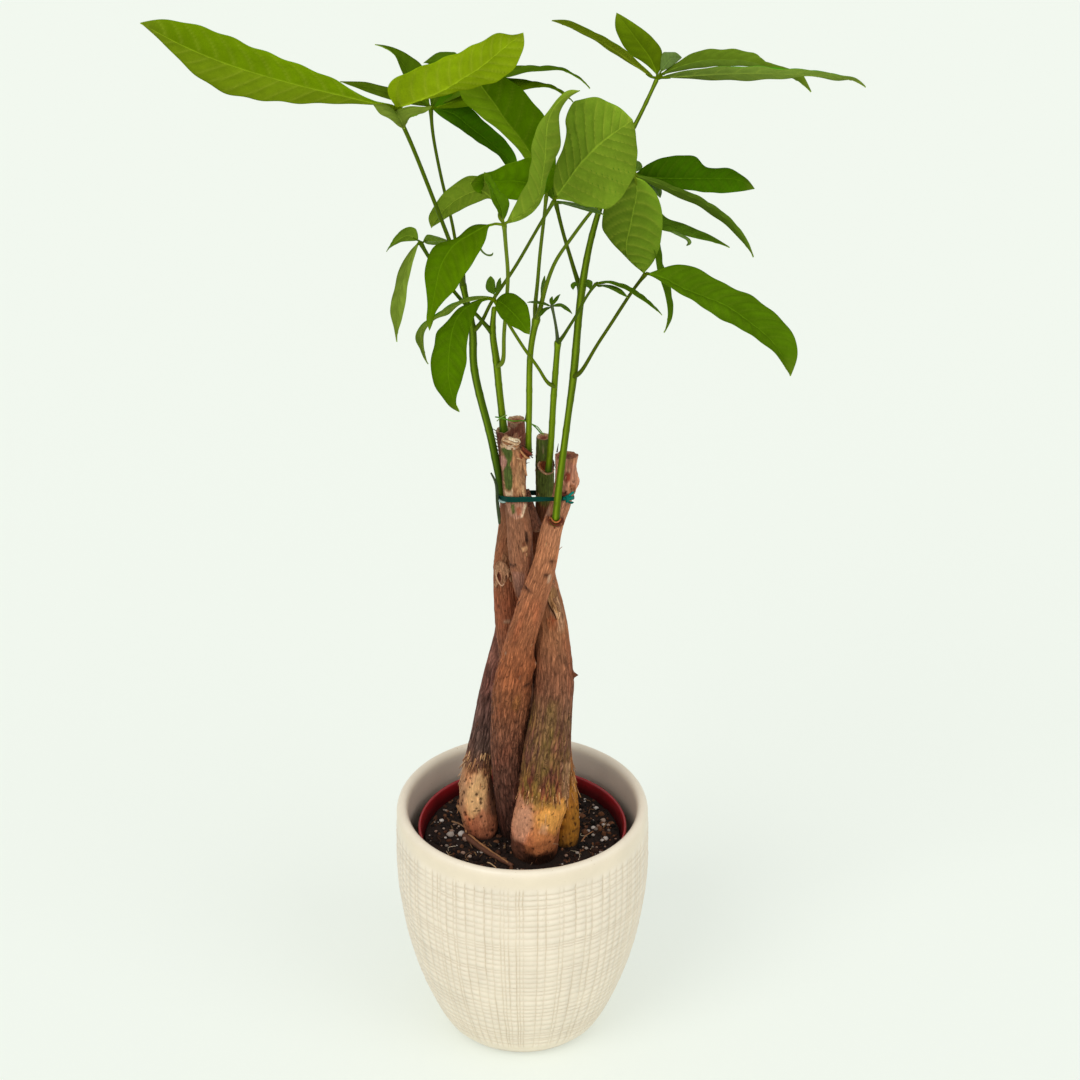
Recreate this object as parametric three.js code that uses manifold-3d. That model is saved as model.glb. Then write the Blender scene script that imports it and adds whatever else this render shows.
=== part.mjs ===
// Potted money tree: five braided trunks with green shoots, palmate leaflets,
// standing in a nursery pot inside a round cover pot.
// Frame: millimetres, +Z up, origin at the centre of the cover pot's underside,
// -Y is the front, +X is the right-hand side seen from the front.
import * as THREE from 'three';
import { mergeVertices } from 'three/addons/utils/BufferGeometryUtils.js';
import Module from 'manifold-3d';

const wasm = await Module();
wasm.setup();

// ---------------------------------------------------------------- dimensions
const COVER_HEIGHT = 150;          // cover pot, foot to lip
const COVER_WALL = 6.7;            // side wall of the cover pot
const COVER_FLOOR = 10;            // top of its floor
const COVER_LIP_INNER = 65.6;      // radius of the mouth
const NURSERY_RIM_Z = 134.5;       // top of the nursery pot's rim
const NURSERY_RIM_R = 60.2;        // outer radius of the rim band
const NURSERY_RIM_H = 5;           // height of the rim band
const NURSERY_WALL = 1.2;
const NURSERY_BASE_R = 38.2;
const NURSERY_BASE_Z = 10.4;
const SOIL_Z = 126.2;              // soil at the pot wall
const SOIL_CROWN = 2.6;            // soil rises this much to the middle
const LEAF_T = 0.8;                // leaflet thickness
const GAP = 0.3;                   // clearance between neighbouring solids
const BAND_Z = 358.2;              // middle of the tie band
const BAND_H = 3.4;
const BAND_TILT = 0.45;            // fall of the band towards the back
const BAND_T = 0.9;
const SEG = 36;                    // sides of the round pots
const TRUNK_SIDES = 10;            // sides of a trunk's section

// ---------------------------------------------------------------- tables
// Trunks, shoots and stalks: [x, y, z, radius] along each centre line.
const TRUNKS = {
  trunk_1: [[-2.29,2.89,113.5,8.86],[-3.43,1.35,127.5,9.29],[-4.87,-0.21,141.5,9.6],[-5.95,-1.8,155.5,9.77],[-6.87,-3.57,169.5,9.91],[-7.79,-5.61,183.5,10.07],[-7.9,-8.03,197.5,10.26],[-7.26,-10.91,211.5,10.5],[-6.38,-13.29,225.5,10.86],[-4.94,-14.81,239.5,10.91],[-2.84,-15.54,253.5,9.6],[-0.56,-15.98,267.5,8.31],[2.8,-16.37,281.5,8.09],[6.5,-16.49,295.5,7.75],[10.68,-15.44,309.5,6.99],[14.24,-12.03,323.5,6.34],[17.06,-8.38,337.5,5.88],[21.76,-5.39,351.5,5.67],[24.02,-3.18,365.5,5.66],[24.52,-1.66,378.2,5.81]],
  trunk_2: [[8.46,-22.53,113.5,12.48],[8.46,-22.13,127.5,13.97],[9.04,-21.72,141.5,14.83],[10.7,-21.29,155.5,14.54],[12.22,-20.79,169.5,14.15],[13.04,-20.14,183.5,13.88],[14.17,-19.15,197.5,13.34],[15.88,-17.5,211.5,12.14],[17.25,-15.51,225.5,11.36],[18.25,-13.28,239.5,10.9],[17.93,-10.54,253.5,10.2],[16.83,-6.61,267.5,9.39],[14.86,-0.21,281.5,8.6],[11.16,10.67,295.5,7.69],[11.53,14.03,309.5,6.75],[12.25,13.74,323.5,5.97],[12.88,12.29,337.5,5.35],[12.9,10.92,351.5,5.14],[12.69,10.05,365.5,5.03],[12.1,9.57,383.27,4.07]],
  trunk_3: [[25.6,-11.87,113.5,6.54],[25.96,-7.6,127.5,7.64],[25.62,-3.27,141.5,8.6],[24.09,1.25,155.5,9.1],[22.26,6.03,169.5,9.29],[20.11,11.04,183.5,9.22],[17.64,16.12,197.5,8.93],[15.25,18.53,211.5,8.65],[12.87,19.26,225.5,8.35],[10.46,18.97,239.5,8.04],[8,17.84,253.5,7.71],[5.43,15.54,267.5,7.34],[3.27,11.1,281.5,7.03],[2.24,-1.5,295.5,6.87],[0.45,-5.36,309.5,6.58],[-0.99,-7.75,323.5,6.38],[-1.9,-9.11,337.5,6.29],[-2.83,-9.8,351.5,6.21],[-4.17,-10.16,365.5,6.14],[-4.93,-10.3,379.5,6.04],[-5.25,-10.16,391.5,5.93]],
  trunk_4: [[4.81,24.76,113.5,8.41],[4.39,23.05,127.5,8.72],[3.9,21.25,141.5,8.72],[3.29,19.22,155.5,8.72],[2.55,16.77,169.5,8.72],[1.59,13.74,183.5,8.68],[0.46,10.05,197.5,8.59],[-0.92,8.08,211.5,8.46],[-2.49,6.54,225.5,8.27],[-4.24,5.14,239.5,7.99],[-5.85,3.54,253.5,7.69],[-7.48,2.39,267.5,7.33],[-8.65,2.74,281.5,6.92],[-9.44,6.05,295.5,6.44],[-9.35,5.59,309.5,5.91],[-8.4,3.84,323.5,5.24],[-7.67,2.09,337.5,4.56],[-7.44,0.92,351.5,4.2],[-7.62,0.39,365.5,4.07],[-8.3,0.16,379.5,4.07],[-9.66,-0.16,392.88,4.07]],
  trunk_5: [[-22.45,-1.33,113.5,7.58],[-23.48,0.69,127.5,9.38],[-25.11,2.74,141.5,9.77],[-26.08,4.84,155.5,8.6],[-25.52,7.16,169.5,8.26],[-22.33,9.81,183.5,8.25],[-19.57,12.81,197.5,8.21],[-16.77,16.05,211.5,8.12],[-13.91,19.25,225.5,7.82],[-10.58,21.83,239.5,7.52],[-7.82,23.69,253.5,7.23],[-6.85,24.27,267.5,6.88],[-6.24,22.45,281.5,6.53],[-5.69,19.93,295.5,6.2],[-5.06,17.56,309.5,5.88],[-4.44,15.48,323.5,5.56],[-3.83,13.89,337.5,5.29],[-3.1,12.72,351.5,5.13],[-2.48,11.81,365.5,5.02],[-2.5,11.03,379.5,4.89],[-2.92,10.29,393.43,4.77]],
};

const SHOOTS = {
  shoot_1: [[-10.07,-5.4,354.04,2.18],[-12.97,-6.6,371.59,2.09],[-16.38,-7.2,392.36,2.09],[-20.57,-8,410.58,2.09],[-24.18,-9,428.14,2.09],[-25.89,-9.5,446.48,2.09],[-25,-9.5,456.65,2.18],[-27.57,-8.5,468.65,1.8],[-29.63,-7.6,477.68,1.71],[-30.64,-7,483.87,1.61]],
  shoot_2: [[-9.6,-0.5,393.62,2.16],[-10.85,-3,409.7,1.97],[-12.35,-6,426.51,1.88],[-12.8,-8.5,436.88,2.07],[-14.05,-10.5,448.09,1.79],[-15.59,-11.5,457.05,1.88],[-14.44,-13.5,468.83,1.41],[-14.14,-14,473.21,1.13]],
  shoot_3: [[3.94,-7,384.84,1.75],[4.23,-6,402.17,1.67],[4.42,-5,423.01,1.67],[4.82,-4,441.85,1.6],[6.44,-4,453.86,1.67],[8.16,-4.5,461.88,1.9]],
  shoot_4: [[15.11,2.3,368.54,1.85],[16.19,3.5,381.6,1.77],[16.97,2.8,400.53,1.69],[17.76,1.5,415.94,1.77],[18.8,-0.5,432.8,1.62],[19.73,-2,446.84,1.62]],
  shoot_5: [[18.86,-16.8,346.7,2.11],[20.03,-16.9,361.78,2.03],[21.91,-12.8,378.15,1.95],[24.03,-11.3,395.84,1.87],[26.13,-10,413.51,1.79],[27.96,-9,427.56,2.11],[29.75,-6.53,450.97,2.03],[31.03,-3.8,466.32,1.95],[32.32,-1.66,478.32,2.18],[34.41,1.8,491.4,1.79],[36.5,5.13,502.15,1.72],[40.71,10.11,516.75,1.56],[46.46,15.69,534.52,1.4],[53.28,21.07,549.41,1.25],[59.6,25.89,559.91,1.17],[66.4,31.13,572.49,1.01],[71.39,36,582.36,1.01]],
};

const STALKS = {
  stalk_a: [[-31.6,-9.2,489.32,1.2],[-34.68,-13.33,504.48,1.2],[-38.1,-17.73,517.6,1.12],[-48.3,-28.22,553.37,1.07],[-58.75,-38.08,587.47,1.12],[-63.18,-43,600.39,1.29]],
  stalk_b: [[-29.99,-4.6,487.64,1.04],[-33.2,-0.35,498.22,0.96],[-35.06,4.87,506.86,0.89],[-40.31,14.84,527.82,0.85],[-45.09,26.45,546.85,0.85],[-46.97,32.94,556.66,0.89],[-47.61,38,564.81,1.04]],
  stalk_d: [[-21.74,-10.5,461.43,1.09],[-18.66,-10.74,468.96,0.95],[-13.29,-11.11,479.75,0.95],[-5.82,-12.91,492.39,0.91],[3.21,-19.51,511.91,0.88],[11.06,-27.03,530.45,0.88],[17.14,-33,544.36,1.02]],
  stalk_i: [[-10.02,-13.2,439.37,1.21],[-9.14,-15.22,452.4,1.06],[-8.36,-18.15,467.56,1.06],[-7.17,-24.27,486.52,1.03],[-6.53,-31.58,501.19,1.03],[-7.41,-41.12,521.94,1.03],[-8.14,-50,538.69,1.14]],
  stalk_j: [[-17.21,-12.5,460.85,1.17],[-22.67,-15.74,469.9,1.01],[-29.4,-19.88,479.06,1.01],[-37.6,-24.42,492.44,0.98],[-44.18,-27.78,504.26,0.98],[-48.18,-30.35,512.16,0.98],[-51.63,-33,520.63,1.09]],
  stalk_k: [[15.58,-2.8,421.55,1.02],[10.72,-7.7,432.3,0.88],[5.38,-12.75,443.35,0.88],[-4.11,-21.99,464.17,0.84],[-9.82,-27.24,477.44,0.84],[-13.17,-30,485.56,0.95]],
  stalk_h: [[21.67,-5.6,451.13,1.01],[25.45,-10.33,460.39,0.86],[29.63,-15.61,470.49,0.79],[33.51,-19.24,480.86,0.75],[37.35,-22.13,489,0.75],[39.39,-24,492.63,0.83]],
  stalk_g: [[30.75,-13.6,433.4,1.14],[37.09,-13.68,444.86,0.96],[46.5,-15.95,463.03,0.92],[55.79,-19.24,481.22,0.92],[61.9,-22.07,492.57,0.92],[65.19,-24,498.17,1.06]],
  stalk_sl: [[7.36,-1.6,465.22,1.22],[8,1.56,471.98,1.08],[9.86,8.81,490.94,0.97],[11.73,17.36,505.7,0.94],[13.06,23.05,516.51,0.94],[13.49,25,520.29,1.01]],
  stalk_sr: [[10.29,-6.2,468.68,1.27],[11.78,-6.44,477.1,1.27],[13.89,-6.51,484.81,1.12],[18.64,-7.06,498.59,0.98],[24.41,-7.72,508.24,0.94],[36.89,-10.52,528.1,0.9],[49.23,-14.41,543.67,0.9],[57.92,-17,552.37,1.05]],
  stalk_l: [[19.55,-3,451,0.91],[18.62,-3.5,458.44,0.75],[17.38,-4,465.86,0.75],[16.62,-4.5,469.68,0.75]],
  stalk_n: [[31.3,4.57,477.65,1.38],[28.99,5.91,484.1,1.2],[26.85,8.6,491.06,1.06],[24.18,12.09,498.81,1.01],[20.98,17.26,509.27,1.01],[18.86,22,517.01,1.1]],
};

const LEAFLETS = {
  leaflet_a1: { on: 'stalk_a', m: [[-66,-43,603.2],[-82.4,-39.6,605.4],[-98.8,-36.5,608.1],[-115.1,-33.8,611.1],[-131.2,-31.5,614.9],[-147.1,-29.6,619.5],[-162.6,-28,625.3],[-177.4,-26.8,632.6],[-191.7,-26,640.7]], a: [[-66,-43,603.8],[-81.6,-43.9,609.7],[-96.1,-43.4,618.4],[-111.5,-42.3,624.8],[-127,-40.5,630.4],[-142.4,-38,636.3],[-158,-34.9,641.5],[-174.5,-31.2,643.9],[-191.7,-26,640.7]], b: [[-66,-43,602.7],[-83.9,-35.2,600.1],[-101.7,-29.6,598],[-119.6,-25.3,596.8],[-137.3,-22.5,597.5],[-154.1,-21.1,602],[-168.2,-21.1,612.7],[-179.9,-22.4,626.5],[-191.7,-26,640.7]] },
  leaflet_a2: { on: 'stalk_a', m: [[-62.8,-43,601.8],[-53.7,-45.8,606.4],[-44.7,-49,611.4],[-36.1,-52.6,617.2],[-28,-56.5,624.2],[-20,-60.8,631.2],[-12.6,-65.5,639.5],[-5.5,-70.6,647.9],[2,-76,656]], a: [[-63,-43,602.4],[-66.6,-50.7,616],[-57.9,-56.7,625.9],[-47.5,-62,632.3],[-37.4,-66.5,638.5],[-27.5,-70.2,644.4],[-18,-73.2,650.7],[-8.2,-75.4,655.9],[2,-76,656]], b: [[-62.3,-43,601.6],[-52.4,-41.9,604.3],[-42.2,-42.8,607.2],[-32.1,-45,610.9],[-22,-48.5,615],[-12.1,-53.3,620.2],[-3.6,-59.3,628.9],[1.5,-66.7,641.5],[2,-76,656]] },
  leaflet_a6: { on: 'stalk_a', m: [[-63.1,-45,600.5],[-62.2,-52.1,602.4],[-61.4,-59.2,604.4],[-60.5,-66.4,606.4],[-59.6,-73.5,608.4],[-58.7,-80.6,610.4],[-58,-87.8,612.3],[-57.2,-94.9,614.3],[-56.5,-102,616.2]], a: [[-63.7,-45,601.3],[-66.9,-53.6,607.4],[-71,-61.6,611.4],[-73.6,-69.2,614.8],[-70.7,-76.5,614.6],[-67.1,-83.5,614.8],[-63.4,-90.1,615.6],[-60.2,-96.3,615.5],[-56.5,-102,616.2]], b: [[-62.2,-45,601.3],[-57.4,-53.6,606.4],[-52.4,-61.6,610.3],[-46.3,-69.2,613.5],[-43.6,-76.5,616.3],[-47.5,-83.5,616.6],[-51.9,-90.1,618.2],[-54.8,-96.3,618.1],[-56.5,-102,616.2]] },
  leaflet_a3: { on: 'stalk_b', m: [[-48.6,39,567.3],[-52,40.6,571.3],[-55.1,42.5,575.5],[-58,44.6,579.7],[-60.4,47,584.1],[-63.4,49.6,588],[-67.3,52.5,591.2],[-71.9,55.6,593],[-77.4,59,593.6]], a: [[-48.3,39,567.8],[-49.1,43.5,572.4],[-50.1,47.1,577.4],[-51.6,50.3,582.6],[-54.7,53,586.5],[-60.1,55.3,589.3],[-65.5,57.1,591.6],[-71.3,58.5,592.9],[-77.4,59,593.6]], b: [[-49.1,39,567],[-53.8,38.7,570.7],[-57.6,39.4,574.6],[-60.2,40.9,579.2],[-62.5,43,583.9],[-64.6,45.9,588.4],[-67.2,49.4,592.1],[-71.8,53.7,593.9],[-77.4,59,593.6]] },
  leaflet_a5: { on: 'stalk_b', m: [[-47.4,41,565.2],[-45.8,46.9,567],[-44.4,52,569.2],[-42.9,56.4,571.8],[-41.7,60,574.8],[-42,62.9,578.6],[-44,65,581.9],[-47.2,66.4,581.2],[-52.3,67,579.4]], a: [[-47.6,41,565.8],[-48.3,47.8,566.2],[-48.9,53.5,567.2],[-49.3,58.3,568.6],[-49.6,62,570.4],[-49.7,64.8,572.7],[-49.6,66.5,576],[-49.4,67.3,578.6],[-52.3,67,579.4]], b: [[-46.8,41,565.5],[-41.2,50.8,565.4],[-36.9,58.2,567.4],[-33.2,63.9,571.6],[-32.2,68,577],[-34.6,70.4,583.6],[-40.5,71.2,584.2],[-46.9,70.3,582.5],[-52.3,67,579.4]] },
  leaflet_a7: { on: 'stalk_b', m: [[-46.2,37,566.1],[-39.1,36.8,564.7],[-33,36.2,561.7],[-27.6,35.3,556.8],[-22,34,552.7],[-16.5,32.3,548.6],[-11,30.2,544.5],[-6.1,27.8,540.1],[-1.5,25,535.4]], a: [[-45.9,37,567],[-40.1,40.2,572.7],[-32.1,41.6,571.8],[-26.3,41.9,564.1],[-20.3,41,557.9],[-13.7,38.9,552.7],[-7.7,35.6,547.7],[-2.8,31.2,541.7],[-1.5,25,535.4]], b: [[-46.5,37,565.5],[-41.1,33.4,562.2],[-35.2,30.9,559.2],[-29.4,28.7,555.9],[-23.7,27,552.1],[-17.8,25.7,548.6],[-12.1,24.9,544.7],[-7.7,24.4,538.7],[-1.5,25,535.4]] },
  leaflet_b2: { on: 'stalk_b', m: [[-46,40,566.2],[-36.3,41.4,572.1],[-26.3,42.8,577.1],[-15.9,44.1,581.5],[-5,45.5,583.7],[6.2,46.9,584.4],[17.5,48.2,584.5],[28.2,49.6,580.2],[37,51,571.8]], a: [[-46,40,566.6],[-37.2,46.7,572],[-27.6,51.2,576.5],[-16.9,54.5,580.4],[-5.7,56.5,581.6],[5.9,57.2,581.8],[17.4,56.7,581.7],[28.3,55,578.3],[37,51,571.8]], b: [[-46,40,565.8],[-35.6,36.5,572],[-25.2,35,577.3],[-15,34.7,582.3],[-4.5,35.5,585.6],[6.4,37.5,587],[17.4,40.5,586.8],[28.1,44.8,582.1],[37,51,571.8]] },
  leaflet_b3: { on: 'stalk_b', m: [[-45.7,37,566.7],[-36.4,37.8,569.6],[-27.1,38.5,572.5],[-17.8,39.2,576.2],[-8.5,40,578.3],[1.2,40.8,578],[11,41.5,577.4],[20.3,42.2,574.9],[28,43,567.5]], a: [[-45.6,37,567.2],[-37.6,42.1,572.1],[-28.8,45.4,575.6],[-19.2,47.7,577.8],[-9.2,49,578.7],[0.9,49.2,577.4],[11,48.4,576],[20.2,46.6,573],[28,43,567.5]], b: [[-45.7,37,566.2],[-35.8,33.4,568.2],[-26.3,31.6,569.9],[-17.1,30.8,572.9],[-8,31,576.5],[1.3,32.3,578.8],[10.9,34.6,579.4],[19.7,37.9,575.3],[28,43,567.5]] },
  leaflet_b1: { on: 'stalk_sl', m: [[13.5,24.5,522.5],[11.1,24.8,533.3],[6.9,24.4,543.6],[1.3,23.2,553.4],[-5,21.2,562.9],[-10.9,18.6,572.9],[-16.7,15.1,583.2],[-22.5,10.9,593.7],[-28.1,6,604.6]], a: [[13.9,24.5,522.8],[18.3,21.9,536.4],[18.6,19.7,550.4],[16.4,17.5,563.6],[9.7,15.2,575.4],[1.9,12.9,586],[-7.1,10.5,595.1],[-16.9,8,603.6],[-28.1,6,604.6]], b: [[13,24.5,522.8],[7.5,25.8,532.6],[1.7,25.9,542.7],[-5.1,25.1,552.3],[-13.1,23.2,561],[-21.5,20.4,569.5],[-29.4,16.7,579],[-32.4,11.9,591.9],[-28.1,6,604.6]] },
  leaflet_c1: { on: 'stalk_i', m: [[-6.7,-53,542.1],[2.9,-58.7,549.7],[9.7,-64,560.6],[12,-68.9,574.1],[13.3,-73.5,587.4],[13.7,-77.7,600.5],[15.5,-81.5,613.2],[21,-84.9,623.8],[30.1,-88,630]], a: [[-6.7,-53,542.8],[-2.1,-54.3,553.5],[2.9,-57.1,564.8],[5.4,-60.5,576.9],[6.2,-64.5,589.9],[9.1,-69.2,602.4],[14.6,-74.6,613.8],[21.2,-80.6,625.1],[30.1,-88,630]], b: [[-6.5,-53,541.4],[3.5,-62.1,549.5],[10.7,-69.4,561.2],[13.6,-75.5,575],[16.9,-80.5,587.9],[20.5,-84.3,600.1],[19.7,-86.9,612.3],[22.3,-88.3,623.4],[30.1,-88,630]] },
  leaflet_i2: { on: 'stalk_sl', m: [[13.1,22,523.7],[8.9,15.3,530.1],[4.3,8.2,535.8],[-0.6,0.8,540.3],[-5.6,-7,544.3],[-10.6,-15.2,547.9],[-15.5,-23.8,551.6],[-20.4,-32.7,555.4],[-25.2,-42,558.9]], a: [[13.5,22,523.9],[18.2,13.4,534.6],[16.3,5.2,546.1],[9.3,-3,553.8],[1.9,-11,558.5],[-5.4,-19,559.4],[-12.4,-26.8,559.9],[-19.6,-34.6,560.8],[-25.2,-42,558.9]], b: [[12.7,22,523.4],[8.8,16.8,522.4],[3.2,10.6,524.8],[-2.1,3.6,528.4],[-7.4,-4,532.5],[-12.5,-12.4,538.1],[-17.6,-21.4,543.4],[-22.6,-31.2,549.3],[-25.2,-42,558.9]] },
  leaflet_i3: { on: 'stalk_i', m: [[-9.6,-47,540.9],[-11.5,-39.8,544.9],[-15.1,-33.2,547.6],[-20.8,-27.5,548.9],[-27.2,-22.5,544.5],[-33.3,-18.2,539.1],[-38.7,-14.8,532.9],[-43.2,-12,526.2],[-47,-10,518.9]], a: [[-9.3,-47,541.5],[-10.4,-42.2,548.7],[-13.2,-37.1,556],[-19,-32.2,558.5],[-27.8,-27.5,556.1],[-35.6,-23,548.8],[-41.9,-18.6,540.2],[-47,-14.4,530.1],[-47,-10,518.9]], b: [[-10,-47,540.7],[-11.5,-38.3,542.9],[-15,-30.9,545],[-20.2,-24.7,541.3],[-26.1,-19.5,536.1],[-31.5,-15.4,531.5],[-36.8,-12.4,526.9],[-41.9,-10.5,522.6],[-47,-10,518.9]] },
  leaflet_i4: { on: 'stalk_i', m: [[-11.3,-53,541.1],[-19.9,-58.4,541.4],[-27.8,-63.2,538.8],[-34.8,-67.6,535],[-39.6,-71.5,528.4],[-42.1,-74.9,520.6],[-43.9,-77.8,512.3],[-45.7,-80.1,503.6],[-46.4,-82,494.6]], a: [[-11.3,-53,541.4],[-21.3,-56.9,543.2],[-29.8,-60.9,539.6],[-39,-64.8,536.7],[-46.2,-68.5,532],[-48.7,-72,522.8],[-47.9,-75.4,513.4],[-47.6,-78.7,503.9],[-46.4,-82,494.6]], b: [[-11.3,-53,540.7],[-16.7,-56.9,537.5],[-20,-60.9,530.9],[-24.3,-64.8,524.9],[-28.9,-68.5,518.9],[-33.5,-72,512.9],[-39.3,-75.4,507.9],[-43.7,-78.7,501.7],[-46.4,-82,494.6]] },
  leaflet_d1: { on: 'stalk_d', m: [[18.2,-36,548.3],[22.4,-43,557.7],[26.4,-50.2,567.4],[30.4,-57.8,576.9],[35,-65.5,586.1],[39.8,-73.5,594.9],[45,-81.8,603.3],[50.4,-90.2,611.4],[55.7,-99,619.6]], a: [[17.8,-36,548.8],[17.4,-44,564],[19.9,-51.8,578.6],[23.1,-59.6,592.8],[23.6,-67.5,607.5],[28.7,-75.4,620],[38.9,-83.3,624.3],[48.1,-91.2,623.5],[55.7,-99,619.6]], b: [[18.8,-36,547.8],[28.3,-44,549.1],[37.6,-51.8,550.1],[46.8,-59.6,554.6],[53.3,-67.5,565.7],[57.6,-75.4,578.7],[58.6,-83.3,592.4],[57.9,-91.2,606.2],[55.7,-99,619.6]] },
  leaflet_n1: { on: 'stalk_n', m: [[17.9,24,518.7],[16.8,27.8,520.6],[16,31.2,522.8],[15.6,34.3,525.2],[15.1,37,527.8],[14.5,39.3,530.5],[13.7,41.2,533.4],[12.8,42.8,536.5],[11.8,44,539.6]], a: [[18.3,24,518.8],[19.2,27.8,521],[19.3,31.2,523.4],[19.3,34.3,526],[18.6,37,528.7],[17.4,39.3,531.4],[15.8,41.2,534.1],[13.9,42.8,536.9],[11.8,44,539.6]], b: [[17.5,24,518.8],[14.4,27.8,519.8],[12.3,31.2,521.4],[11,34.3,523.8],[10.2,37,526.7],[9.9,39.3,529.8],[9.7,41.2,533.1],[10.1,42.8,536.3],[11.8,44,539.6]] },
  leaflet_e1: { on: 'stalk_sr', m: [[59.4,-21,552.7],[60.4,-21.2,545.5],[59.5,-20.8,538],[58.3,-19.5,530.2],[57,-17.5,521.9],[55.5,-14.8,513.3],[55.9,-11.2,504.2],[60.1,-7,496.2],[65.3,-2,488.5]], a: [[59,-21,552.4],[52.5,-23.2,548.1],[46.2,-23.8,542.7],[43.1,-23.3,534.3],[42.5,-21.5,524.6],[46.9,-18.5,515.4],[52.6,-14.3,506.7],[58.6,-8.9,497.6],[65.3,-2,488.5]], b: [[59.9,-21,552.7],[66.2,-22.7,549.7],[70.7,-23.1,543.7],[73.3,-22.3,535.9],[74.1,-20.5,527],[73.8,-17.6,517.6],[72.6,-13.6,507.7],[69.7,-8.5,497.9],[65.3,-2,488.5]] },
  leaflet_f1: { on: 'stalk_sr', m: [[60.5,-16,552.5],[68.3,-10,547.6],[76.3,-4.5,544.7],[84.4,0.5,542.3],[92.5,5,540.3],[100.7,9,538.5],[108.8,12.5,536.8],[116.6,15.5,533.9],[124.1,18,528.3]], a: [[60.5,-16,552.9],[67.7,-4.6,553.6],[76.1,4,553.1],[85.2,10.9,551],[93.9,16,546.5],[101.1,19.4,539.4],[110,21,538.9],[118.1,20.9,534.3],[124.1,18,528.3]], b: [[60.6,-16,552.1],[67.8,-13.9,547.3],[75.6,-10.7,544.1],[83.4,-7,540.2],[91.4,-3,536.7],[99.5,1.5,533.8],[107.7,6.3,531.2],[115.9,11.6,529.7],[124.1,18,528.3]] },
  leaflet_f2: { on: 'stalk_sr', m: [[60.5,-19,552.8],[69.5,-18.1,548.9],[78.5,-17.2,544.6],[87.4,-16.4,540.2],[96.1,-15.5,535.1],[104.3,-14.6,528.9],[111.6,-13.8,521.3],[117.7,-12.9,512.5],[122.9,-12,502.7]], a: [[60.6,-19,553.2],[70.3,-14.2,549],[79.5,-11.1,543.5],[88.8,-8.8,538.5],[97.6,-7.5,533],[105.8,-7.1,526.6],[113.4,-7.6,519.6],[119,-9,511.5],[122.9,-12,502.7]], b: [[60.3,-19,552.5],[68.5,-22.5,549.2],[76.9,-24.2,545.4],[85.6,-24.9,541.7],[94,-24.5,536.9],[102.1,-23.1,530.6],[109.7,-20.7,522.9],[116.6,-17.3,513.7],[122.9,-12,502.7]] },
  leaflet_f3: { on: 'stalk_sr', m: [[60.2,-15,548.8],[63.4,-13.6,539.9],[67.1,-12.2,531.1],[71.8,-10.9,523.3],[79.1,-9.5,519.3],[87.2,-8.1,515.9],[95,-6.8,512.4],[102.8,-5.4,508.7],[110.5,-4,504.7]], a: [[60.6,-15,548.8],[65.7,-10.2,540.1],[70.6,-6.9,531.6],[75.3,-4.3,523.3],[81.9,-2.5,518.8],[89.7,-1.5,515.5],[96.9,-1.4,512],[103.9,-2,508.4],[110.5,-4,504.7]], b: [[59.9,-15,548.7],[61.6,-17,540.5],[64.5,-17.6,531.9],[69.1,-17.5,523.9],[76.4,-16.5,520],[85.1,-14.7,516.8],[93.6,-12.1,513.6],[102,-8.8,509.6],[110.5,-4,504.7]] },
  leaflet_g2: { on: 'stalk_sr', m: [[61.5,-11,547.1],[65.7,-9.6,536],[68.8,-8.2,524.3],[71.1,-6.9,512.4],[72.8,-5.5,500.2],[75.8,-4.1,488.3],[78.8,-2.8,476.3],[80,-1.4,464],[76.9,0,451.8]], a: [[61.9,-11,547.2],[67.1,-6.2,534.8],[70.6,-2.9,522.3],[73.1,-0.3,509.6],[74.6,1.5,497],[77.6,2.5,485.2],[80.5,2.6,473.5],[81.2,2,462],[76.9,0,451.8]], b: [[61.1,-11,547.1],[64.1,-13,537.2],[66.9,-13.6,526.6],[69.2,-13.5,515.4],[70.7,-12.5,503.5],[73.3,-10.7,491.5],[76.4,-8.1,479],[78.4,-4.8,465.9],[76.9,-0,451.8]] },
  leaflet_g1: { on: 'stalk_g', m: [[67.1,-24.5,499],[78.3,-26.6,495.8],[89,-29,491.1],[100.1,-31.8,487.8],[110.7,-35,483.6],[120.4,-38.6,477.5],[129.7,-42.5,470.9],[136.7,-46.8,462.8],[141.7,-51.5,452.7]], a: [[67.1,-24.5,499.4],[80,-20.7,502.5],[93.6,-19.7,499.4],[105.9,-20.5,492.1],[118.7,-23,487],[130.2,-27.3,480.5],[140.4,-33.2,472.8],[145.4,-41,462.6],[141.7,-51.5,452.7]], b: [[67.1,-24.5,498.6],[77,-30.9,495.3],[86.8,-35.9,491.1],[96.5,-40.3,486.4],[106.3,-44,481.4],[116.6,-47,477.1],[126.2,-49.4,471.1],[135,-51.2,463.5],[141.7,-51.5,452.7]] },
  leaflet_h1: { on: 'stalk_h', m: [[40.6,-26,494.8],[45.5,-27,495.6],[50.3,-28,495],[54.9,-29,493.7],[59.2,-30,491.6],[63.3,-31,489],[67.2,-32,486.2],[70.9,-33,483.1],[74.4,-34,479.7]], a: [[40.6,-26,495.1],[45.6,-23.6,494.6],[50.5,-22.6,493.2],[55.3,-22.4,491.4],[59.8,-23,489.1],[63.9,-24.4,486.7],[67.7,-26.6,484.2],[71.2,-29.6,481.8],[74.4,-34,479.7]], b: [[40.6,-26,494.4],[45.3,-30.4,496.5],[49.9,-33.4,496.5],[54.3,-35.6,495.6],[58.5,-37,493.6],[62.5,-37.6,490.9],[66.5,-37.4,487.8],[70.5,-36.4,484.2],[74.4,-34,479.7]] },
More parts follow.
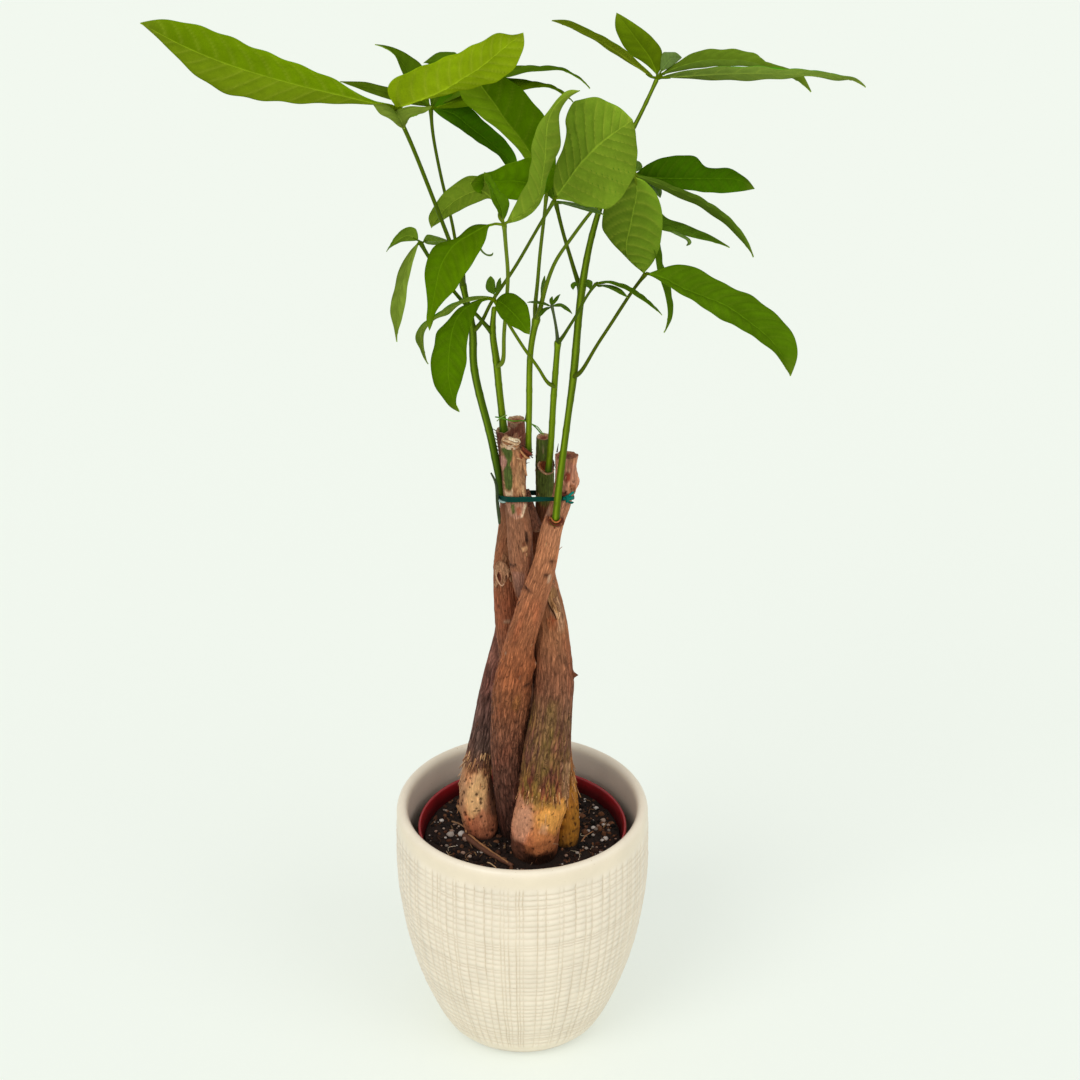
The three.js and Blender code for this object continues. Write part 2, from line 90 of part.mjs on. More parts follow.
  leaflet_j1: { on: 'stalk_j', m: [[-53.4,-35,521.3],[-56.5,-39.1,516.9],[-58.8,-42.8,511.8],[-60.7,-46.1,506.5],[-62.4,-49,500.8],[-63.3,-51.6,494.8],[-63.8,-53.8,488.6],[-64.2,-55.6,482.2],[-64.5,-57,475.5]], a: [[-53.7,-35,521.6],[-58.3,-37.1,516.9],[-61.9,-39.7,511.6],[-64.2,-42.3,505.8],[-65.7,-45,499.6],[-67.3,-47.8,493.6],[-67.4,-50.7,487.4],[-65.7,-53.6,481.4],[-64.5,-57,475.5]], b: [[-53,-35,521.1],[-54.8,-43,518.1],[-56.4,-48.9,514],[-57.7,-53.6,509.3],[-58.7,-57,503.9],[-59.8,-59.1,497.8],[-61.2,-59.9,491.1],[-63.3,-59.5,483.9],[-64.5,-57,475.5]] },
  leaflet_j2: { on: 'stalk_j', m: [[-53.3,-31,521.8],[-55.7,-29.1,522.8],[-58,-27.5,522.8],[-60.4,-26.1,521.9],[-62.8,-25,520],[-65,-24.1,517.9],[-66.9,-23.5,515.9],[-68.7,-23.1,513.6],[-70.3,-23,511.2]], a: [[-53.1,-31,522.5],[-53.5,-32,527.1],[-55.4,-32.1,529.4],[-58.9,-31.8,529.4],[-61.9,-31,527.3],[-64.5,-29.8,524],[-66.5,-28.1,520.1],[-68.3,-26,515.9],[-70.3,-23,511.2]], b: [[-53.5,-31,521.4],[-55.9,-26.2,518.9],[-58.3,-22.9,517.2],[-60.6,-20.5,515.9],[-62.9,-19,514.8],[-65,-18.5,513.5],[-67,-18.9,512.5],[-68.8,-20.2,511.7],[-70.3,-23,511.2]] },
  leaflet_k1: { on: 'stalk_k', m: [[-16,-30.7,487.4],[-24.6,-36.3,487.6],[-31.5,-41.5,484.2],[-35.4,-46.1,477.5],[-37,-50.2,469.8],[-37.8,-53.8,461.6],[-37.6,-57,453.2],[-35.6,-59.6,444.7],[-32.1,-61.7,436.6]], a: [[-16,-30.7,487.8],[-25.9,-33.9,486.7],[-34.8,-37.6,483.1],[-41.8,-41.4,476.3],[-45.1,-45.2,468],[-47.3,-49.1,458.6],[-45.4,-53.1,449.2],[-40,-57.1,441.5],[-32.1,-61.7,436.6]], b: [[-16,-30.7,486.9],[-22.1,-34.9,484.1],[-25.5,-39.1,477.9],[-27.6,-43.2,471.2],[-28.1,-47.2,464.2],[-28.9,-51,457.2],[-31.1,-54.6,450.3],[-33.6,-58.1,443.4],[-32.1,-61.7,436.6]] },
  leaflet_k2: { on: 'stalk_k', m: [[-12.4,-29.7,486],[-9.6,-33.3,486.1],[-7.1,-36.7,485.7],[-4.9,-39.8,484.8],[-2.7,-42.7,483.8],[-0.7,-45.3,482.5],[1.2,-47.7,480.9],[3,-49.8,479.1],[4.7,-51.7,477.2]], a: [[-12.5,-29.7,486.7],[-8.8,-31.9,491.1],[-4.6,-34.4,492.6],[-0.8,-37,491.8],[2.5,-39.7,490],[4.2,-42.5,487],[5.2,-45.4,483.7],[5.3,-48.4,480.3],[4.7,-51.7,477.2]], b: [[-12.6,-29.7,485.4],[-13.2,-32.8,483.3],[-11.7,-35.9,481.4],[-9.8,-38.9,479.8],[-7.2,-41.7,478.9],[-4.4,-44.4,478.2],[-1.3,-46.9,477.8],[1.6,-49.3,477.1],[4.7,-51.7,477.2]] },
  leaflet_k3: { on: 'stalk_k', m: [[-16.1,-26.7,486.6],[-23.6,-26.1,485.7],[-30.9,-25.5,483.3],[-37.7,-24.8,479.3],[-44.1,-24.2,474.5],[-50.1,-23.6,469],[-53.3,-23,461.2],[-52.1,-22.3,452.5],[-49.6,-21.7,444.2]], a: [[-16.1,-26.7,487],[-23.9,-29,488.3],[-31.5,-30.1,486.4],[-38.7,-30.5,482.8],[-45,-30.2,477.1],[-51.7,-29.2,471.9],[-55.7,-27.6,463.3],[-53.1,-25.2,453.9],[-49.6,-21.7,444.2]], b: [[-16.1,-26.7,486.1],[-23.3,-23.6,483.5],[-30.4,-21.6,480.4],[-36.3,-20.1,475.1],[-42.8,-19.2,470.9],[-48.8,-18.9,466.2],[-51.6,-19.1,459],[-51.3,-19.9,451.2],[-49.6,-21.7,444.2]] },
  leaflet_m1: { on: 'shoot_5', m: [[69.7,37,584.4],[63.4,39.2,588.1],[57.3,41.5,592.2],[51.1,43.8,596],[44.5,46,599.4],[37.8,48.2,602.3],[30.9,50.5,604.9],[23.8,52.8,607.1],[16.5,55,608.9]], a: [[69.9,37,584.8],[64.1,34.9,591.6],[58.3,34.6,597.5],[52.2,35.3,602.4],[45.5,37,605.8],[38.5,39.8,608.4],[31.6,43.6,610.6],[24.2,48.4,611.7],[16.5,55,608.9]], b: [[69.5,37,584.1],[63.1,43.6,585.6],[56.6,48.4,587.7],[50.1,52.2,590.4],[43.8,55,594],[37.3,56.7,597.6],[30.5,57.4,601.3],[23.6,57.1,604.9],[16.5,55,608.9]] },
  leaflet_m2: { on: 'shoot_5', m: [[71.8,38,585.4],[70.2,44.6,587.5],[68.1,50.5,589.7],[65.4,55.8,591.8],[62.6,60.5,594.1],[59.7,64.6,596.6],[56.7,68,599.4],[53.8,70.8,602.5],[50.9,73,605.8]], a: [[71.4,38,585.4],[67.8,44.6,586.5],[63.8,50.5,587.4],[59.4,55.8,588],[55.8,60.5,589.9],[53,64.6,593.1],[50.9,68,596.8],[50.1,70.8,601.1],[50.9,73,605.8]], b: [[72.4,38,585.7],[74.8,44.6,588.4],[74.8,50.5,591.8],[72.9,55.8,594.9],[69.1,60.5,597.6],[65,64.6,599.7],[60.4,68,601.7],[55.7,70.8,603.8],[50.9,73,605.8]] },
  leaflet_m4: { on: 'shoot_5', m: [[75,39,585.3],[84.8,43.8,587.7],[95.1,48,588.7],[105.7,51.8,587.8],[116.4,55,586.2],[126.8,57.8,582.3],[137.3,60,578],[147,61.8,572.7],[155.6,63,564.6]], a: [[74.8,39,585.8],[84.4,51.5,587.4],[94.9,60.3,589.4],[106.5,66.8,587.5],[118.4,71,585],[128.6,72.8,579.5],[139.2,72.3,574.9],[149.9,69.5,572.8],[155.6,63,564.6]], b: [[75,39,584.8],[85.1,39.9,586.8],[95.3,41.8,587.4],[105.6,44.2,587.3],[116,47,586.1],[126.4,50.2,584.1],[136.7,53.8,579.6],[146.7,57.9,573.6],[155.6,63,564.6]] },
  leaflet_m5: { on: 'shoot_5', m: [[75,36,584.8],[88.4,36,585.9],[101.9,35.8,587],[115.3,35.2,587.6],[128.8,34.5,588],[142.2,33.5,587.7],[155.6,32.2,587.4],[169,30.8,586.7],[181.5,29,582.1]], a: [[75,36,585.2],[88.1,31.1,590.5],[101.4,28,593.6],[114.9,25.8,594.8],[128.4,24.5,595.1],[142,24.1,594],[155.6,24.5,593],[169.2,25.9,589.5],[181.5,29,582.1]], b: [[75,36,584.4],[88.7,40.9,581.5],[102.4,43.5,579.6],[116,44.7,578.9],[129.5,44.5,579.3],[142.9,42.9,581.3],[156.2,40,583.2],[169.2,35.6,582.9],[181.5,29,582.1]] },
  leaflet_a4: { on: 'stalk_b', m: [[-48.9,41,566],[-54.9,43,566.8],[-60.8,45,567.8],[-66.5,47,569.3],[-72.3,49,570.7],[-78.3,51,571.5],[-84.3,53,572.1],[-90.3,55,572.6],[-96.4,57,573.2]], a: [[-48.7,41,566.4],[-53.7,45.4,569],[-59.2,48.9,570.7],[-65.2,51.7,571.1],[-71.5,54,571.2],[-77.7,55.7,572.1],[-83.9,56.9,572.9],[-90.1,57.4,572.9],[-96.4,57,573.2]], b: [[-49.2,41,565.6],[-55.3,40.6,566.5],[-61.3,41.1,567.3],[-67.2,42.3,568.3],[-73.1,44,569.5],[-78.9,46.3,570.6],[-84.7,49.1,571.7],[-90.6,52.6,572.6],[-96.4,57,573.2]] },
};

const SMALL_LEAFLETS = {
  i1: { on: 'stalk_i', m: [[-8.6,-51,542.5],[-9,-49.9,545.7],[-9.9,-49.1,548.8],[-11.2,-48.6,551.9],[-12.6,-48.2,555],[-14,-48.2,558.3],[-15.4,-48.4,561.7],[-16.8,-48.8,565.1],[-18.2,-49.5,568.7]], a: [[-8.8,-51,542.5],[-10.4,-51.4,545.9],[-12.1,-51.4,549.1],[-13.8,-51.4,552.3],[-14.9,-51.2,555.6],[-15.4,-51,559.1],[-16.7,-50.7,562.3],[-18.1,-50.3,565.4],[-18.2,-49.5,568.7]], b: [[-8.3,-51,542.5],[-6.6,-49,545.4],[-5.5,-47.6,548.8],[-6.1,-46.7,552.5],[-8.8,-46.2,555],[-11.3,-46.3,558],[-13.1,-46.8,562],[-15,-47.8,566.2],[-18.2,-49.5,568.7]] },
  d2: { on: 'stalk_d', m: [[18.7,-33,544.7],[21.8,-33.2,544.1],[24.9,-33.5,543.4],[28.1,-33.8,542.7],[31.2,-34,542.1],[34.3,-34.2,541.3],[37.3,-34.5,540.4],[40.3,-34.8,539.3],[43.3,-35,538]], a: [[18.7,-33,545.2],[22,-29.8,543.4],[25.3,-28.1,542.1],[28.5,-27.2,541.2],[31.8,-27,540.5],[35.1,-27.7,540.1],[38,-29.1,539.6],[40.8,-31.3,538.8],[43.3,-35,538]], b: [[18.7,-33,544.3],[21.7,-36.7,545],[24.7,-38.9,545],[27.8,-40.3,544.7],[30.8,-41,544],[33.9,-40.8,543],[37,-39.9,541.7],[40.1,-38.2,540.1],[43.3,-35,538]] },
  f5: { on: 'stalk_sr', m: [[60.9,-18,551.8],[63,-16,550.1],[65,-14,548.3],[66.9,-12,546.2],[68.7,-10,543.8],[70.2,-8,541.3],[71.5,-6,538.5],[72.6,-4,535.4],[73.4,-2,532.2]], a: [[61,-18,552.3],[63.7,-14.1,550.2],[66.2,-10.9,548.2],[68.7,-8.2,546.2],[71.2,-6,543.9],[73,-4.2,541.3],[73.9,-2.9,538.1],[74.1,-2.1,534.9],[73.4,-2,532.2]], b: [[60.5,-18,551.5],[62.2,-17.9,550.1],[63.8,-17.1,548.3],[65.4,-15.8,546.2],[66.9,-14,543.8],[68.4,-11.8,541.2],[70,-9.1,538.4],[71.7,-5.9,535.5],[73.4,-2,532.2]] },
  h2: { on: 'stalk_h', m: [[40.6,-26,493.2],[42.8,-27.8,493.8],[44.9,-29.5,494.3],[47,-31.2,494.6],[49,-33,494.7],[51,-34.8,494.6],[52.8,-36.5,494.2],[54.5,-38.2,493.6],[56.1,-40,492.9]], a: [[40.6,-26,493.6],[42.9,-25.3,493.2],[45.2,-25.6,493.3],[47.4,-26.5,493.4],[49.7,-28,493.5],[51.7,-30,493.6],[53.5,-32.6,493.2],[54.9,-35.8,493],[56.1,-40,492.9]], b: [[40.5,-26,492.8],[42.6,-30.2,494.5],[44.6,-33.4,495.5],[46.5,-36,496],[48.4,-38,496],[50.3,-39.5,495.6],[52.1,-40.4,494.9],[54.1,-40.7,494.1],[56.1,-40,492.9]] },
  j3: { on: 'stalk_j', m: [[-50.4,-31,521.1],[-48.9,-29,520.3],[-47.3,-27,519.4],[-45.8,-25,518.6],[-44.2,-23,517.7],[-42.7,-21,516.7],[-41.2,-19,515.8],[-39.6,-17,514.8],[-38.1,-15,513.9]], a: [[-50.4,-31,521.7],[-49.3,-31.4,524.1],[-48.1,-30.9,524.9],[-46.5,-29.7,524.1],[-44.6,-28,522.8],[-42.9,-25.7,521.1],[-41.3,-22.9,519.1],[-39.6,-19.4,516.8],[-38.1,-15,513.9]], b: [[-50.4,-31,520.5],[-49,-27.1,517.6],[-47.6,-23.9,515.7],[-45.9,-21.2,514.2],[-44.3,-19,513.1],[-42.7,-17.2,512.3],[-41.1,-15.9,512.2],[-39.6,-15.1,512.7],[-38.1,-15,513.9]] },
  k4: { on: 'stalk_k', m: [[-14,-24.7,487.4],[-14.1,-23.1,488],[-14.3,-21.7,488.6],[-14.6,-20.4,489.3],[-14.8,-19.2,490],[-15.1,-18.1,490.8],[-15.4,-17.2,491.6],[-15.7,-16.4,492.6],[-15.9,-15.7,493.5]], a: [[-14.3,-24.7,487.4],[-15.9,-23.1,487.1],[-17.2,-21.7,487.3],[-18.2,-20.4,488],[-18.5,-19.2,489.1],[-18.3,-18.1,490.4],[-17.9,-17.2,491.6],[-17.1,-16.4,492.6],[-15.9,-15.7,493.5]], b: [[-13.6,-24.7,487.4],[-13.4,-23.1,488.1],[-13.2,-21.7,488.8],[-13.3,-20.4,489.6],[-13.4,-19.2,490.5],[-13.6,-18.1,491.4],[-14,-17.2,492.1],[-14.8,-16.4,492.9],[-15.9,-15.7,493.5]] },
  m3: { on: 'shoot_5', m: [[74.2,39,587],[75.2,41.5,587.5],[76.3,44,587.9],[77.5,46.5,588.3],[78.8,49,588.9],[80.2,51.5,588.8],[81.8,54,587.9],[83.6,56.5,586.9],[85.7,59,585.9]], a: [[73.7,39,587.2],[73.8,43,588.4],[74,46.3,589.7],[74.5,49.3,591.2],[76,52,592],[78.5,54.3,591],[81.3,56.3,590.2],[83.6,58,588.5],[85.7,59,585.9]], b: [[74.8,39,586.7],[76.2,40,586.9],[77.7,41.7,587],[79.1,43.7,587],[80.4,46,587],[81.8,48.7,586.9],[83.1,51.7,586.7],[84.4,55,586.4],[85.7,59,585.9]] },
  f6: { on: 'stalk_sr', m: [[59.8,-15,553.6],[60.2,-13.1,553.5],[60.7,-11.2,553.4],[61,-9.4,553.3],[61.5,-7.5,553.2],[61.8,-5.6,553.1],[61.8,-3.8,553],[61.5,-1.9,552.9],[60.9,0,552.8]], a: [[59.5,-15,553.6],[59.4,-13.1,553.6],[59.4,-11.2,553.6],[59.4,-9.4,553.5],[59.4,-7.5,553.5],[59.5,-5.6,553.6],[59.6,-3.8,553.5],[60,-1.9,553.2],[60.9,0,552.8]], b: [[60.1,-15,553.4],[61.7,-13.1,553.1],[62.8,-11.2,552.9],[63.4,-9.4,552.8],[63.6,-7.5,552.8],[63.2,-5.6,553.2],[62.7,-3.8,553.3],[61.9,-1.9,553.1],[60.9,0,552.8]] },
  k5: { on: 'stalk_k', m: [[-13.2,-24.7,487.3],[-12.8,-24.1,488.2],[-12.5,-23.5,489.1],[-12.1,-22.8,490],[-11.8,-22.2,490.9],[-11.5,-21.6,491.8],[-11.2,-21,492.7],[-11,-20.3,493.6],[-10.7,-19.7,494.5]], a: [[-13.5,-24.7,487.4],[-13.4,-23.1,487.9],[-13.3,-21.9,488.6],[-13.1,-20.9,489.4],[-12.9,-20.2,490.3],[-12.6,-19.7,491.3],[-12.2,-19.4,492.3],[-11.6,-19.4,493.3],[-10.7,-19.7,494.5]], b: [[-12.8,-24.7,487.2],[-12,-25,488.4],[-11.3,-25,489.5],[-10.9,-24.7,490.5],[-10.5,-24.2,491.5],[-10.2,-23.5,492.4],[-10.2,-22.5,493.3],[-10.4,-21.3,494],[-10.7,-19.7,494.5]] },
  s3b: { on: 'stalk_sr', m: [[11,-3,474.8],[11,-2.8,476.3],[11.1,-2.5,477.8],[11.2,-2.2,479.3],[11.5,-2,480.7],[11.8,-1.8,482.2],[12.1,-1.5,483.6],[12.3,-1.2,485.1],[12.6,-1,486.5]], a: [[10.5,-3,474.8],[10.5,-1.8,475.8],[10.5,-1,477.1],[10.5,-0.4,478.4],[10.7,0,479.9],[11,0.1,481.4],[11.4,0,483],[11.9,-0.3,484.7],[12.6,-1,486.5]], b: [[11.6,-3,474.8],[11.9,-3.7,476.7],[12.1,-4,478.5],[12.4,-4.1,480.1],[12.8,-4,481.6],[13,-3.6,483],[13,-3,484.3],[12.9,-2.2,485.5],[12.6,-1,486.5]] },
  l1: { on: 'stalk_l', m: [[15.5,-5,470.6],[14.1,-5.5,471.5],[12.6,-6,472.4],[11.1,-6.5,473.1],[9.5,-7,473.7],[8,-7.5,474.2],[6.4,-8,474.4],[4.9,-8.5,474.6],[3.3,-9,474.7]], a: [[15.5,-5,470.9],[14.1,-4,471.4],[12.7,-3.7,472],[11.2,-3.7,472.4],[9.6,-4,472.9],[8,-4.7,473.4],[6.4,-5.7,473.8],[4.8,-7,474.2],[3.3,-9,474.7]], b: [[15.5,-5,470.2],[14,-7,471.7],[12.5,-8.3,472.8],[11,-9.3,473.6],[9.4,-10,474.2],[7.9,-10.3,474.7],[6.4,-10.3,474.9],[4.8,-10,475],[3.3,-9,474.7]] },
  l2: { on: 'stalk_l', m: [[15.7,-5,469.7],[14.6,-6.1,469.9],[13.6,-7.2,470],[12.7,-8.4,470],[11.9,-9.5,469.8],[11.1,-10.6,469.6],[10.4,-11.8,469.2],[9.7,-12.9,468.9],[9.1,-14,468.4]], a: [[15.4,-5,470],[14.2,-5.2,470],[13.1,-5.7,470],[12,-6.5,470],[11,-7.5,469.8],[10.1,-8.7,469.4],[9.6,-10.2,469.1],[9.3,-11.9,468.8],[9.1,-14,468.4]], b: [[15.9,-5,469.4],[15,-7.1,469.8],[14.1,-8.8,470],[13.3,-10.3,470],[12.5,-11.5,469.8],[11.8,-12.5,469.4],[11,-13.3,469.1],[10.1,-13.8,468.8],[9.1,-14,468.4]] },
  l3: { on: 'stalk_l', m: [[16.1,-4,470.7],[16,-3.5,471.1],[16,-3,471.5],[15.9,-2.5,471.9],[16,-2,472.3],[16.1,-1.5,472.7],[16.2,-1,473.1],[16.5,-0.5,473.5],[16.7,0,473.9]], a: [[15.9,-4,470.7],[15.5,-3.5,471.2],[15.3,-3,471.6],[15.2,-2.5,472.1],[15.2,-2,472.5],[15.3,-1.5,472.9],[15.6,-1,473.2],[16.1,-0.5,473.6],[16.7,0,473.9]], b: [[16.5,-4,470.7],[16.8,-3.5,471.1],[17.1,-3,471.4],[17.2,-2.5,471.8],[17.2,-2,472.2],[17.2,-1.5,472.6],[17.1,-1,473.1],[17,-0.5,473.5],[16.7,0,473.9]] },
  l4: { on: 'stalk_l', m: [[16.7,-4,470.7],[17.1,-3.4,471.3],[17.6,-2.8,471.8],[18,-2.1,472.4],[18.5,-1.5,472.9],[19.1,-0.9,473.3],[19.7,-0.2,473.8],[20.3,0.4,474.2],[21,1,474.6]], a: [[16.5,-4,470.9],[16.7,-2.9,471.4],[17,-2,471.9],[17.4,-1.2,472.4],[17.9,-0.5,472.8],[18.5,0.1,473.3],[19.2,0.5,473.7],[20,0.9,474.2],[21,1,474.6]], b: [[17.1,-4,470.5],[17.8,-3.9,471.1],[18.4,-3.5,471.6],[19,-3.1,472.1],[19.5,-2.5,472.6],[19.9,-1.8,473.1],[20.3,-1,473.7],[20.7,-0.1,474.2],[21,1,474.6]] },
  l5: { on: 'stalk_l', m: [[17.1,-5,470.5],[18.6,-5.9,471.4],[20.1,-6.8,472],[21.5,-7.6,472.4],[22.9,-8.5,472.1],[24.2,-9.4,471.5],[25.4,-10.2,471],[26.4,-11.1,470.2],[27.4,-12,469.3]], a: [[17.1,-5,470.9],[18.7,-4.9,471.7],[20.2,-5.2,472.2],[21.7,-5.7,472.3],[23.3,-6.5,471.9],[24.6,-7.5,471.4],[25.7,-8.7,470.9],[26.7,-10.2,470.1],[27.4,-12,469.3]], b: [[17.1,-5,470],[18.6,-6.8,471],[20,-8.3,471.7],[21.3,-9.5,472.2],[22.5,-10.5,471.8],[23.7,-11.3,471.2],[24.9,-11.8,470.7],[26.2,-12.1,470.1],[27.4,-12,469.3]] },
  n2: { on: 'shoot_5', m: [[30.4,-2.9,481.9],[29.7,-3.7,482.8],[29,-4.4,483.5],[28.4,-5.2,483.7],[27.8,-5.9,483.5],[27.4,-6.7,483.1],[27.4,-7.4,482.8],[27.5,-8.2,482.4],[27.7,-8.9,481.9]], a: [[30.4,-2.9,482.4],[29.5,-3.2,483.5],[28.7,-3.6,484.1],[27.8,-4.2,484.2],[26.8,-4.9,483.7],[26.4,-5.7,483.2],[26.5,-6.6,482.8],[26.9,-7.7,482.3],[27.7,-8.9,481.9]], b: [[30.5,-2.9,481.1],[30,-4.1,481.8],[29.5,-5.2,482.4],[29.1,-6.1,482.8],[28.8,-6.9,482.7],[28.6,-7.6,482.5],[28.3,-8.2,482.4],[28,-8.6,482.2],[27.7,-8.9,481.9]] },
  n3: { on: 'shoot_5', m: [[33.8,-2.9,481.3],[34.5,-3.8,483.3],[35.2,-4.7,484.5],[36,-5.5,485.2],[37,-6.4,485],[37.5,-7.3,484.4],[37.4,-8.2,483.8],[37.2,-9,483],[36.7,-9.9,482.1]], a: [[33.7,-2.9,482.2],[34.4,-3.3,484.3],[35.2,-3.9,485.6],[36.3,-4.6,485.9],[37.8,-5.4,485.4],[38.1,-6.3,484.9],[38,-7.4,484.1],[37.6,-8.5,483.2],[36.7,-9.9,482.1]], b: [[34,-2.9,480.4],[34.4,-4.3,481.3],[34.8,-5.4,481.9],[35.3,-6.5,482.3],[35.7,-7.4,482.5],[36,-8.2,482.6],[36.3,-8.9,482.6],[36.5,-9.5,482.4],[36.7,-9.9,482.1]] },
};

// Tie band: inner outline round the five trunks, [x, y].
const BAND = [[-12.92,-5.4],[-11.45,-8.99],[-9.7,-12.48],[-7.35,-15.53],[-3.7,-16.75],[0.14,-16.1],[3.95,-15.24],[7.77,-14.38],[11.58,-13.52],[15.39,-12.67],[19.2,-11.81],[23.02,-10.95],[26.56,-9.43],[28.35,-6.06],[27.48,-2.33],[25.55,1.07],[23.63,4.47],[21.7,7.87],[19.77,11.27],[17.84,14.66],[14.93,17.16],[11.09,17.77],[7.2,18.18],[3.31,18.59],[-0.57,19],[-4.46,19.2],[-7.79,17.31],[-9.31,13.76],[-10.24,9.96],[-11.17,6.17],[-12.09,2.37],[-12.54,-1.51]];

// Thin twine lying across the cut tops of the trunks: [x, y, z, radius].
const TWINE = [[-13.94,-1.60,401.65,0.50],[-11.73,-4.90,403.05,0.50],[-8.76,-5.20,402.35,0.50],[-4.45,-3.20,400.05,0.50],[2.04,1.00,397.80,0.50],[6.38,2.50,394.53,0.50],[10.73,4.20,388.35,0.50]];

// ---------------------------------------------------------------- builders
function geometry(positions, index) {
  const g = new THREE.BufferGeometry();
  g.setAttribute('position', new THREE.BufferAttribute(new Float32Array(positions), 3));
  g.setIndex(index);
  return g;
}

// A closed round body along a centre line; the section is an n-sided polygon.
function sweep(rows, sides, grow = 0, cap = 0) {
  let r = rows.map((p) => p.slice());
  const dir = (a, b) => new THREE.Vector3(b[0] - a[0], b[1] - a[1], b[2] - a[2]).normalize();
  if (cap > 0) {
    // a rounded end: one smaller ring past the last one
    const last = r[r.length - 1];
    const d = dir(r[r.length - 2], last);
    const q = last[3] * cap;
    r.push([last[0] + d.x * q, last[1] + d.y * q, last[2] + d.z * q, last[3] * 0.62]);
  }
  if (grow > 0) {
    const a = dir(r[1], r[0]), b = dir(r[r.length - 2], r[r.length - 1]);
    const s = r[0], e = r[r.length - 1];
    r[0] = [s[0] + a.x * grow, s[1] + a.y * grow, s[2] + a.z * grow, s[3]];
    r[r.length - 1] = [e[0] + b.x * grow, e[1] + b.y * grow, e[2] + b.z * grow, e[3]];
  }
  const P = r.map((p) => new THREE.Vector3(p[0], p[1], p[2]));
  const n = P.length;
  const T = P.map((p, i) => P[Math.min(i + 1, n - 1)].clone().sub(P[Math.max(i - 1, 0)]).normalize());
  let u = new THREE.Vector3(1, 0, 0);
  if (Math.abs(T[0].x) > 0.9) u = new THREE.Vector3(0, 1, 0);
  const pos = [], idx = [];
  for (let i = 0; i < n; i++) {
    u.addScaledVector(T[i], -u.dot(T[i])).normalize();
    const w = T[i].clone().cross(u);
    const rad = (r[i][3] + grow) / Math.cos(Math.PI / sides) * 0.985;
    for (let k = 0; k < sides; k++) {
      const a = (2 * Math.PI * k) / sides;
      pos.push(P[i].x + rad * (Math.cos(a) * u.x + Math.sin(a) * w.x),
        P[i].y + rad * (Math.cos(a) * u.y + Math.sin(a) * w.y),
        P[i].z + rad * (Math.cos(a) * u.z + Math.sin(a) * w.z));
    }
  }
  for (let i = 0; i < n - 1; i++) for (let k = 0; k < sides; k++) {
    const a = i * sides + k, b = i * sides + (k + 1) % sides;
    idx.push(a, b, b + sides, a, b + sides, a + sides);
  }
  for (let k = 1; k < sides - 1; k++) {
    idx.push(0, k + 1, k);
    const o = (n - 1) * sides;
    idx.push(o, o + k, o + k + 1);
  }
  return geometry(pos, idx);
}

// A leaflet blade: midrib m and its two margins a and b, given plate thickness.
function blade(leaf, hub, hubR, grow = 0) {
  const V = (p) => new THREE.Vector3(p[0], p[1], p[2]);
  let M = leaf.m.map(V), A = leaf.a.map(V), B = leaf.b.map(V);
  const n0 = M.length;
  // blunt tip
  const side = A[n0 - 2].clone().sub(B[n0 - 2]).normalize();
  A[n0 - 1] = M[n0 - 1].clone().addScaledVector(side, 0.45);
  B[n0 - 1] = M[n0 - 1].clone().addScaledVector(side, -0.45);
  // short leaflet stalk back to the hub
  const sb = A[1].clone().sub(B[1]).normalize();
  A[0] = M[0].clone().addScaledVector(sb, 0.75);
  B[0] = M[0].clone().addScaledVector(sb, -0.75);
  if (hub) {
    const d = M[0].clone().sub(hub);
    const len = d.length();
    if (len > hubR + 1.0) {
      const s = hub.clone().addScaledVector(d.normalize(), hubR);
      M.unshift(s);
      A.unshift(s.clone().addScaledVector(sb, 0.6));
      B.unshift(s.clone().addScaledVector(sb, -0.6));
    }
  }
  const n = M.length;
  const up = new THREE.Vector3(), N = [];
  for (let i = 0; i < n; i++) {
    const t = M[Math.min(i + 1, n - 1)].clone().sub(M[Math.max(i - 1, 0)]);
    up.copy(A[i]).sub(B[i]);
    const m = t.cross(up).normalize();
    if (N.length && m.dot(N[N.length - 1]) < 0) m.negate();
    N.push(m);
  }
  if (grow > 0) {
    for (let i = 0; i < n; i++) {
      const c = A[i].clone().sub(B[i]).normalize();
      A[i].addScaledVector(c, grow);
      B[i].addScaledVector(c, -grow);
    }
    const t = M[n - 1].clone().sub(M[n - 2]).normalize().multiplyScalar(grow);
    M[n - 1].add(t); A[n - 1].add(t); B[n - 1].add(t);
    const s = M[0].clone().sub(M[1]).normalize().multiplyScalar(grow);
    M[0].add(s); A[0].add(s); B[0].add(s);
  }
  const h = LEAF_T / 2 + grow;
  const pos = [], idx = [];
  for (let i = 0; i < n; i++) {
    for (const sgn of [1, -1]) for (const p of [A[i], M[i], B[i]]) {
      pos.push(p.x + N[i].x * h * sgn, p.y + N[i].y * h * sgn, p.z + N[i].z * h * sgn);
    }
  }
  const quad = (a, b, c, d) => idx.push(a, b, c, a, c, d);
  for (let i = 0; i < n - 1; i++) {
    const o = i * 6, q = o + 6;
    for (let k = 0; k < 2; k++) {
      quad(o + k, q + k, q + k + 1, o + k + 1);
      quad(o + 3 + k, o + 4 + k, q + 4 + k, q + 3 + k);
    }
    quad(o, o + 3, q + 3, q);
    quad(o + 2, q + 2, q + 5, o + 5);
  }
  quad(0, 1, 4, 3); quad(1, 2, 5, 4);
  const e = (n - 1) * 6;
  quad(e, e + 3, e + 4, e + 1); quad(e + 1, e + 4, e + 5, e + 2);
  return geometry(pos, idx);
}

function lathe(profile, seg) {
  const g = new THREE.LatheGeometry(profile.map((p) => new THREE.Vector2(p[0], p[1])), seg);
  g.rotateX(Math.PI / 2);
  return g;
}

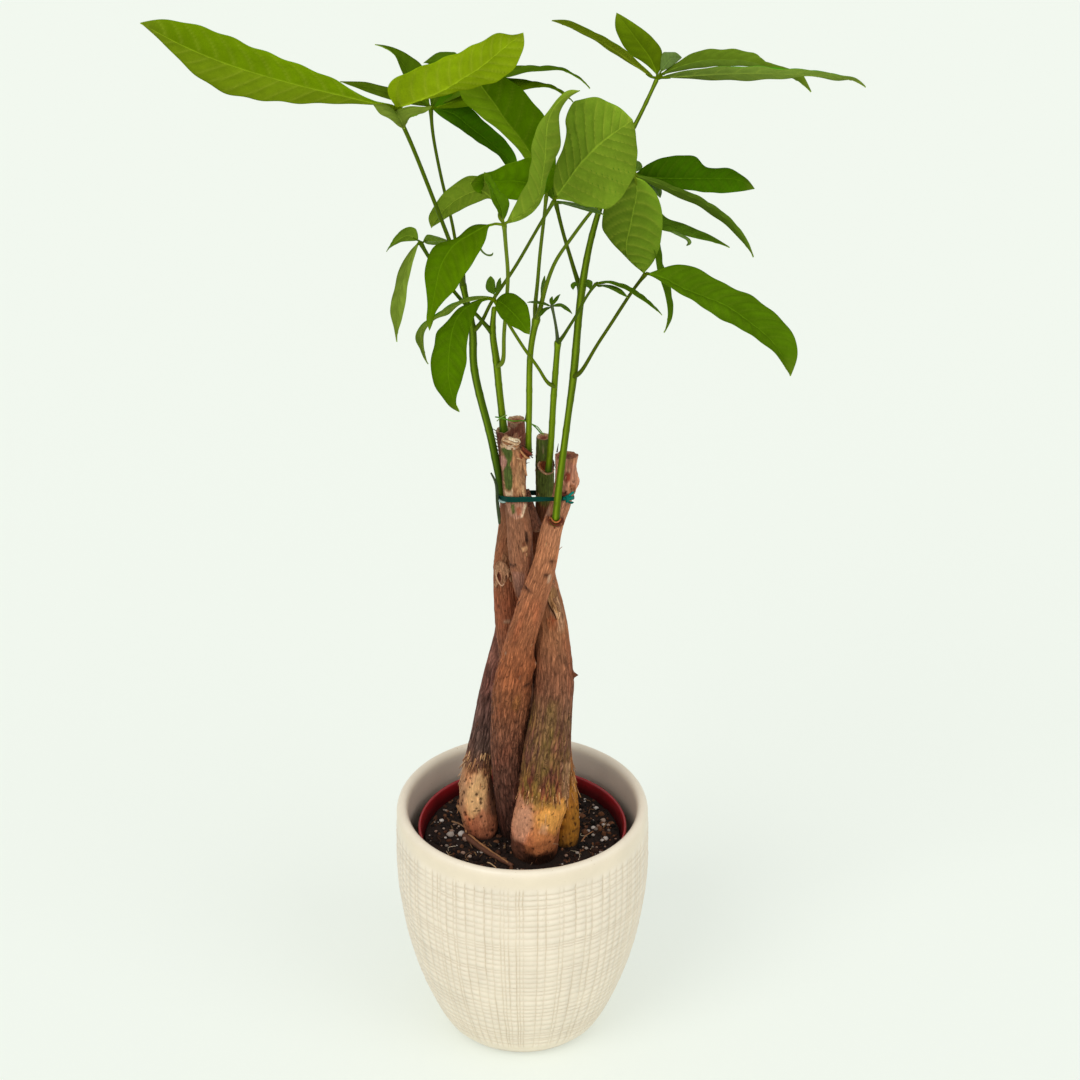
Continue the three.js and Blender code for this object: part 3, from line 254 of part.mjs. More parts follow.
// ---------------------------------------------------------------- solids
function solid(g) {
  const h = g.clone();
  for (const k of Object.keys(h.attributes)) if (k !== 'position') h.deleteAttribute(k);
  const m = mergeVertices(h, 1e-4);
  const p = m.attributes.position.array, t = Array.from(m.index.array);
  const keep = [];
  let vol = 0;
  for (let i = 0; i < t.length; i += 3) {
    const [a, b, c] = [t[i], t[i + 1], t[i + 2]];
    if (a === b || b === c || a === c) continue;
    keep.push(a, b, c);
    vol += (p[3 * a] * (p[3 * b + 1] * p[3 * c + 2] - p[3 * b + 2] * p[3 * c + 1])
      - p[3 * a + 1] * (p[3 * b] * p[3 * c + 2] - p[3 * b + 2] * p[3 * c])
      + p[3 * a + 2] * (p[3 * b] * p[3 * c + 1] - p[3 * b + 1] * p[3 * c])) / 6;
  }
  if (vol < 0) for (let i = 0; i < keep.length; i += 3) [keep[i + 1], keep[i + 2]] = [keep[i + 2], keep[i + 1]];
  return new wasm.Manifold(new wasm.Mesh({
    numProp: 3, vertProperties: new Float32Array(p), triVerts: new Uint32Array(keep),
  }));
}

function largest(s) {
  const parts = s.decompose();
  let best = parts[0];
  for (const q of parts) if (q.volume() > best.volume()) best = q;
  return best;
}

function toGeometry(s) {
  const m = s.getMesh();
  return geometry(Array.from(m.vertProperties), Array.from(m.triVerts));
}

const near = (a, b) => {
  const p = a.boundingBox(), q = b.boundingBox();
  return [0, 1, 2].every((i) => p.min[i] < q.max[i] && q.min[i] < p.max[i]);
};

// Solids already placed, each with a slightly larger copy of itself.
const placed = [];
function fit(name, s) {
  let out = s;
  for (const p of placed) {
    if (!near(out, p.grown)) continue;
    if (out.intersect(p.grown).volume() < 1e-5) continue;
    out = largest(out.subtract(p.grown));
  }
  return out;
}

// ---------------------------------------------------------------- scene
const group = new THREE.Group();
const look = (color, roughness, metalness = 0) => new THREE.MeshStandardMaterial({ color, roughness, metalness });
function add(name, g, material) {
  const mesh = new THREE.Mesh(g, material);
  mesh.name = name;
  group.add(mesh);
}

// cover pot: tapered body, plain lip, flat underside
const coverOuter = [[39.5, 0.5], [42, 2], [46.4, 6.4], [51.9, 17.5], [58.3, 33.6], [63.4, 49.7], [67.3, 65.7],
  [69.9, 81.8], [72, 97.8], [72.7, 113.9], [72.5, 129.9], [72.3, 143.5], [72.1, 146], [71.1, 148.8], [69, COVER_HEIGHT]];
const coverInner = [[COVER_LIP_INNER + 1, 148.8], [COVER_LIP_INNER, 146]]
  .concat(coverOuter.filter((p) => p[1] > 17 && p[1] < 143).reverse().map((p) => [p[0] - COVER_WALL, p[1]]))
  .concat([[41, 11.5], [39, COVER_FLOOR], [0, COVER_FLOOR]]);
add('cover_pot', lathe([[0, 0], [37, 0]].concat(coverOuter, coverInner), SEG), look(0xe8dcc0, 0.45));

// nursery pot: thin tapered wall with a rim band, standing on the cover pot's floor
const wallTopR = NURSERY_RIM_R - 1.6;
const nursery = [[0, NURSERY_BASE_Z], [NURSERY_BASE_R, NURSERY_BASE_Z], [wallTopR - 0.4, NURSERY_RIM_Z - NURSERY_RIM_H],
  [NURSERY_RIM_R, NURSERY_RIM_Z - NURSERY_RIM_H], [NURSERY_RIM_R, NURSERY_RIM_Z], [wallTopR, NURSERY_RIM_Z],
  [wallTopR - NURSERY_WALL, NURSERY_RIM_Z - NURSERY_RIM_H - 0.8],
  [NURSERY_BASE_R - NURSERY_WALL, NURSERY_BASE_Z + 1.6], [0, NURSERY_BASE_Z + 1.6]];
add('nursery_pot', lathe(nursery, SEG), look(0x6a0a10, 0.35));

// trunks
const trunkLook = look(0x8a5638, 0.85);
const bark = {};
for (const [name, rows] of Object.entries(TRUNKS)) {
  const g = sweep(rows, TRUNK_SIDES);
  bark[name] = g;
  placed.push({ name, grown: solid(sweep(rows, TRUNK_SIDES, GAP + 0.05)) });
}
const trunkSolids = {};
for (const name of Object.keys(bark)) {
  const others = placed.filter((p) => p.name < name);
  let s = solid(bark[name]);
  for (const p of others) if (near(s, p.grown) && s.intersect(p.grown).volume() > 1e-5) s = largest(s.subtract(p.grown));
  trunkSolids[name] = s;
  add(name, toGeometry(s), trunkLook.clone());
}

// soil: low dome with a socket for each trunk
const innerAt = (z) => {
  const z0 = NURSERY_BASE_Z + 1.6, z1 = NURSERY_RIM_Z - NURSERY_RIM_H - 0.8;
  const r0 = NURSERY_BASE_R - NURSERY_WALL, r1 = wallTopR - NURSERY_WALL;
  return r0 + (r1 - r0) * (z - z0) / (z1 - z0);
};
const soilBase = NURSERY_BASE_Z + 1.6 + GAP;
const soilTop = innerAt(SOIL_Z) - GAP - 0.2;
let soil = solid(lathe([[0, soilBase], [innerAt(soilBase) - GAP - 0.2, soilBase], [soilTop, SOIL_Z],
  [soilTop * 0.8, SOIL_Z + SOIL_CROWN * 0.45], [soilTop * 0.45, SOIL_Z + SOIL_CROWN * 0.85], [0, SOIL_Z + SOIL_CROWN]], SEG));
for (const p of placed) soil = soil.subtract(p.grown);
add('soil', toGeometry(largest(soil)), look(0x1c0f08, 0.95));

// tie band: closed flat ring round the trunks, lower at the back
{
  const ring = (o, z) => BAND.map((p, i) => {
    const a = BAND[(i + BAND.length - 1) % BAND.length], b = BAND[(i + 1) % BAND.length];
    const nx = b[1] - a[1], ny = a[0] - b[0], l = Math.hypot(nx, ny);
    return [p[0] + (nx / l) * o, p[1] + (ny / l) * o, z - BAND_TILT * (p[1] + 15)];
  });
  const make = (o0, o1, z0, z1) => {
    const n = BAND.length, pos = [], idx = [];
    for (const r of [ring(o0, z0), ring(o1, z0), ring(o1, z1), ring(o0, z1)]) for (const p of r) pos.push(...p);
    for (let i = 0; i < n; i++) {
      const j = (i + 1) % n;
      for (let k = 0; k < 4; k++) {
        const l = (k + 1) % 4;
        idx.push(k * n + i, k * n + j, l * n + j, k * n + i, l * n + j, l * n + i);
      }
    }
    return solid(geometry(pos, idx));
  };
  const z0 = BAND_Z - BAND_H / 2, z1 = BAND_Z + BAND_H / 2;
  const band = fit('tie_band', make(0, BAND_T, z0, z1));
  add('tie_band', toGeometry(band), look(0x00705a, 0.4));
  placed.push({ name: 'tie_band', grown: make(-GAP, BAND_T + GAP, z0 - GAP, z1 + GAP) });
}

// shoots, then leaf stalks with the smallest leaflets grown on them
const green = look(0x6f9a10, 0.5);
const leafLook = look(0x3f7a05, 0.45);
const hubOf = (name) => {
  const rows = (SHOOTS[name] || STALKS[name]);
  const e = rows[rows.length - 1];
  return new THREE.Vector3(e[0], e[1], e[2]);
};
const half = (rows) => rows.filter((p, i) => i % 2 === 0);
function withSmall(name, s, grow) {
  let out = s;
  for (const leaf of Object.values(SMALL_LEAFLETS)) {
    if (leaf.on !== name) continue;
    const first = new THREE.Vector3(...leaf.m[0]);
    const rows = (SHOOTS[name] || STALKS[name]);
    // the nearest point of the stalk's centre line
    let best = null, bd = 1e9;
    for (let i = 0; i < rows.length - 1; i++) {
      const a = new THREE.Vector3(...rows[i]), b = new THREE.Vector3(...rows[i + 1]);
      const q = new THREE.Line3(a, b).closestPointToPoint(first, true, new THREE.Vector3());
      const d = q.distanceTo(first);
      if (d < bd) { bd = d; best = q; }
    }
    const small = { m: half(leaf.m), a: half(leaf.a), b: half(leaf.b) };
    out = out.add(solid(blade(small, best, 0.2, grow)));
  }
  return out;
}
// the shoot each stalk grows from, and the trunk of three shoots
const GROWS_ON = {
  stalk_a: 'shoot_1', stalk_b: 'shoot_1', stalk_d: 'shoot_1', stalk_i: 'shoot_2', stalk_j: 'shoot_2',
  stalk_k: 'shoot_4', stalk_h: 'shoot_4', stalk_l: 'shoot_4', stalk_g: 'shoot_5', stalk_n: 'shoot_5',
  stalk_sl: 'shoot_3', stalk_sr: 'shoot_3',
  shoot_3: 'trunk_3', shoot_4: 'trunk_2', shoot_5: 'trunk_1',
};
// a centre line, carried back to the centre line of what it grows from
function rooted(name, rows) {
  const on = SHOOTS[GROWS_ON[name]] || TRUNKS[GROWS_ON[name]];
  if (!on) return rows;
  const foot = new THREE.Vector3(...rows[0]), next = new THREE.Vector3(...rows[1]);
  const back = foot.clone().addScaledVector(next.sub(foot).normalize(), -3);
  let best = null, bd = 1e9;
  for (let i = 0; i < on.length - 1; i++) {
    const a = new THREE.Vector3(...on[i]), b = new THREE.Vector3(...on[i + 1]);
    const q = new THREE.Line3(a, b).closestPointToPoint(back, true, new THREE.Vector3());
    const d = q.distanceTo(back);
    if (d < bd) { bd = d; best = q; }
  }
  return [[best.x, best.y, best.z, rows[0][3] * 1.12], ...rows];
}
for (const [name, line] of [...Object.entries(SHOOTS), ...Object.entries(STALKS)]) {
  const rows = rooted(name, line);
  const sides = name.startsWith('shoot') ? 8 : 6;
  let s = withSmall(name, solid(sweep(rows, sides, 0, 0.55)), 0);
  s = fit(name, s);
  add(name, toGeometry(s), green.clone());
  placed.push({ name, grown: withSmall(name, solid(sweep(rows, sides, GAP, 0.55)), GAP) });
}

// twine over the trunk tops
{
  const s = fit('plant_twine', solid(sweep(TWINE, 6)));
  add('plant_twine', toGeometry(s), look(0x4f7a2a, 0.7));
  placed.push({ name: 'plant_twine', grown: solid(sweep(TWINE, 6, GAP)) });
}

// leaflets
for (const [name, leaf] of Object.entries(LEAFLETS)) {
  const hub = hubOf(leaf.on);
  const rows = (SHOOTS[leaf.on] || STALKS[leaf.on]);
  const hubR = rows[rows.length - 1][3] + GAP + 0.25;
  const s = fit(name, solid(blade(leaf, hub, hubR)));
  add(name, toGeometry(s), leafLook.clone());
  placed.push({ name, grown: solid(blade(leaf, hub, hubR, GAP)) });
}

export default group;
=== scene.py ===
import math
import bpy
import numpy as np
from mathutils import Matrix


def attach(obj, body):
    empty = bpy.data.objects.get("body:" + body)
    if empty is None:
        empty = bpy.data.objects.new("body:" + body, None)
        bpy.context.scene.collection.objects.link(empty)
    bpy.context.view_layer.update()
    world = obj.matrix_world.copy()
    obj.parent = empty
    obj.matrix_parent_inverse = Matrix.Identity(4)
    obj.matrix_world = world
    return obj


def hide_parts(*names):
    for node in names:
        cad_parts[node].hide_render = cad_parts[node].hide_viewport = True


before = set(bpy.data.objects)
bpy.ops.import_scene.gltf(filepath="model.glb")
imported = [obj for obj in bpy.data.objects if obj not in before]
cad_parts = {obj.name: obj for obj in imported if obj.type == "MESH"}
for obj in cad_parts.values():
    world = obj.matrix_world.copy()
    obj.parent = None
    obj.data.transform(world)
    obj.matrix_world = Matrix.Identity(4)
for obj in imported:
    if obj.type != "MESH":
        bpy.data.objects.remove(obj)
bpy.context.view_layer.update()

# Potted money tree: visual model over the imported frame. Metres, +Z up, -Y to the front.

MM = 0.001


# measured centre lines and leaf outlines, mm
# Centre lines: (x, y, z, radius) in millimetres.
TRUNKS = {
    'trunk_1': [(-2.29,2.89,113.5,8.86),(-3.43,1.35,127.5,9.29),(-4.87,-0.21,141.5,9.6),(-5.95,-1.8,155.5,9.77),(-6.87,-3.57,169.5,9.91),(-7.79,-5.61,183.5,10.07),(-7.9,-8.03,197.5,10.26),(-7.26,-10.91,211.5,10.5),(-6.38,-13.29,225.5,10.86),(-4.94,-14.81,239.5,10.91),(-2.84,-15.54,253.5,9.6),(-0.56,-15.98,267.5,8.31),(2.8,-16.37,281.5,8.09),(6.5,-16.49,295.5,7.75),(10.68,-15.44,309.5,6.99),(14.24,-12.03,323.5,6.34),(17.06,-8.38,337.5,5.88),(21.76,-5.39,351.5,5.67),(24.02,-3.18,365.5,5.66),(24.52,-1.66,378.2,5.81)],
    'trunk_2': [(8.46,-22.53,113.5,12.48),(8.46,-22.13,127.5,13.97),(9.04,-21.72,141.5,14.83),(10.7,-21.29,155.5,14.54),(12.22,-20.79,169.5,14.15),(13.04,-20.14,183.5,13.88),(14.17,-19.15,197.5,13.34),(15.88,-17.5,211.5,12.14),(17.25,-15.51,225.5,11.36),(18.25,-13.28,239.5,10.9),(17.93,-10.54,253.5,10.2),(16.83,-6.61,267.5,9.39),(14.86,-0.21,281.5,8.6),(11.16,10.67,295.5,7.69),(11.53,14.03,309.5,6.75),(12.25,13.74,323.5,5.97),(12.88,12.29,337.5,5.35),(12.9,10.92,351.5,5.14),(12.69,10.05,365.5,5.03),(12.1,9.57,383.27,4.07)],
    'trunk_3': [(25.6,-11.87,113.5,6.54),(25.96,-7.6,127.5,7.64),(25.62,-3.27,141.5,8.6),(24.09,1.25,155.5,9.1),(22.26,6.03,169.5,9.29),(20.11,11.04,183.5,9.22),(17.64,16.12,197.5,8.93),(15.25,18.53,211.5,8.65),(12.87,19.26,225.5,8.35),(10.46,18.97,239.5,8.04),(8,17.84,253.5,7.71),(5.43,15.54,267.5,7.34),(3.27,11.1,281.5,7.03),(2.24,-1.5,295.5,6.87),(0.45,-5.36,309.5,6.58),(-0.99,-7.75,323.5,6.38),(-1.9,-9.11,337.5,6.29),(-2.83,-9.8,351.5,6.21),(-4.17,-10.16,365.5,6.14),(-4.93,-10.3,379.5,6.04),(-5.25,-10.16,391.5,5.93)],
    'trunk_4': [(4.81,24.76,113.5,8.41),(4.39,23.05,127.5,8.72),(3.9,21.25,141.5,8.72),(3.29,19.22,155.5,8.72),(2.55,16.77,169.5,8.72),(1.59,13.74,183.5,8.68),(0.46,10.05,197.5,8.59),(-0.92,8.08,211.5,8.46),(-2.49,6.54,225.5,8.27),(-4.24,5.14,239.5,7.99),(-5.85,3.54,253.5,7.69),(-7.48,2.39,267.5,7.33),(-8.65,2.74,281.5,6.92),(-9.44,6.05,295.5,6.44),(-9.35,5.59,309.5,5.91),(-8.4,3.84,323.5,5.24),(-7.67,2.09,337.5,4.56),(-7.44,0.92,351.5,4.2),(-7.62,0.39,365.5,4.07),(-8.3,0.16,379.5,4.07),(-9.66,-0.16,392.88,4.07)],
    'trunk_5': [(-22.45,-1.33,113.5,7.58),(-23.48,0.69,127.5,9.38),(-25.11,2.74,141.5,9.77),(-26.08,4.84,155.5,8.6),(-25.52,7.16,169.5,8.26),(-22.33,9.81,183.5,8.25),(-19.57,12.81,197.5,8.21),(-16.77,16.05,211.5,8.12),(-13.91,19.25,225.5,7.82),(-10.58,21.83,239.5,7.52),(-7.82,23.69,253.5,7.23),(-6.85,24.27,267.5,6.88),(-6.24,22.45,281.5,6.53),(-5.69,19.93,295.5,6.2),(-5.06,17.56,309.5,5.88),(-4.44,15.48,323.5,5.56),(-3.83,13.89,337.5,5.29),(-3.1,12.72,351.5,5.13),(-2.48,11.81,365.5,5.02),(-2.5,11.03,379.5,4.89),(-2.92,10.29,393.43,4.77)],
}
STEMS = {
    'shoot_1': [(-10.07,-5.4,354.04,2.18),(-12.97,-6.6,371.59,2.09),(-16.38,-7.2,392.36,2.09),(-20.57,-8,410.58,2.09),(-24.18,-9,428.14,2.09),(-25.89,-9.5,446.48,2.09),(-25,-9.5,456.65,2.18),(-27.57,-8.5,468.65,1.8),(-29.63,-7.6,477.68,1.71),(-30.64,-7,483.87,1.61)],
    'shoot_2': [(-9.6,-0.5,393.62,2.16),(-10.85,-3,409.7,1.97),(-12.35,-6,426.51,1.88),(-12.8,-8.5,436.88,2.07),(-14.05,-10.5,448.09,1.79),(-15.59,-11.5,457.05,1.88),(-14.44,-13.5,468.83,1.41),(-14.14,-14,473.21,1.13)],
    'shoot_3': [(3.94,-7,384.84,1.75),(4.23,-6,402.17,1.67),(4.42,-5,423.01,1.67),(4.82,-4,441.85,1.6),(6.44,-4,453.86,1.67),(8.16,-4.5,461.88,1.9)],
    'shoot_4': [(15.11,2.3,368.54,1.85),(16.19,3.5,381.6,1.77),(16.97,2.8,400.53,1.69),(17.76,1.5,415.94,1.77),(18.8,-0.5,432.8,1.62),(19.73,-2,446.84,1.62)],
    'shoot_5': [(18.86,-16.8,346.7,2.11),(20.03,-16.9,361.78,2.03),(21.91,-12.8,378.15,1.95),(24.03,-11.3,395.84,1.87),(26.13,-10,413.51,1.79),(27.96,-9,427.56,2.11),(29.75,-6.53,450.97,2.03),(31.03,-3.8,466.32,1.95),(32.32,-1.66,478.32,2.18),(34.41,1.8,491.4,1.79),(36.5,5.13,502.15,1.72),(40.71,10.11,516.75,1.56),(46.46,15.69,534.52,1.4),(53.28,21.07,549.41,1.25),(59.6,25.89,559.91,1.17),(66.4,31.13,572.49,1.01),(71.39,36,582.36,1.01)],
    'stalk_a': [(-31.6,-9.2,489.32,1.2),(-34.68,-13.33,504.48,1.2),(-38.1,-17.73,517.6,1.12),(-48.3,-28.22,553.37,1.07),(-58.75,-38.08,587.47,1.12),(-63.18,-43,600.39,1.29)],
    'stalk_b': [(-29.99,-4.6,487.64,1.04),(-33.2,-0.35,498.22,0.96),(-35.06,4.87,506.86,0.89),(-40.31,14.84,527.82,0.85),(-45.09,26.45,546.85,0.85),(-46.97,32.94,556.66,0.89),(-47.61,38,564.81,1.04)],
    'stalk_d': [(-21.74,-10.5,461.43,1.09),(-18.66,-10.74,468.96,0.95),(-13.29,-11.11,479.75,0.95),(-5.82,-12.91,492.39,0.91),(3.21,-19.51,511.91,0.88),(11.06,-27.03,530.45,0.88),(17.14,-33,544.36,1.02)],
    'stalk_i': [(-10.02,-13.2,439.37,1.21),(-9.14,-15.22,452.4,1.06),(-8.36,-18.15,467.56,1.06),(-7.17,-24.27,486.52,1.03),(-6.53,-31.58,501.19,1.03),(-7.41,-41.12,521.94,1.03),(-8.14,-50,538.69,1.14)],
    'stalk_j': [(-17.21,-12.5,460.85,1.17),(-22.67,-15.74,469.9,1.01),(-29.4,-19.88,479.06,1.01),(-37.6,-24.42,492.44,0.98),(-44.18,-27.78,504.26,0.98),(-48.18,-30.35,512.16,0.98),(-51.63,-33,520.63,1.09)],
    'stalk_k': [(15.58,-2.8,421.55,1.02),(10.72,-7.7,432.3,0.88),(5.38,-12.75,443.35,0.88),(-4.11,-21.99,464.17,0.84),(-9.82,-27.24,477.44,0.84),(-13.17,-30,485.56,0.95)],
    'stalk_h': [(21.67,-5.6,451.13,1.01),(25.45,-10.33,460.39,0.86),(29.63,-15.61,470.49,0.79),(33.51,-19.24,480.86,0.75),(37.35,-22.13,489,0.75),(39.39,-24,492.63,0.83)],
    'stalk_g': [(30.75,-13.6,433.4,1.14),(37.09,-13.68,444.86,0.96),(46.5,-15.95,463.03,0.92),(55.79,-19.24,481.22,0.92),(61.9,-22.07,492.57,0.92),(65.19,-24,498.17,1.06)],
    'stalk_sl': [(7.36,-1.6,465.22,1.22),(8,1.56,471.98,1.08),(9.86,8.81,490.94,0.97),(11.73,17.36,505.7,0.94),(13.06,23.05,516.51,0.94),(13.49,25,520.29,1.01)],
    'stalk_sr': [(10.29,-6.2,468.68,1.27),(11.78,-6.44,477.1,1.27),(13.89,-6.51,484.81,1.12),(18.64,-7.06,498.59,0.98),(24.41,-7.72,508.24,0.94),(36.89,-10.52,528.1,0.9),(49.23,-14.41,543.67,0.9),(57.92,-17,552.37,1.05)],
    'stalk_l': [(19.55,-3,451,0.91),(18.62,-3.5,458.44,0.75),(17.38,-4,465.86,0.75),(16.62,-4.5,469.68,0.75)],
    'stalk_n': [(31.3,4.57,477.65,1.38),(28.99,5.91,484.1,1.2),(26.85,8.6,491.06,1.06),(24.18,12.09,498.81,1.01),(20.98,17.26,509.27,1.01),(18.86,22,517.01,1.1)],
}
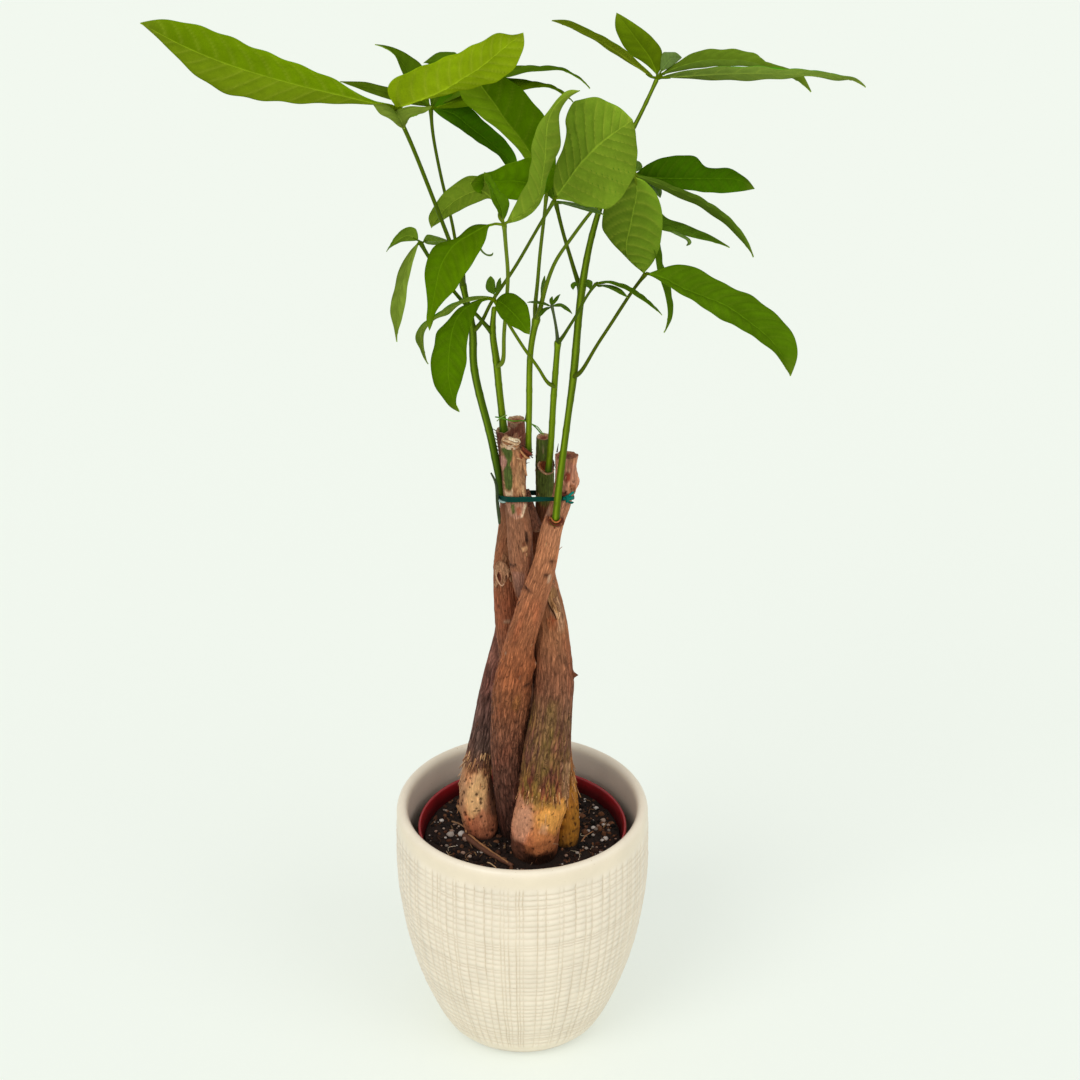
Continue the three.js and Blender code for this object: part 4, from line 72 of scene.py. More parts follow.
# Leaflets: parent stalk, face turned to the front, midrib and two margins in millimetres.
LEAVES = {
    'a1': ('stalk_a', 'down',
     [(-66,-43,603.2),(-75.4,-41,604.4),(-84.8,-39.1,605.8),(-94.1,-37.3,607.3),(-103.5,-35.7,608.9),(-112.8,-34.2,610.7),(-122,-32.8,612.7),(-131.2,-31.5,614.9),(-140.4,-30.3,617.4),(-149.3,-29.3,620.2),(-158.2,-28.4,623.5),(-166.9,-27.6,627.2),(-175.3,-27,631.4),(-183.5,-26.4,636),(-191.7,-26,640.7)],
     [(-66,-43,603.8),(-75.3,-43.9,606.3),(-83.6,-43.9,611),(-91.8,-43.7,616.4),(-100.4,-43.2,620.4),(-109.3,-42.5,623.9),(-118.1,-41.6,627.3),(-127,-40.5,630.4),(-135.9,-39.2,633.7),(-144.6,-37.6,637.2),(-153.4,-35.9,640.2),(-162.6,-33.9,642.7),(-172,-31.8,643.8),(-181.8,-29.3,643.7),(-191.7,-26,640.7)],
     [(-66,-43,602.7),(-76.2,-38.1,601.1),(-86.4,-34.3,599.8),(-96.6,-31,598.6),(-106.8,-28.2,597.5),(-117,-25.9,596.9),(-127.2,-23.9,596.9),(-137.3,-22.5,597.5),(-147.1,-21.5,599.2),(-156.4,-21,603.2),(-164.5,-20.9,609.1),(-171.7,-21.3,616.4),(-178.2,-22.1,624.5),(-184.9,-23.5,632.5),(-191.7,-26,640.7)]),
    'a2': ('stalk_a', 'down',
     [(-62.8,-43,601.8),(-57.6,-44.6,604.4),(-52.4,-46.2,607.1),(-47.3,-48.1,609.9),(-42.2,-50,612.9),(-37.3,-52,616.3),(-32.6,-54.2,620.1),(-28,-56.5,624.2),(-23.3,-58.9,628.1),(-18.9,-61.5,632.4),(-14.7,-64.1,637.1),(-10.6,-66.9,641.9),(-6.5,-69.8,646.7),(-2.3,-72.8,651.4),(2,-76,656)],
     [(-63,-43,602.4),(-66,-47.8,610.2),(-65.8,-51.6,617.8),(-60.6,-55.1,623.7),(-55,-58.3,627.9),(-49,-61.3,631.4),(-43.2,-64,635.1),(-37.4,-66.5,638.5),(-31.7,-68.7,641.9),(-26.1,-70.7,645.3),(-20.7,-72.4,648.9),(-15.2,-73.9,652.4),(-9.6,-75.2,655.4),(-3.8,-76.1,654.8),(2,-76,656)],
     [(-62.3,-43,601.6),(-56.7,-42,603.1),(-50.9,-42,604.7),(-45.1,-42.4,606.3),(-39.3,-43.3,608.2),(-33.6,-44.6,610.4),(-27.8,-46.4,612.7),(-22,-48.5,615),(-16.3,-51.1,617.7),(-10.7,-54.1,621.2),(-5.7,-57.5,625.9),(-1.8,-61.3,632.2),(0.8,-65.5,639.6),(2.4,-70.3,647.5),(2,-76,656)]),
    'a6': ('stalk_a', 'up',
     [(-63.1,-45,600.5),(-62.6,-49.1,601.6),(-62.1,-53.1,602.7),(-61.6,-57.2,603.8),(-61.1,-61.3,605),(-60.6,-65.4,606.1),(-60.1,-69.4,607.2),(-59.6,-73.5,608.4),(-59.1,-77.6,609.5),(-58.6,-81.6,610.6),(-58.2,-85.7,611.8),(-57.7,-89.8,612.9),(-57.3,-93.9,614),(-56.9,-97.9,615.1),(-56.5,-102,616.2)],
     [(-63.7,-45,601.3),(-65.5,-50,605),(-67.3,-54.7,608.1),(-69.5,-59.3,610.4),(-72.3,-63.8,612.5),(-73.7,-68.1,614.4),(-72.7,-72.4,615.2),(-70.7,-76.5,614.6),(-68.7,-80.5,614.5),(-66.6,-84.4,614.9),(-64.4,-88.2,615.4),(-62.4,-91.9,615.7),(-60.6,-95.5,615.5),(-58.8,-98.9,615.6),(-56.5,-102,616.2)],
     [(-62.2,-45,601.3),(-59.4,-50,604.4),(-56.7,-54.7,607.1),(-53.9,-59.3,609.3),(-50.7,-63.8,611.2),(-47.1,-68.1,613.1),(-44.4,-72.4,614.8),(-43.6,-76.5,616.3),(-45.4,-80.5,616.6),(-48.1,-84.4,616.7),(-50.6,-88.2,617.7),(-53,-91.9,618.7),(-54.5,-95.5,618.4),(-55.6,-98.9,617.4),(-56.5,-102,616.2)]),
    'a3': ('stalk_b', 'up',
     [(-48.6,39,567.3),(-50.6,39.9,569.6),(-52.5,40.9,571.9),(-54.3,41.9,574.3),(-56,43.1,576.6),(-57.6,44.3,579.1),(-59,45.6,581.6),(-60.4,47,584.1),(-62,48.5,586.4),(-63.9,50,588.5),(-66.1,51.7,590.4),(-68.5,53.4,591.8),(-71.2,55.2,592.8),(-74.2,57,593.4),(-77.4,59,593.6)],
     [(-48.3,39,567.8),(-48.7,41.8,570.4),(-49.2,44.1,573.1),(-49.8,46.1,575.9),(-50.4,48.1,578.9),(-51.3,49.9,582),(-52.5,51.5,584.5),(-54.7,53,586.5),(-57.8,54.4,588.2),(-60.8,55.6,589.7),(-63.9,56.6,591),(-67.1,57.6,592.1),(-70.5,58.4,592.8),(-73.9,59,593.2),(-77.4,59,593.6)],
     [(-49.1,39,567),(-51.9,38.6,569.1),(-54.4,38.7,571.2),(-56.6,39.1,573.5),(-58.4,39.8,575.8),(-59.9,40.6,578.5),(-61.2,41.7,581.2),(-62.5,43,583.9),(-63.7,44.5,586.5),(-64.9,46.3,589.1),(-66.3,48.3,591.2),(-68.4,50.6,592.8),(-71.1,53,593.8),(-74.1,55.7,594),(-77.4,59,593.6)]),
    'a5': ('stalk_b', 'up',
     [(-47.4,41,565.2),(-46.4,44.4,566.2),(-45.6,47.7,567.3),(-44.7,50.6,568.5),(-44,53.3,569.9),(-43.1,55.8,571.4),(-42.3,58,573),(-41.7,60,574.8),(-41.6,61.7,576.6),(-42.2,63.2,579.2),(-43.3,64.5,581.4),(-44.7,65.5,581.8),(-46.6,66.2,581.3),(-49.2,66.7,580.7),(-52.3,67,579.4)],
     [(-47.6,41,565.8),(-48,45.1,566),(-48.4,48.7,566.3),(-48.7,52,566.9),(-49,55,567.5),(-49.2,57.6,568.3),(-49.4,60,569.3),(-49.6,62,570.4),(-49.7,63.7,571.6),(-49.7,65.1,573.1),(-49.6,66.1,575),(-49.5,66.9,577),(-49.4,67.3,578.4),(-50.1,67.4,579),(-52.3,67,579.4)],
     [(-46.8,41,565.5),(-43.5,47,565.1),(-40.5,51.9,565.5),(-38,56.2,566.6),(-35.7,60,568.4),(-33.6,63.2,570.9),(-32.3,65.9,573.7),(-32.2,68,577),(-33.3,69.6,581.3),(-35,70.6,584),(-38.2,71.1,584.1),(-42.6,71.1,584.2),(-46.1,70.5,583.1),(-49.3,69.3,581),(-52.3,67,579.4)]),
    'a7': ('stalk_b', 'up',
     [(-46.2,37,566.1),(-42,36.9,565.5),(-38.2,36.8,564.3),(-34.7,36.4,562.8),(-31.5,36,560.3),(-28.4,35.5,557.5),(-25.2,34.8,555),(-22,34,552.7),(-18.8,33.1,550.4),(-15.7,32,548),(-12.6,30.9,545.7),(-9.6,29.6,543.3),(-6.7,28.2,540.8),(-4,26.7,538.1),(-1.5,25,535.4)],
     [(-45.9,37,567),(-42.9,39.2,571.2),(-39,40.5,572.7),(-34.1,41.4,572.5),(-30.4,41.8,569.8),(-27.2,41.9,565.1),(-23.7,41.7,561.4),(-20.3,41,557.9),(-16.6,39.9,554.8),(-12.8,38.5,552),(-9.2,36.7,549.2),(-6.1,34.5,546.1),(-3.3,31.9,542.6),(-1.9,28.9,539),(-1.5,25,535.4)],
     [(-46.5,37,565.5),(-43.5,34.7,563.6),(-40.3,33,561.8),(-36.9,31.5,560.1),(-33.5,30.2,558.3),(-30.2,29,556.4),(-27,27.9,554.3),(-23.7,27,552.1),(-20.4,26.2,550.1),(-16.9,25.6,548.1),(-13.6,25.1,545.9),(-10.7,24.7,543.2),(-8.3,24.4,539.5),(-5.4,24.4,537),(-1.5,25,535.4)]),
    'b2': ('stalk_b', 'up',
     [(-46,40,566.2),(-40.5,40.8,569.7),(-34.9,41.6,572.9),(-29.2,42.4,575.7),(-23.4,43.1,578.5),(-17.4,43.9,581),(-11.3,44.7,582.7),(-5,45.5,583.7),(1.4,46.3,584.2),(7.8,47.1,584.5),(14.3,47.9,584.5),(20.6,48.6,584),(26.8,49.4,581),(32.2,50.2,577.1),(37,51,571.8)],
     [(-46,40,566.6),(-41.1,44.3,569.7),(-35.9,47.5,572.7),(-30.4,50.1,575.3),(-24.6,52.3,577.7),(-18.5,54.1,579.9),(-12.2,55.5,581.2),(-5.7,56.5,581.6),(0.9,57.1,581.8),(7.6,57.2,581.8),(14.2,57,581.7),(20.7,56.4,581.2),(26.9,55.3,578.9),(32.3,53.8,575.9),(37,51,571.8)],
     [(-46,40,565.8),(-40,37.5,569.6),(-34.1,36.2,572.8),(-28.2,35.3,575.8),(-22.3,34.8,578.8),(-16.5,34.7,581.7),(-10.6,34.9,584),(-4.5,35.5,585.6),(1.7,36.5,586.6),(7.9,37.8,587),(14.3,39.5,587.1),(20.6,41.6,586.1),(26.7,44.1,583),(32.1,47,578.5),(37,51,571.8)]),
    'b3': ('stalk_b', 'up',
     [(-45.7,37,566.7),(-40.3,37.4,568.4),(-35,37.9,570.1),(-29.7,38.3,571.7),(-24.4,38.7,573.5),(-19.1,39.1,575.6),(-13.8,39.6,577.5),(-8.5,40,578.3),(-3,40.4,578.1),(2.6,40.9,577.9),(8.2,41.3,577.7),(13.9,41.7,577),(19,42.1,575.6),(23.7,42.6,572.3),(28,43,567.5)],
     [(-45.6,37,567.2),(-41.1,40.3,570),(-36.4,42.7,572.7),(-31.4,44.6,574.8),(-26.2,46.2,576.2),(-20.7,47.5,577.5),(-14.9,48.4,578.5),(-9.2,49,578.7),(-3.4,49.3,578.1),(2.3,49.2,577.2),(8.1,48.8,576.4),(13.8,48,575.6),(19,47,573.7),(23.8,45.5,570.6),(28,43,567.5)],
     [(-45.7,37,566.2),(-40,34.5,567.4),(-34.4,33,568.4),(-29,32,569.4),(-23.6,31.2,570.4),(-18.4,30.8,572.3),(-13.2,30.7,574.6),(-8,31,576.5),(-2.7,31.6,578),(2.6,32.5,578.9),(8.2,33.8,579.4),(13.6,35.4,579.2),(18.5,37.3,576.5),(23.3,39.7,572.1),(28,43,567.5)]),
    'b1': ('stalk_sl', 'down',
     [(13.5,24.5,522.5),(12.3,24.8,528.8),(10.6,24.8,534.8),(8.3,24.6,540.7),(5.3,24.1,546.4),(2.1,23.4,552),(-1.3,22.4,557.5),(-5,21.2,562.9),(-8.6,19.8,568.4),(-11.7,18.1,574.4),(-15,16.2,580.3),(-18.4,14,586.2),(-21.7,11.6,592.2),(-24.9,8.9,598.3),(-28.1,6,604.6)],
     [(13.9,24.5,522.8),(16.9,22.8,530.6),(18.6,21.6,538.4),(18.6,20.4,546.3),(18.6,19.1,554.3),(17.2,17.9,561.8),(13.5,16.6,568.9),(9.7,15.2,575.4),(5.3,13.9,581.6),(0.7,12.6,587.4),(-4.4,11.2,592.7),(-9.9,9.8,597.5),(-15.5,8.4,602.4),(-21.5,7,605.3),(-28.1,6,604.6)],
     [(13,24.5,522.8),(9.9,25.4,528.4),(6.7,25.9,534),(3.4,26,539.8),(0,25.8,545.5),(-4,25.3,551),(-8.4,24.4,556.1),(-13.1,23.2,561),(-17.9,21.8,565.8),(-22.7,20,570.7),(-27.5,17.8,576),(-30.9,15.4,582.4),(-32.5,12.7,589.9),(-31.9,9.6,597.9),(-28.1,6,604.6)]),
    'c1': ('stalk_i', 'down',
     [(-6.7,-53,542.1),(-1,-56.3,546.1),(4.2,-59.5,551),(8.4,-62.5,557),(10.7,-65.4,564.5),(11.8,-68.3,572.1),(12.6,-70.9,579.8),(13.3,-73.5,587.4),(13.6,-75.9,594.9),(13.8,-78.3,602.4),(14.6,-80.4,609.6),(16.6,-82.5,616.5),(20,-84.5,622.6),(24.5,-86.3,626.9),(30.1,-88,630)],
     [(-6.7,-53,542.8),(-4.1,-53.4,548.8),(-1.5,-54.7,555.1),(1.4,-56.2,561.5),(4.1,-58,568.1),(5.2,-59.9,575.1),(5.8,-62.1,582.4),(6.2,-64.5,589.9),(7.3,-67.1,597.1),(9.7,-69.9,604.1),(12.8,-73,610.7),(16.4,-76.2,616.9),(20.2,-79.7,623.6),(24.6,-83.4,628.4),(30.1,-88,630)],
     [(-6.5,-53,541.4),(-0.5,-58.6,545.7),(4.7,-63.2,551),(9.1,-67.4,557.6),(11.7,-71.3,565.1),(13.3,-74.7,573),(14.6,-77.8,580.7),(16.9,-80.5,587.9),(19.4,-82.8,594.7),(20.6,-84.7,601.8),(20.1,-86.3,608.9),(19.6,-87.4,615.6),(21.6,-88.2,622),(25.1,-88.6,627.1),(30.1,-88,630)]),
    'i1': ('stalk_i', 'up',
     [(-8.6,-51,542.5),(-8.8,-50.4,544.3),(-9.1,-49.8,546.1),(-9.5,-49.3,547.9),(-10.2,-48.9,549.7),(-11,-48.6,551.4),(-11.8,-48.4,553.2),(-12.6,-48.2,555),(-13.4,-48.2,556.9),(-14.2,-48.2,558.8),(-15,-48.3,560.7),(-15.8,-48.5,562.6),(-16.6,-48.7,564.6),(-17.4,-49.1,566.6),(-18.2,-49.5,568.7)],
     [(-8.8,-51,542.5),(-9.7,-51.3,544.5),(-10.7,-51.4,546.4),(-11.6,-51.4,548.2),(-12.6,-51.4,550),(-13.6,-51.4,551.8),(-14.4,-51.3,553.7),(-14.9,-51.2,555.6),(-15.2,-51.1,557.6),(-15.6,-51,559.6),(-16.2,-50.8,561.5),(-17.2,-50.6,563.2),(-18,-50.3,564.9),(-18.2,-50,566.8),(-18.2,-49.5,568.7)],
     [(-8.3,-51,542.5),(-7.2,-49.7,544.1),(-6.4,-48.7,545.9),(-5.8,-47.9,547.8),(-5.4,-47.3,549.8),(-5.8,-46.8,551.9),(-6.9,-46.4,553.7),(-8.8,-46.2,555),(-10.5,-46.2,556.5),(-11.6,-46.3,558.5),(-12.6,-46.6,560.8),(-13.7,-47.1,563.2),(-14.7,-47.7,565.7),(-16.1,-48.4,567.5),(-18.2,-49.5,568.7)]),
    'i2': ('stalk_sl', 'up',
     [(13.1,22,523.7),(10.8,18.2,527.5),(8.3,14.3,530.9),(5.7,10.3,534.3),(2.9,6.2,537.2),(0.1,1.9,539.7),(-2.8,-2.5,542.1),(-5.6,-7,544.3),(-8.5,-11.6,546.3),(-11.3,-16.4,548.4),(-14.1,-21.3,550.5),(-16.9,-26.3,552.7),(-19.7,-31.4,554.8),(-22.5,-36.6,556.9),(-25.2,-42,558.9)],
     [(13.5,22,523.9),(16.7,16.9,529.7),(18.5,12.2,536.4),(17.6,7.5,543.3),(14.4,2.8,548.4),(10.3,-1.8,552.7),(6.2,-6.4,556.7),(1.9,-11,558.5),(-2.3,-15.6,559.3),(-6.4,-20.1,559.5),(-10.4,-24.6,559.7),(-14.4,-29.1,560),(-18.5,-33.5,560.7),(-22.2,-37.9,560.7),(-25.2,-42,558.9)],
     [(12.7,22,523.4),(10.8,19.2,521.9),(8,15.9,522.6),(4.8,12.4,523.9),(1.7,8.7,525.8),(-1.4,4.7,527.9),(-4.4,0.5,530.1),(-7.4,-4,532.5),(-10.3,-8.7,535.7),(-13.2,-13.6,538.9),(-16.1,-18.8,542),(-19.1,-24.2,544.8),(-21.9,-29.8,548.2),(-24,-35.7,552.8),(-25.2,-42,558.9)]),
    'i3': ('stalk_i', 'down',
     [(-9.6,-47,540.9),(-10.5,-42.8,543.3),(-12,-38.8,545.3),(-13.8,-35,546.8),(-16.6,-31.5,548.5),(-20,-28.3,549.1),(-23.4,-25.3,547.4),(-27.2,-22.5,544.5),(-30.8,-20,541.5),(-34.1,-17.7,538.2),(-37.2,-15.7,534.7),(-40,-13.9,531),(-42.6,-12.3,527.2),(-44.9,-11.1,523.1),(-47,-10,518.9)],
     [(-9.3,-47,541.5),(-9.7,-44.4,545.8),(-10.7,-41.4,549.6),(-12.1,-38.5,553.6),(-14.6,-35.7,557.9),(-17.9,-32.9,558.7),(-23,-30.2,557.7),(-27.8,-27.5,556.1),(-32.4,-24.9,552.3),(-36.6,-22.3,547.6),(-40.2,-19.8,542.9),(-43.5,-17.4,537.4),(-46.3,-15,531.6),(-48.2,-12.7,525.5),(-47,-10,518.9)],
     [(-10,-47,540.7),(-10.6,-41.8,542),(-11.9,-37.2,543.2),(-13.7,-32.9,544.5),(-16.3,-29,544.4),(-19.4,-25.5,542),(-22.7,-22.3,539),(-26.1,-19.5,536.1),(-29.2,-17,533.5),(-32.3,-14.9,530.8),(-35.3,-13.2,528.2),(-38.3,-11.8,525.6),(-41.2,-10.7,523.2),(-44.1,-10.1,520.9),(-47,-10,518.9)]),
    'i4': ('stalk_i', 'up',
     [(-11.3,-53,541.1),(-16.4,-56.1,541.9),(-21,-59.1,541),(-25.5,-61.9,539.5),(-30,-64.6,538),(-33.9,-67,535.8),(-37,-69.3,532.3),(-39.6,-71.5,528.4),(-41.3,-73.5,524.1),(-42.4,-75.3,519.4),(-43.4,-77,514.7),(-44.4,-78.5,509.8),(-45.4,-79.8,504.9),(-46.1,-81,499.8),(-46.4,-82,494.6)],
     [(-11.3,-53,541.4),(-17,-55.2,542.1),(-22.7,-57.5,543.1),(-27.7,-59.8,541.3),(-32.1,-62.1,538.1),(-37.5,-64.3,536.9),(-42.9,-66.4,535.8),(-46.2,-68.5,532),(-48,-70.5,526.9),(-48.8,-72.5,521.5),(-48.2,-74.5,516.1),(-47.6,-76.4,510.7),(-47.5,-78.2,505.3),(-47.9,-80,499.8),(-46.4,-82,494.6)],
     [(-11.3,-53,540.7),(-15.8,-55.2,540.7),(-17.1,-57.5,536.5),(-18.9,-59.8,532.7),(-21.1,-62.1,529.1),(-23.6,-64.3,525.7),(-26.2,-66.4,522.3),(-28.9,-68.5,518.9),(-31.5,-70.5,515.4),(-34.2,-72.5,512.1),(-37.6,-74.5,509.3),(-40.8,-76.4,506.4),(-43.3,-78.2,502.8),(-44.6,-80,498.5),(-46.4,-82,494.6)]),
    'd1': ('stalk_d', 'down',
     [(18.2,-36,548.3),(20.6,-40,553.7),(22.9,-44,559.1),(25.3,-48.2,564.6),(27.5,-52.4,570.1),(29.8,-56.7,575.6),(32.3,-61,580.9),(35,-65.5,586.1),(37.7,-70,591.2),(40.6,-74.7,596.2),(43.5,-79.4,600.9),(46.6,-84.2,605.6),(49.6,-89,610.2),(52.7,-94,614.8),(55.7,-99,619.6)],
     [(17.8,-36,548.8),(17.1,-40.6,557.5),(17.6,-45.1,566.2),(18.8,-49.6,574.6),(21.4,-54,582.6),(23,-58.5,590.7),(23.3,-63,599.2),(23.6,-67.5,607.5),(25.8,-72,615.8),(30,-76.5,620.9),(36.1,-81,623.8),(41.7,-85.6,624.4),(46.9,-90.1,623.8),(51.6,-94.6,622),(55.7,-99,619.6)],
     [(18.8,-36,547.8),(24.3,-40.6,548.7),(29.6,-45.1,549.2),(34.9,-49.6,549.6),(40.3,-54,550.6),(45.5,-58.5,553.3),(50,-63,558.9),(53.3,-67.5,565.7),(55.8,-72,573.1),(58.1,-76.5,580.6),(58.6,-81,588.4),(58.6,-85.6,596.4),(58.1,-90.1,604.3),(57.2,-94.6,612),(55.7,-99,619.6)]),
    'd2': ('stalk_d', 'up',
     [(18.7,-33,544.7),(20.5,-33.1,544.4),(22.3,-33.3,544),(24.1,-33.4,543.6),(25.8,-33.6,543.2),(27.6,-33.7,542.8),(29.4,-33.9,542.5),(31.2,-34,542.1),(32.9,-34.1,541.6),(34.7,-34.3,541.2),(36.5,-34.4,540.7),(38.2,-34.6,540.1),(39.9,-34.7,539.4),(41.6,-34.9,538.7),(43.3,-35,538)],
     [(18.7,-33,545.2),(20.6,-30.9,544),(22.5,-29.5,543.2),(24.3,-28.5,542.5),(26.2,-27.8,541.8),(28.1,-27.2,541.3),(29.9,-27,540.9),(31.8,-27,540.5),(33.7,-27.3,540.2),(35.5,-27.8,540),(37.2,-28.6,539.8),(38.8,-29.7,539.4),(40.4,-31,538.9),(41.9,-32.6,538.3),(43.3,-35,538)],
     [(18.7,-33,544.3),(20.4,-35.4,544.8),(22.1,-37,545),(23.9,-38.3,545),(25.6,-39.4,545),(27.3,-40.2,544.8),(29.1,-40.7,544.5),(30.8,-41,544),(32.6,-41,543.5),(34.3,-40.8,542.9),(36.1,-40.2,542.1),(37.8,-39.5,541.3),(39.6,-38.5,540.4),(41.4,-37.1,539.4),(43.3,-35,538)]),
    'n1': ('stalk_n', 'up',
     [(17.9,24,518.7),(17.3,26.2,519.7),(16.7,28.3,520.9),(16.2,30.3,522.1),(15.9,32.2,523.4),(15.7,33.9,524.8),(15.4,35.5,526.3),(15.1,37,527.8),(14.8,38.4,529.3),(14.4,39.6,531),(14,40.7,532.6),(13.5,41.7,534.3),(13,42.6,536),(12.4,43.4,537.8),(11.8,44,539.6)],
     [(18.3,24,518.8),(18.9,26.2,520),(19.3,28.3,521.3),(19.4,30.3,522.6),(19.3,32.2,524.1),(19.3,33.9,525.6),(19.1,35.5,527.1),(18.6,37,528.7),(17.9,38.4,530.2),(17.2,39.6,531.8),(16.3,40.7,533.3),(15.2,41.7,534.9),(14.2,42.6,536.5),(13,43.4,538),(11.8,44,539.6)],
     [(17.5,24,518.8),(15.7,26.2,519.3),(14.1,28.3,520),(12.8,30.3,520.9),(11.9,32.2,522),(11.2,33.9,523.4),(10.6,35.5,525.1),(10.2,37,526.7),(10,38.4,528.4),(9.8,39.6,530.3),(9.7,40.7,532.1),(9.6,41.7,534),(9.9,42.6,535.8),(10.7,43.4,537.7),(11.8,44,539.6)]),
    'e1': ('stalk_sr', 'down',
     [(59.4,-21,552.7),(60.2,-21.2,548.6),(60.4,-21.2,544.5),(59.9,-21,540.2),(59.1,-20.5,535.8),(58.4,-19.7,531.3),(57.7,-18.7,526.7),(57,-17.5,521.9),(56.1,-16,517.1),(55.4,-14.3,512),(55.4,-12.3,506.8),(56.6,-10.1,501.7),(59.3,-7.7,497.3),(62.3,-4.9,492.9),(65.3,-2,488.5)],
     [(59,-21,552.4),(55.2,-22.5,550.1),(51.5,-23.4,547.4),(47.8,-23.8,544.5),(45.1,-23.8,540.7),(43.3,-23.4,535.7),(42.7,-22.7,530.2),(42.5,-21.5,524.6),(44.6,-19.9,519.3),(47.6,-18,514.1),(50.9,-15.7,509.2),(54.3,-12.9,504.2),(57.7,-9.8,498.9),(61.3,-6.2,493.7),(65.3,-2,488.5)],
     [(59.9,-21,552.7),(63.7,-22.2,551.7),(66.9,-22.8,549),(69.6,-23.1,545.7),(71.7,-23,541.6),(73.1,-22.5,537.1),(73.8,-21.7,532.2),(74.1,-20.5,527),(74,-19,521.7),(73.7,-17.1,516.2),(73,-14.8,510.6),(72,-12.2,504.9),(70.2,-9.3,499.3),(68,-5.9,493.9),(65.3,-2,488.5)]),
    'f1': ('stalk_sr', 'up',
     [(60.5,-16,552.5),(64.9,-12.5,549.3),(69.4,-9.2,547.1),(74,-6,545.4),(78.6,-3,543.9),(83.3,-0.2,542.6),(87.9,2.5,541.4),(92.5,5,540.3),(97.2,7.3,539.2),(101.9,9.5,538.2),(106.5,11.6,537.3),(111.1,13.4,536.3),(115.5,15.1,534.5),(119.9,16.6,531.7),(124.1,18,528.3)],
     [(60.5,-16,552.9),(64.5,-8.9,553.4),(68.8,-3.3,553.6),(73.7,1.7,553.5),(78.7,6.1,552.5),(83.9,10,551.3),(89,13.3,549.8),(93.9,16,546.5),(97.8,18.1,541.2),(102.3,19.7,539.4),(107.6,20.7,539.4),(112.5,21.1,537.8),(117.1,21,535),(120.9,20.2,531.9),(124.1,18,528.3)],
     [(60.6,-16,552.1),(64.6,-15.1,549.2),(68.9,-13.5,546.8),(73.4,-11.6,545),(77.9,-9.7,543.1),(82.3,-7.6,540.7),(86.8,-5.4,538.6),(91.4,-3,536.7),(96,-0.5,535),(100.7,2.1,533.4),(105.4,4.9,531.9),(110.1,7.8,530.7),(114.8,10.8,529.9),(119.4,14,529.1),(124.1,18,528.3)]),
    'f2': ('stalk_sr', 'up',
     [(60.5,-19,552.8),(65.6,-18.5,550.6),(70.8,-18,548.3),(75.9,-17.5,545.8),(81,-17,543.3),(86.2,-16.5,540.8),(91.2,-16,538.1),(96.1,-15.5,535.1),(100.9,-15,531.7),(105.4,-14.5,527.9),(109.6,-14,523.6),(113.5,-13.5,518.9),(116.9,-13,513.8),(120.1,-12.5,508.5),(122.9,-12,502.7)],
     [(60.6,-19,553.2),(66.2,-15.9,550.8),(71.7,-13.7,548.3),(76.9,-11.9,545.1),(82.2,-10.3,542),(87.5,-9.1,539.2),(92.6,-8.2,536.3),(97.6,-7.5,533),(102.4,-7.2,529.4),(106.9,-7.1,525.7),(111.3,-7.3,521.7),(115.2,-7.9,517.4),(118.3,-8.7,512.8),(120.9,-9.9,507.8),(122.9,-12,502.7)],
     [(60.3,-19,552.5),(65,-21.4,550.8),(69.7,-22.8,548.7),(74.5,-23.8,546.5),(79.3,-24.5,544.3),(84.3,-24.8,542.2),(89.3,-24.8,539.8),(94,-24.5,536.9),(98.7,-23.8,533.4),(103.2,-22.8,529.6),(107.6,-21.5,525.2),(111.8,-19.8,520.4),(115.7,-17.8,515.1),(119.4,-15.4,509.3),(122.9,-12,502.7)]),
    'f3': ('stalk_sr', 'up',
     [(60.2,-15,548.8),(61.9,-14.2,543.7),(63.9,-13.4,538.7),(66,-12.6,533.8),(68.3,-11.9,528.5),(71,-11.1,524.1),(74.6,-10.3,521.3),(79.1,-9.5,519.3),(83.8,-8.7,517.4),(88.3,-7.9,515.4),(92.8,-7.1,513.4),(97.2,-6.4,511.4),(101.7,-5.6,509.2),(106.1,-4.8,507),(110.5,-4,504.7)],
     [(60.6,-15,548.8),(63.6,-11.9,543.7),(66.5,-9.7,538.9),(69.3,-7.7,534.1),(71.9,-6,529),(74.6,-4.6,524.3),(77.8,-3.4,521),(81.9,-2.5,518.8),(86.4,-1.8,516.9),(90.7,-1.5,515),(94.9,-1.3,513),(99,-1.4,511),(102.9,-1.8,508.9),(106.8,-2.5,506.7),(110.5,-4,504.7)],
     [(59.9,-15,548.7),(60.7,-16.5,544.1),(61.9,-17.2,539.3),(63.5,-17.6,534.5),(65.6,-17.7,529.2),(68.4,-17.5,524.7),(71.8,-17.2,522),(76.4,-16.5,520),(81.5,-15.6,518.2),(86.3,-14.4,516.3),(91.2,-13,514.5),(96,-11.3,512.5),(100.8,-9.3,510.3),(105.7,-7.1,507.7),(110.5,-4,504.7)]),
    'f5': ('stalk_sr', 'up',
     [(60.9,-18,551.8),(62.1,-16.9,550.9),(63.3,-15.7,549.9),(64.5,-14.6,548.8),(65.6,-13.4,547.7),(66.6,-12.3,546.5),(67.7,-11.1,545.2),(68.7,-10,543.8),(69.6,-8.9,542.4),(70.4,-7.7,540.9),(71.1,-6.6,539.3),(71.8,-5.4,537.6),(72.4,-4.3,535.9),(73,-3.1,534.1),(73.4,-2,532.2)],
     [(61,-18,552.3),(62.6,-15.6,551.1),(64.1,-13.6,549.9),(65.5,-11.8,548.8),(66.9,-10.1,547.7),(68.3,-8.6,546.6),(69.8,-7.2,545.3),(71.2,-6,543.9),(72.4,-4.9,542.4),(73.1,-4,540.9),(73.7,-3.2,539.1),(74,-2.6,537.1),(74.2,-2.1,535.3),(73.9,-1.8,533.7),(73.4,-2,532.2)],
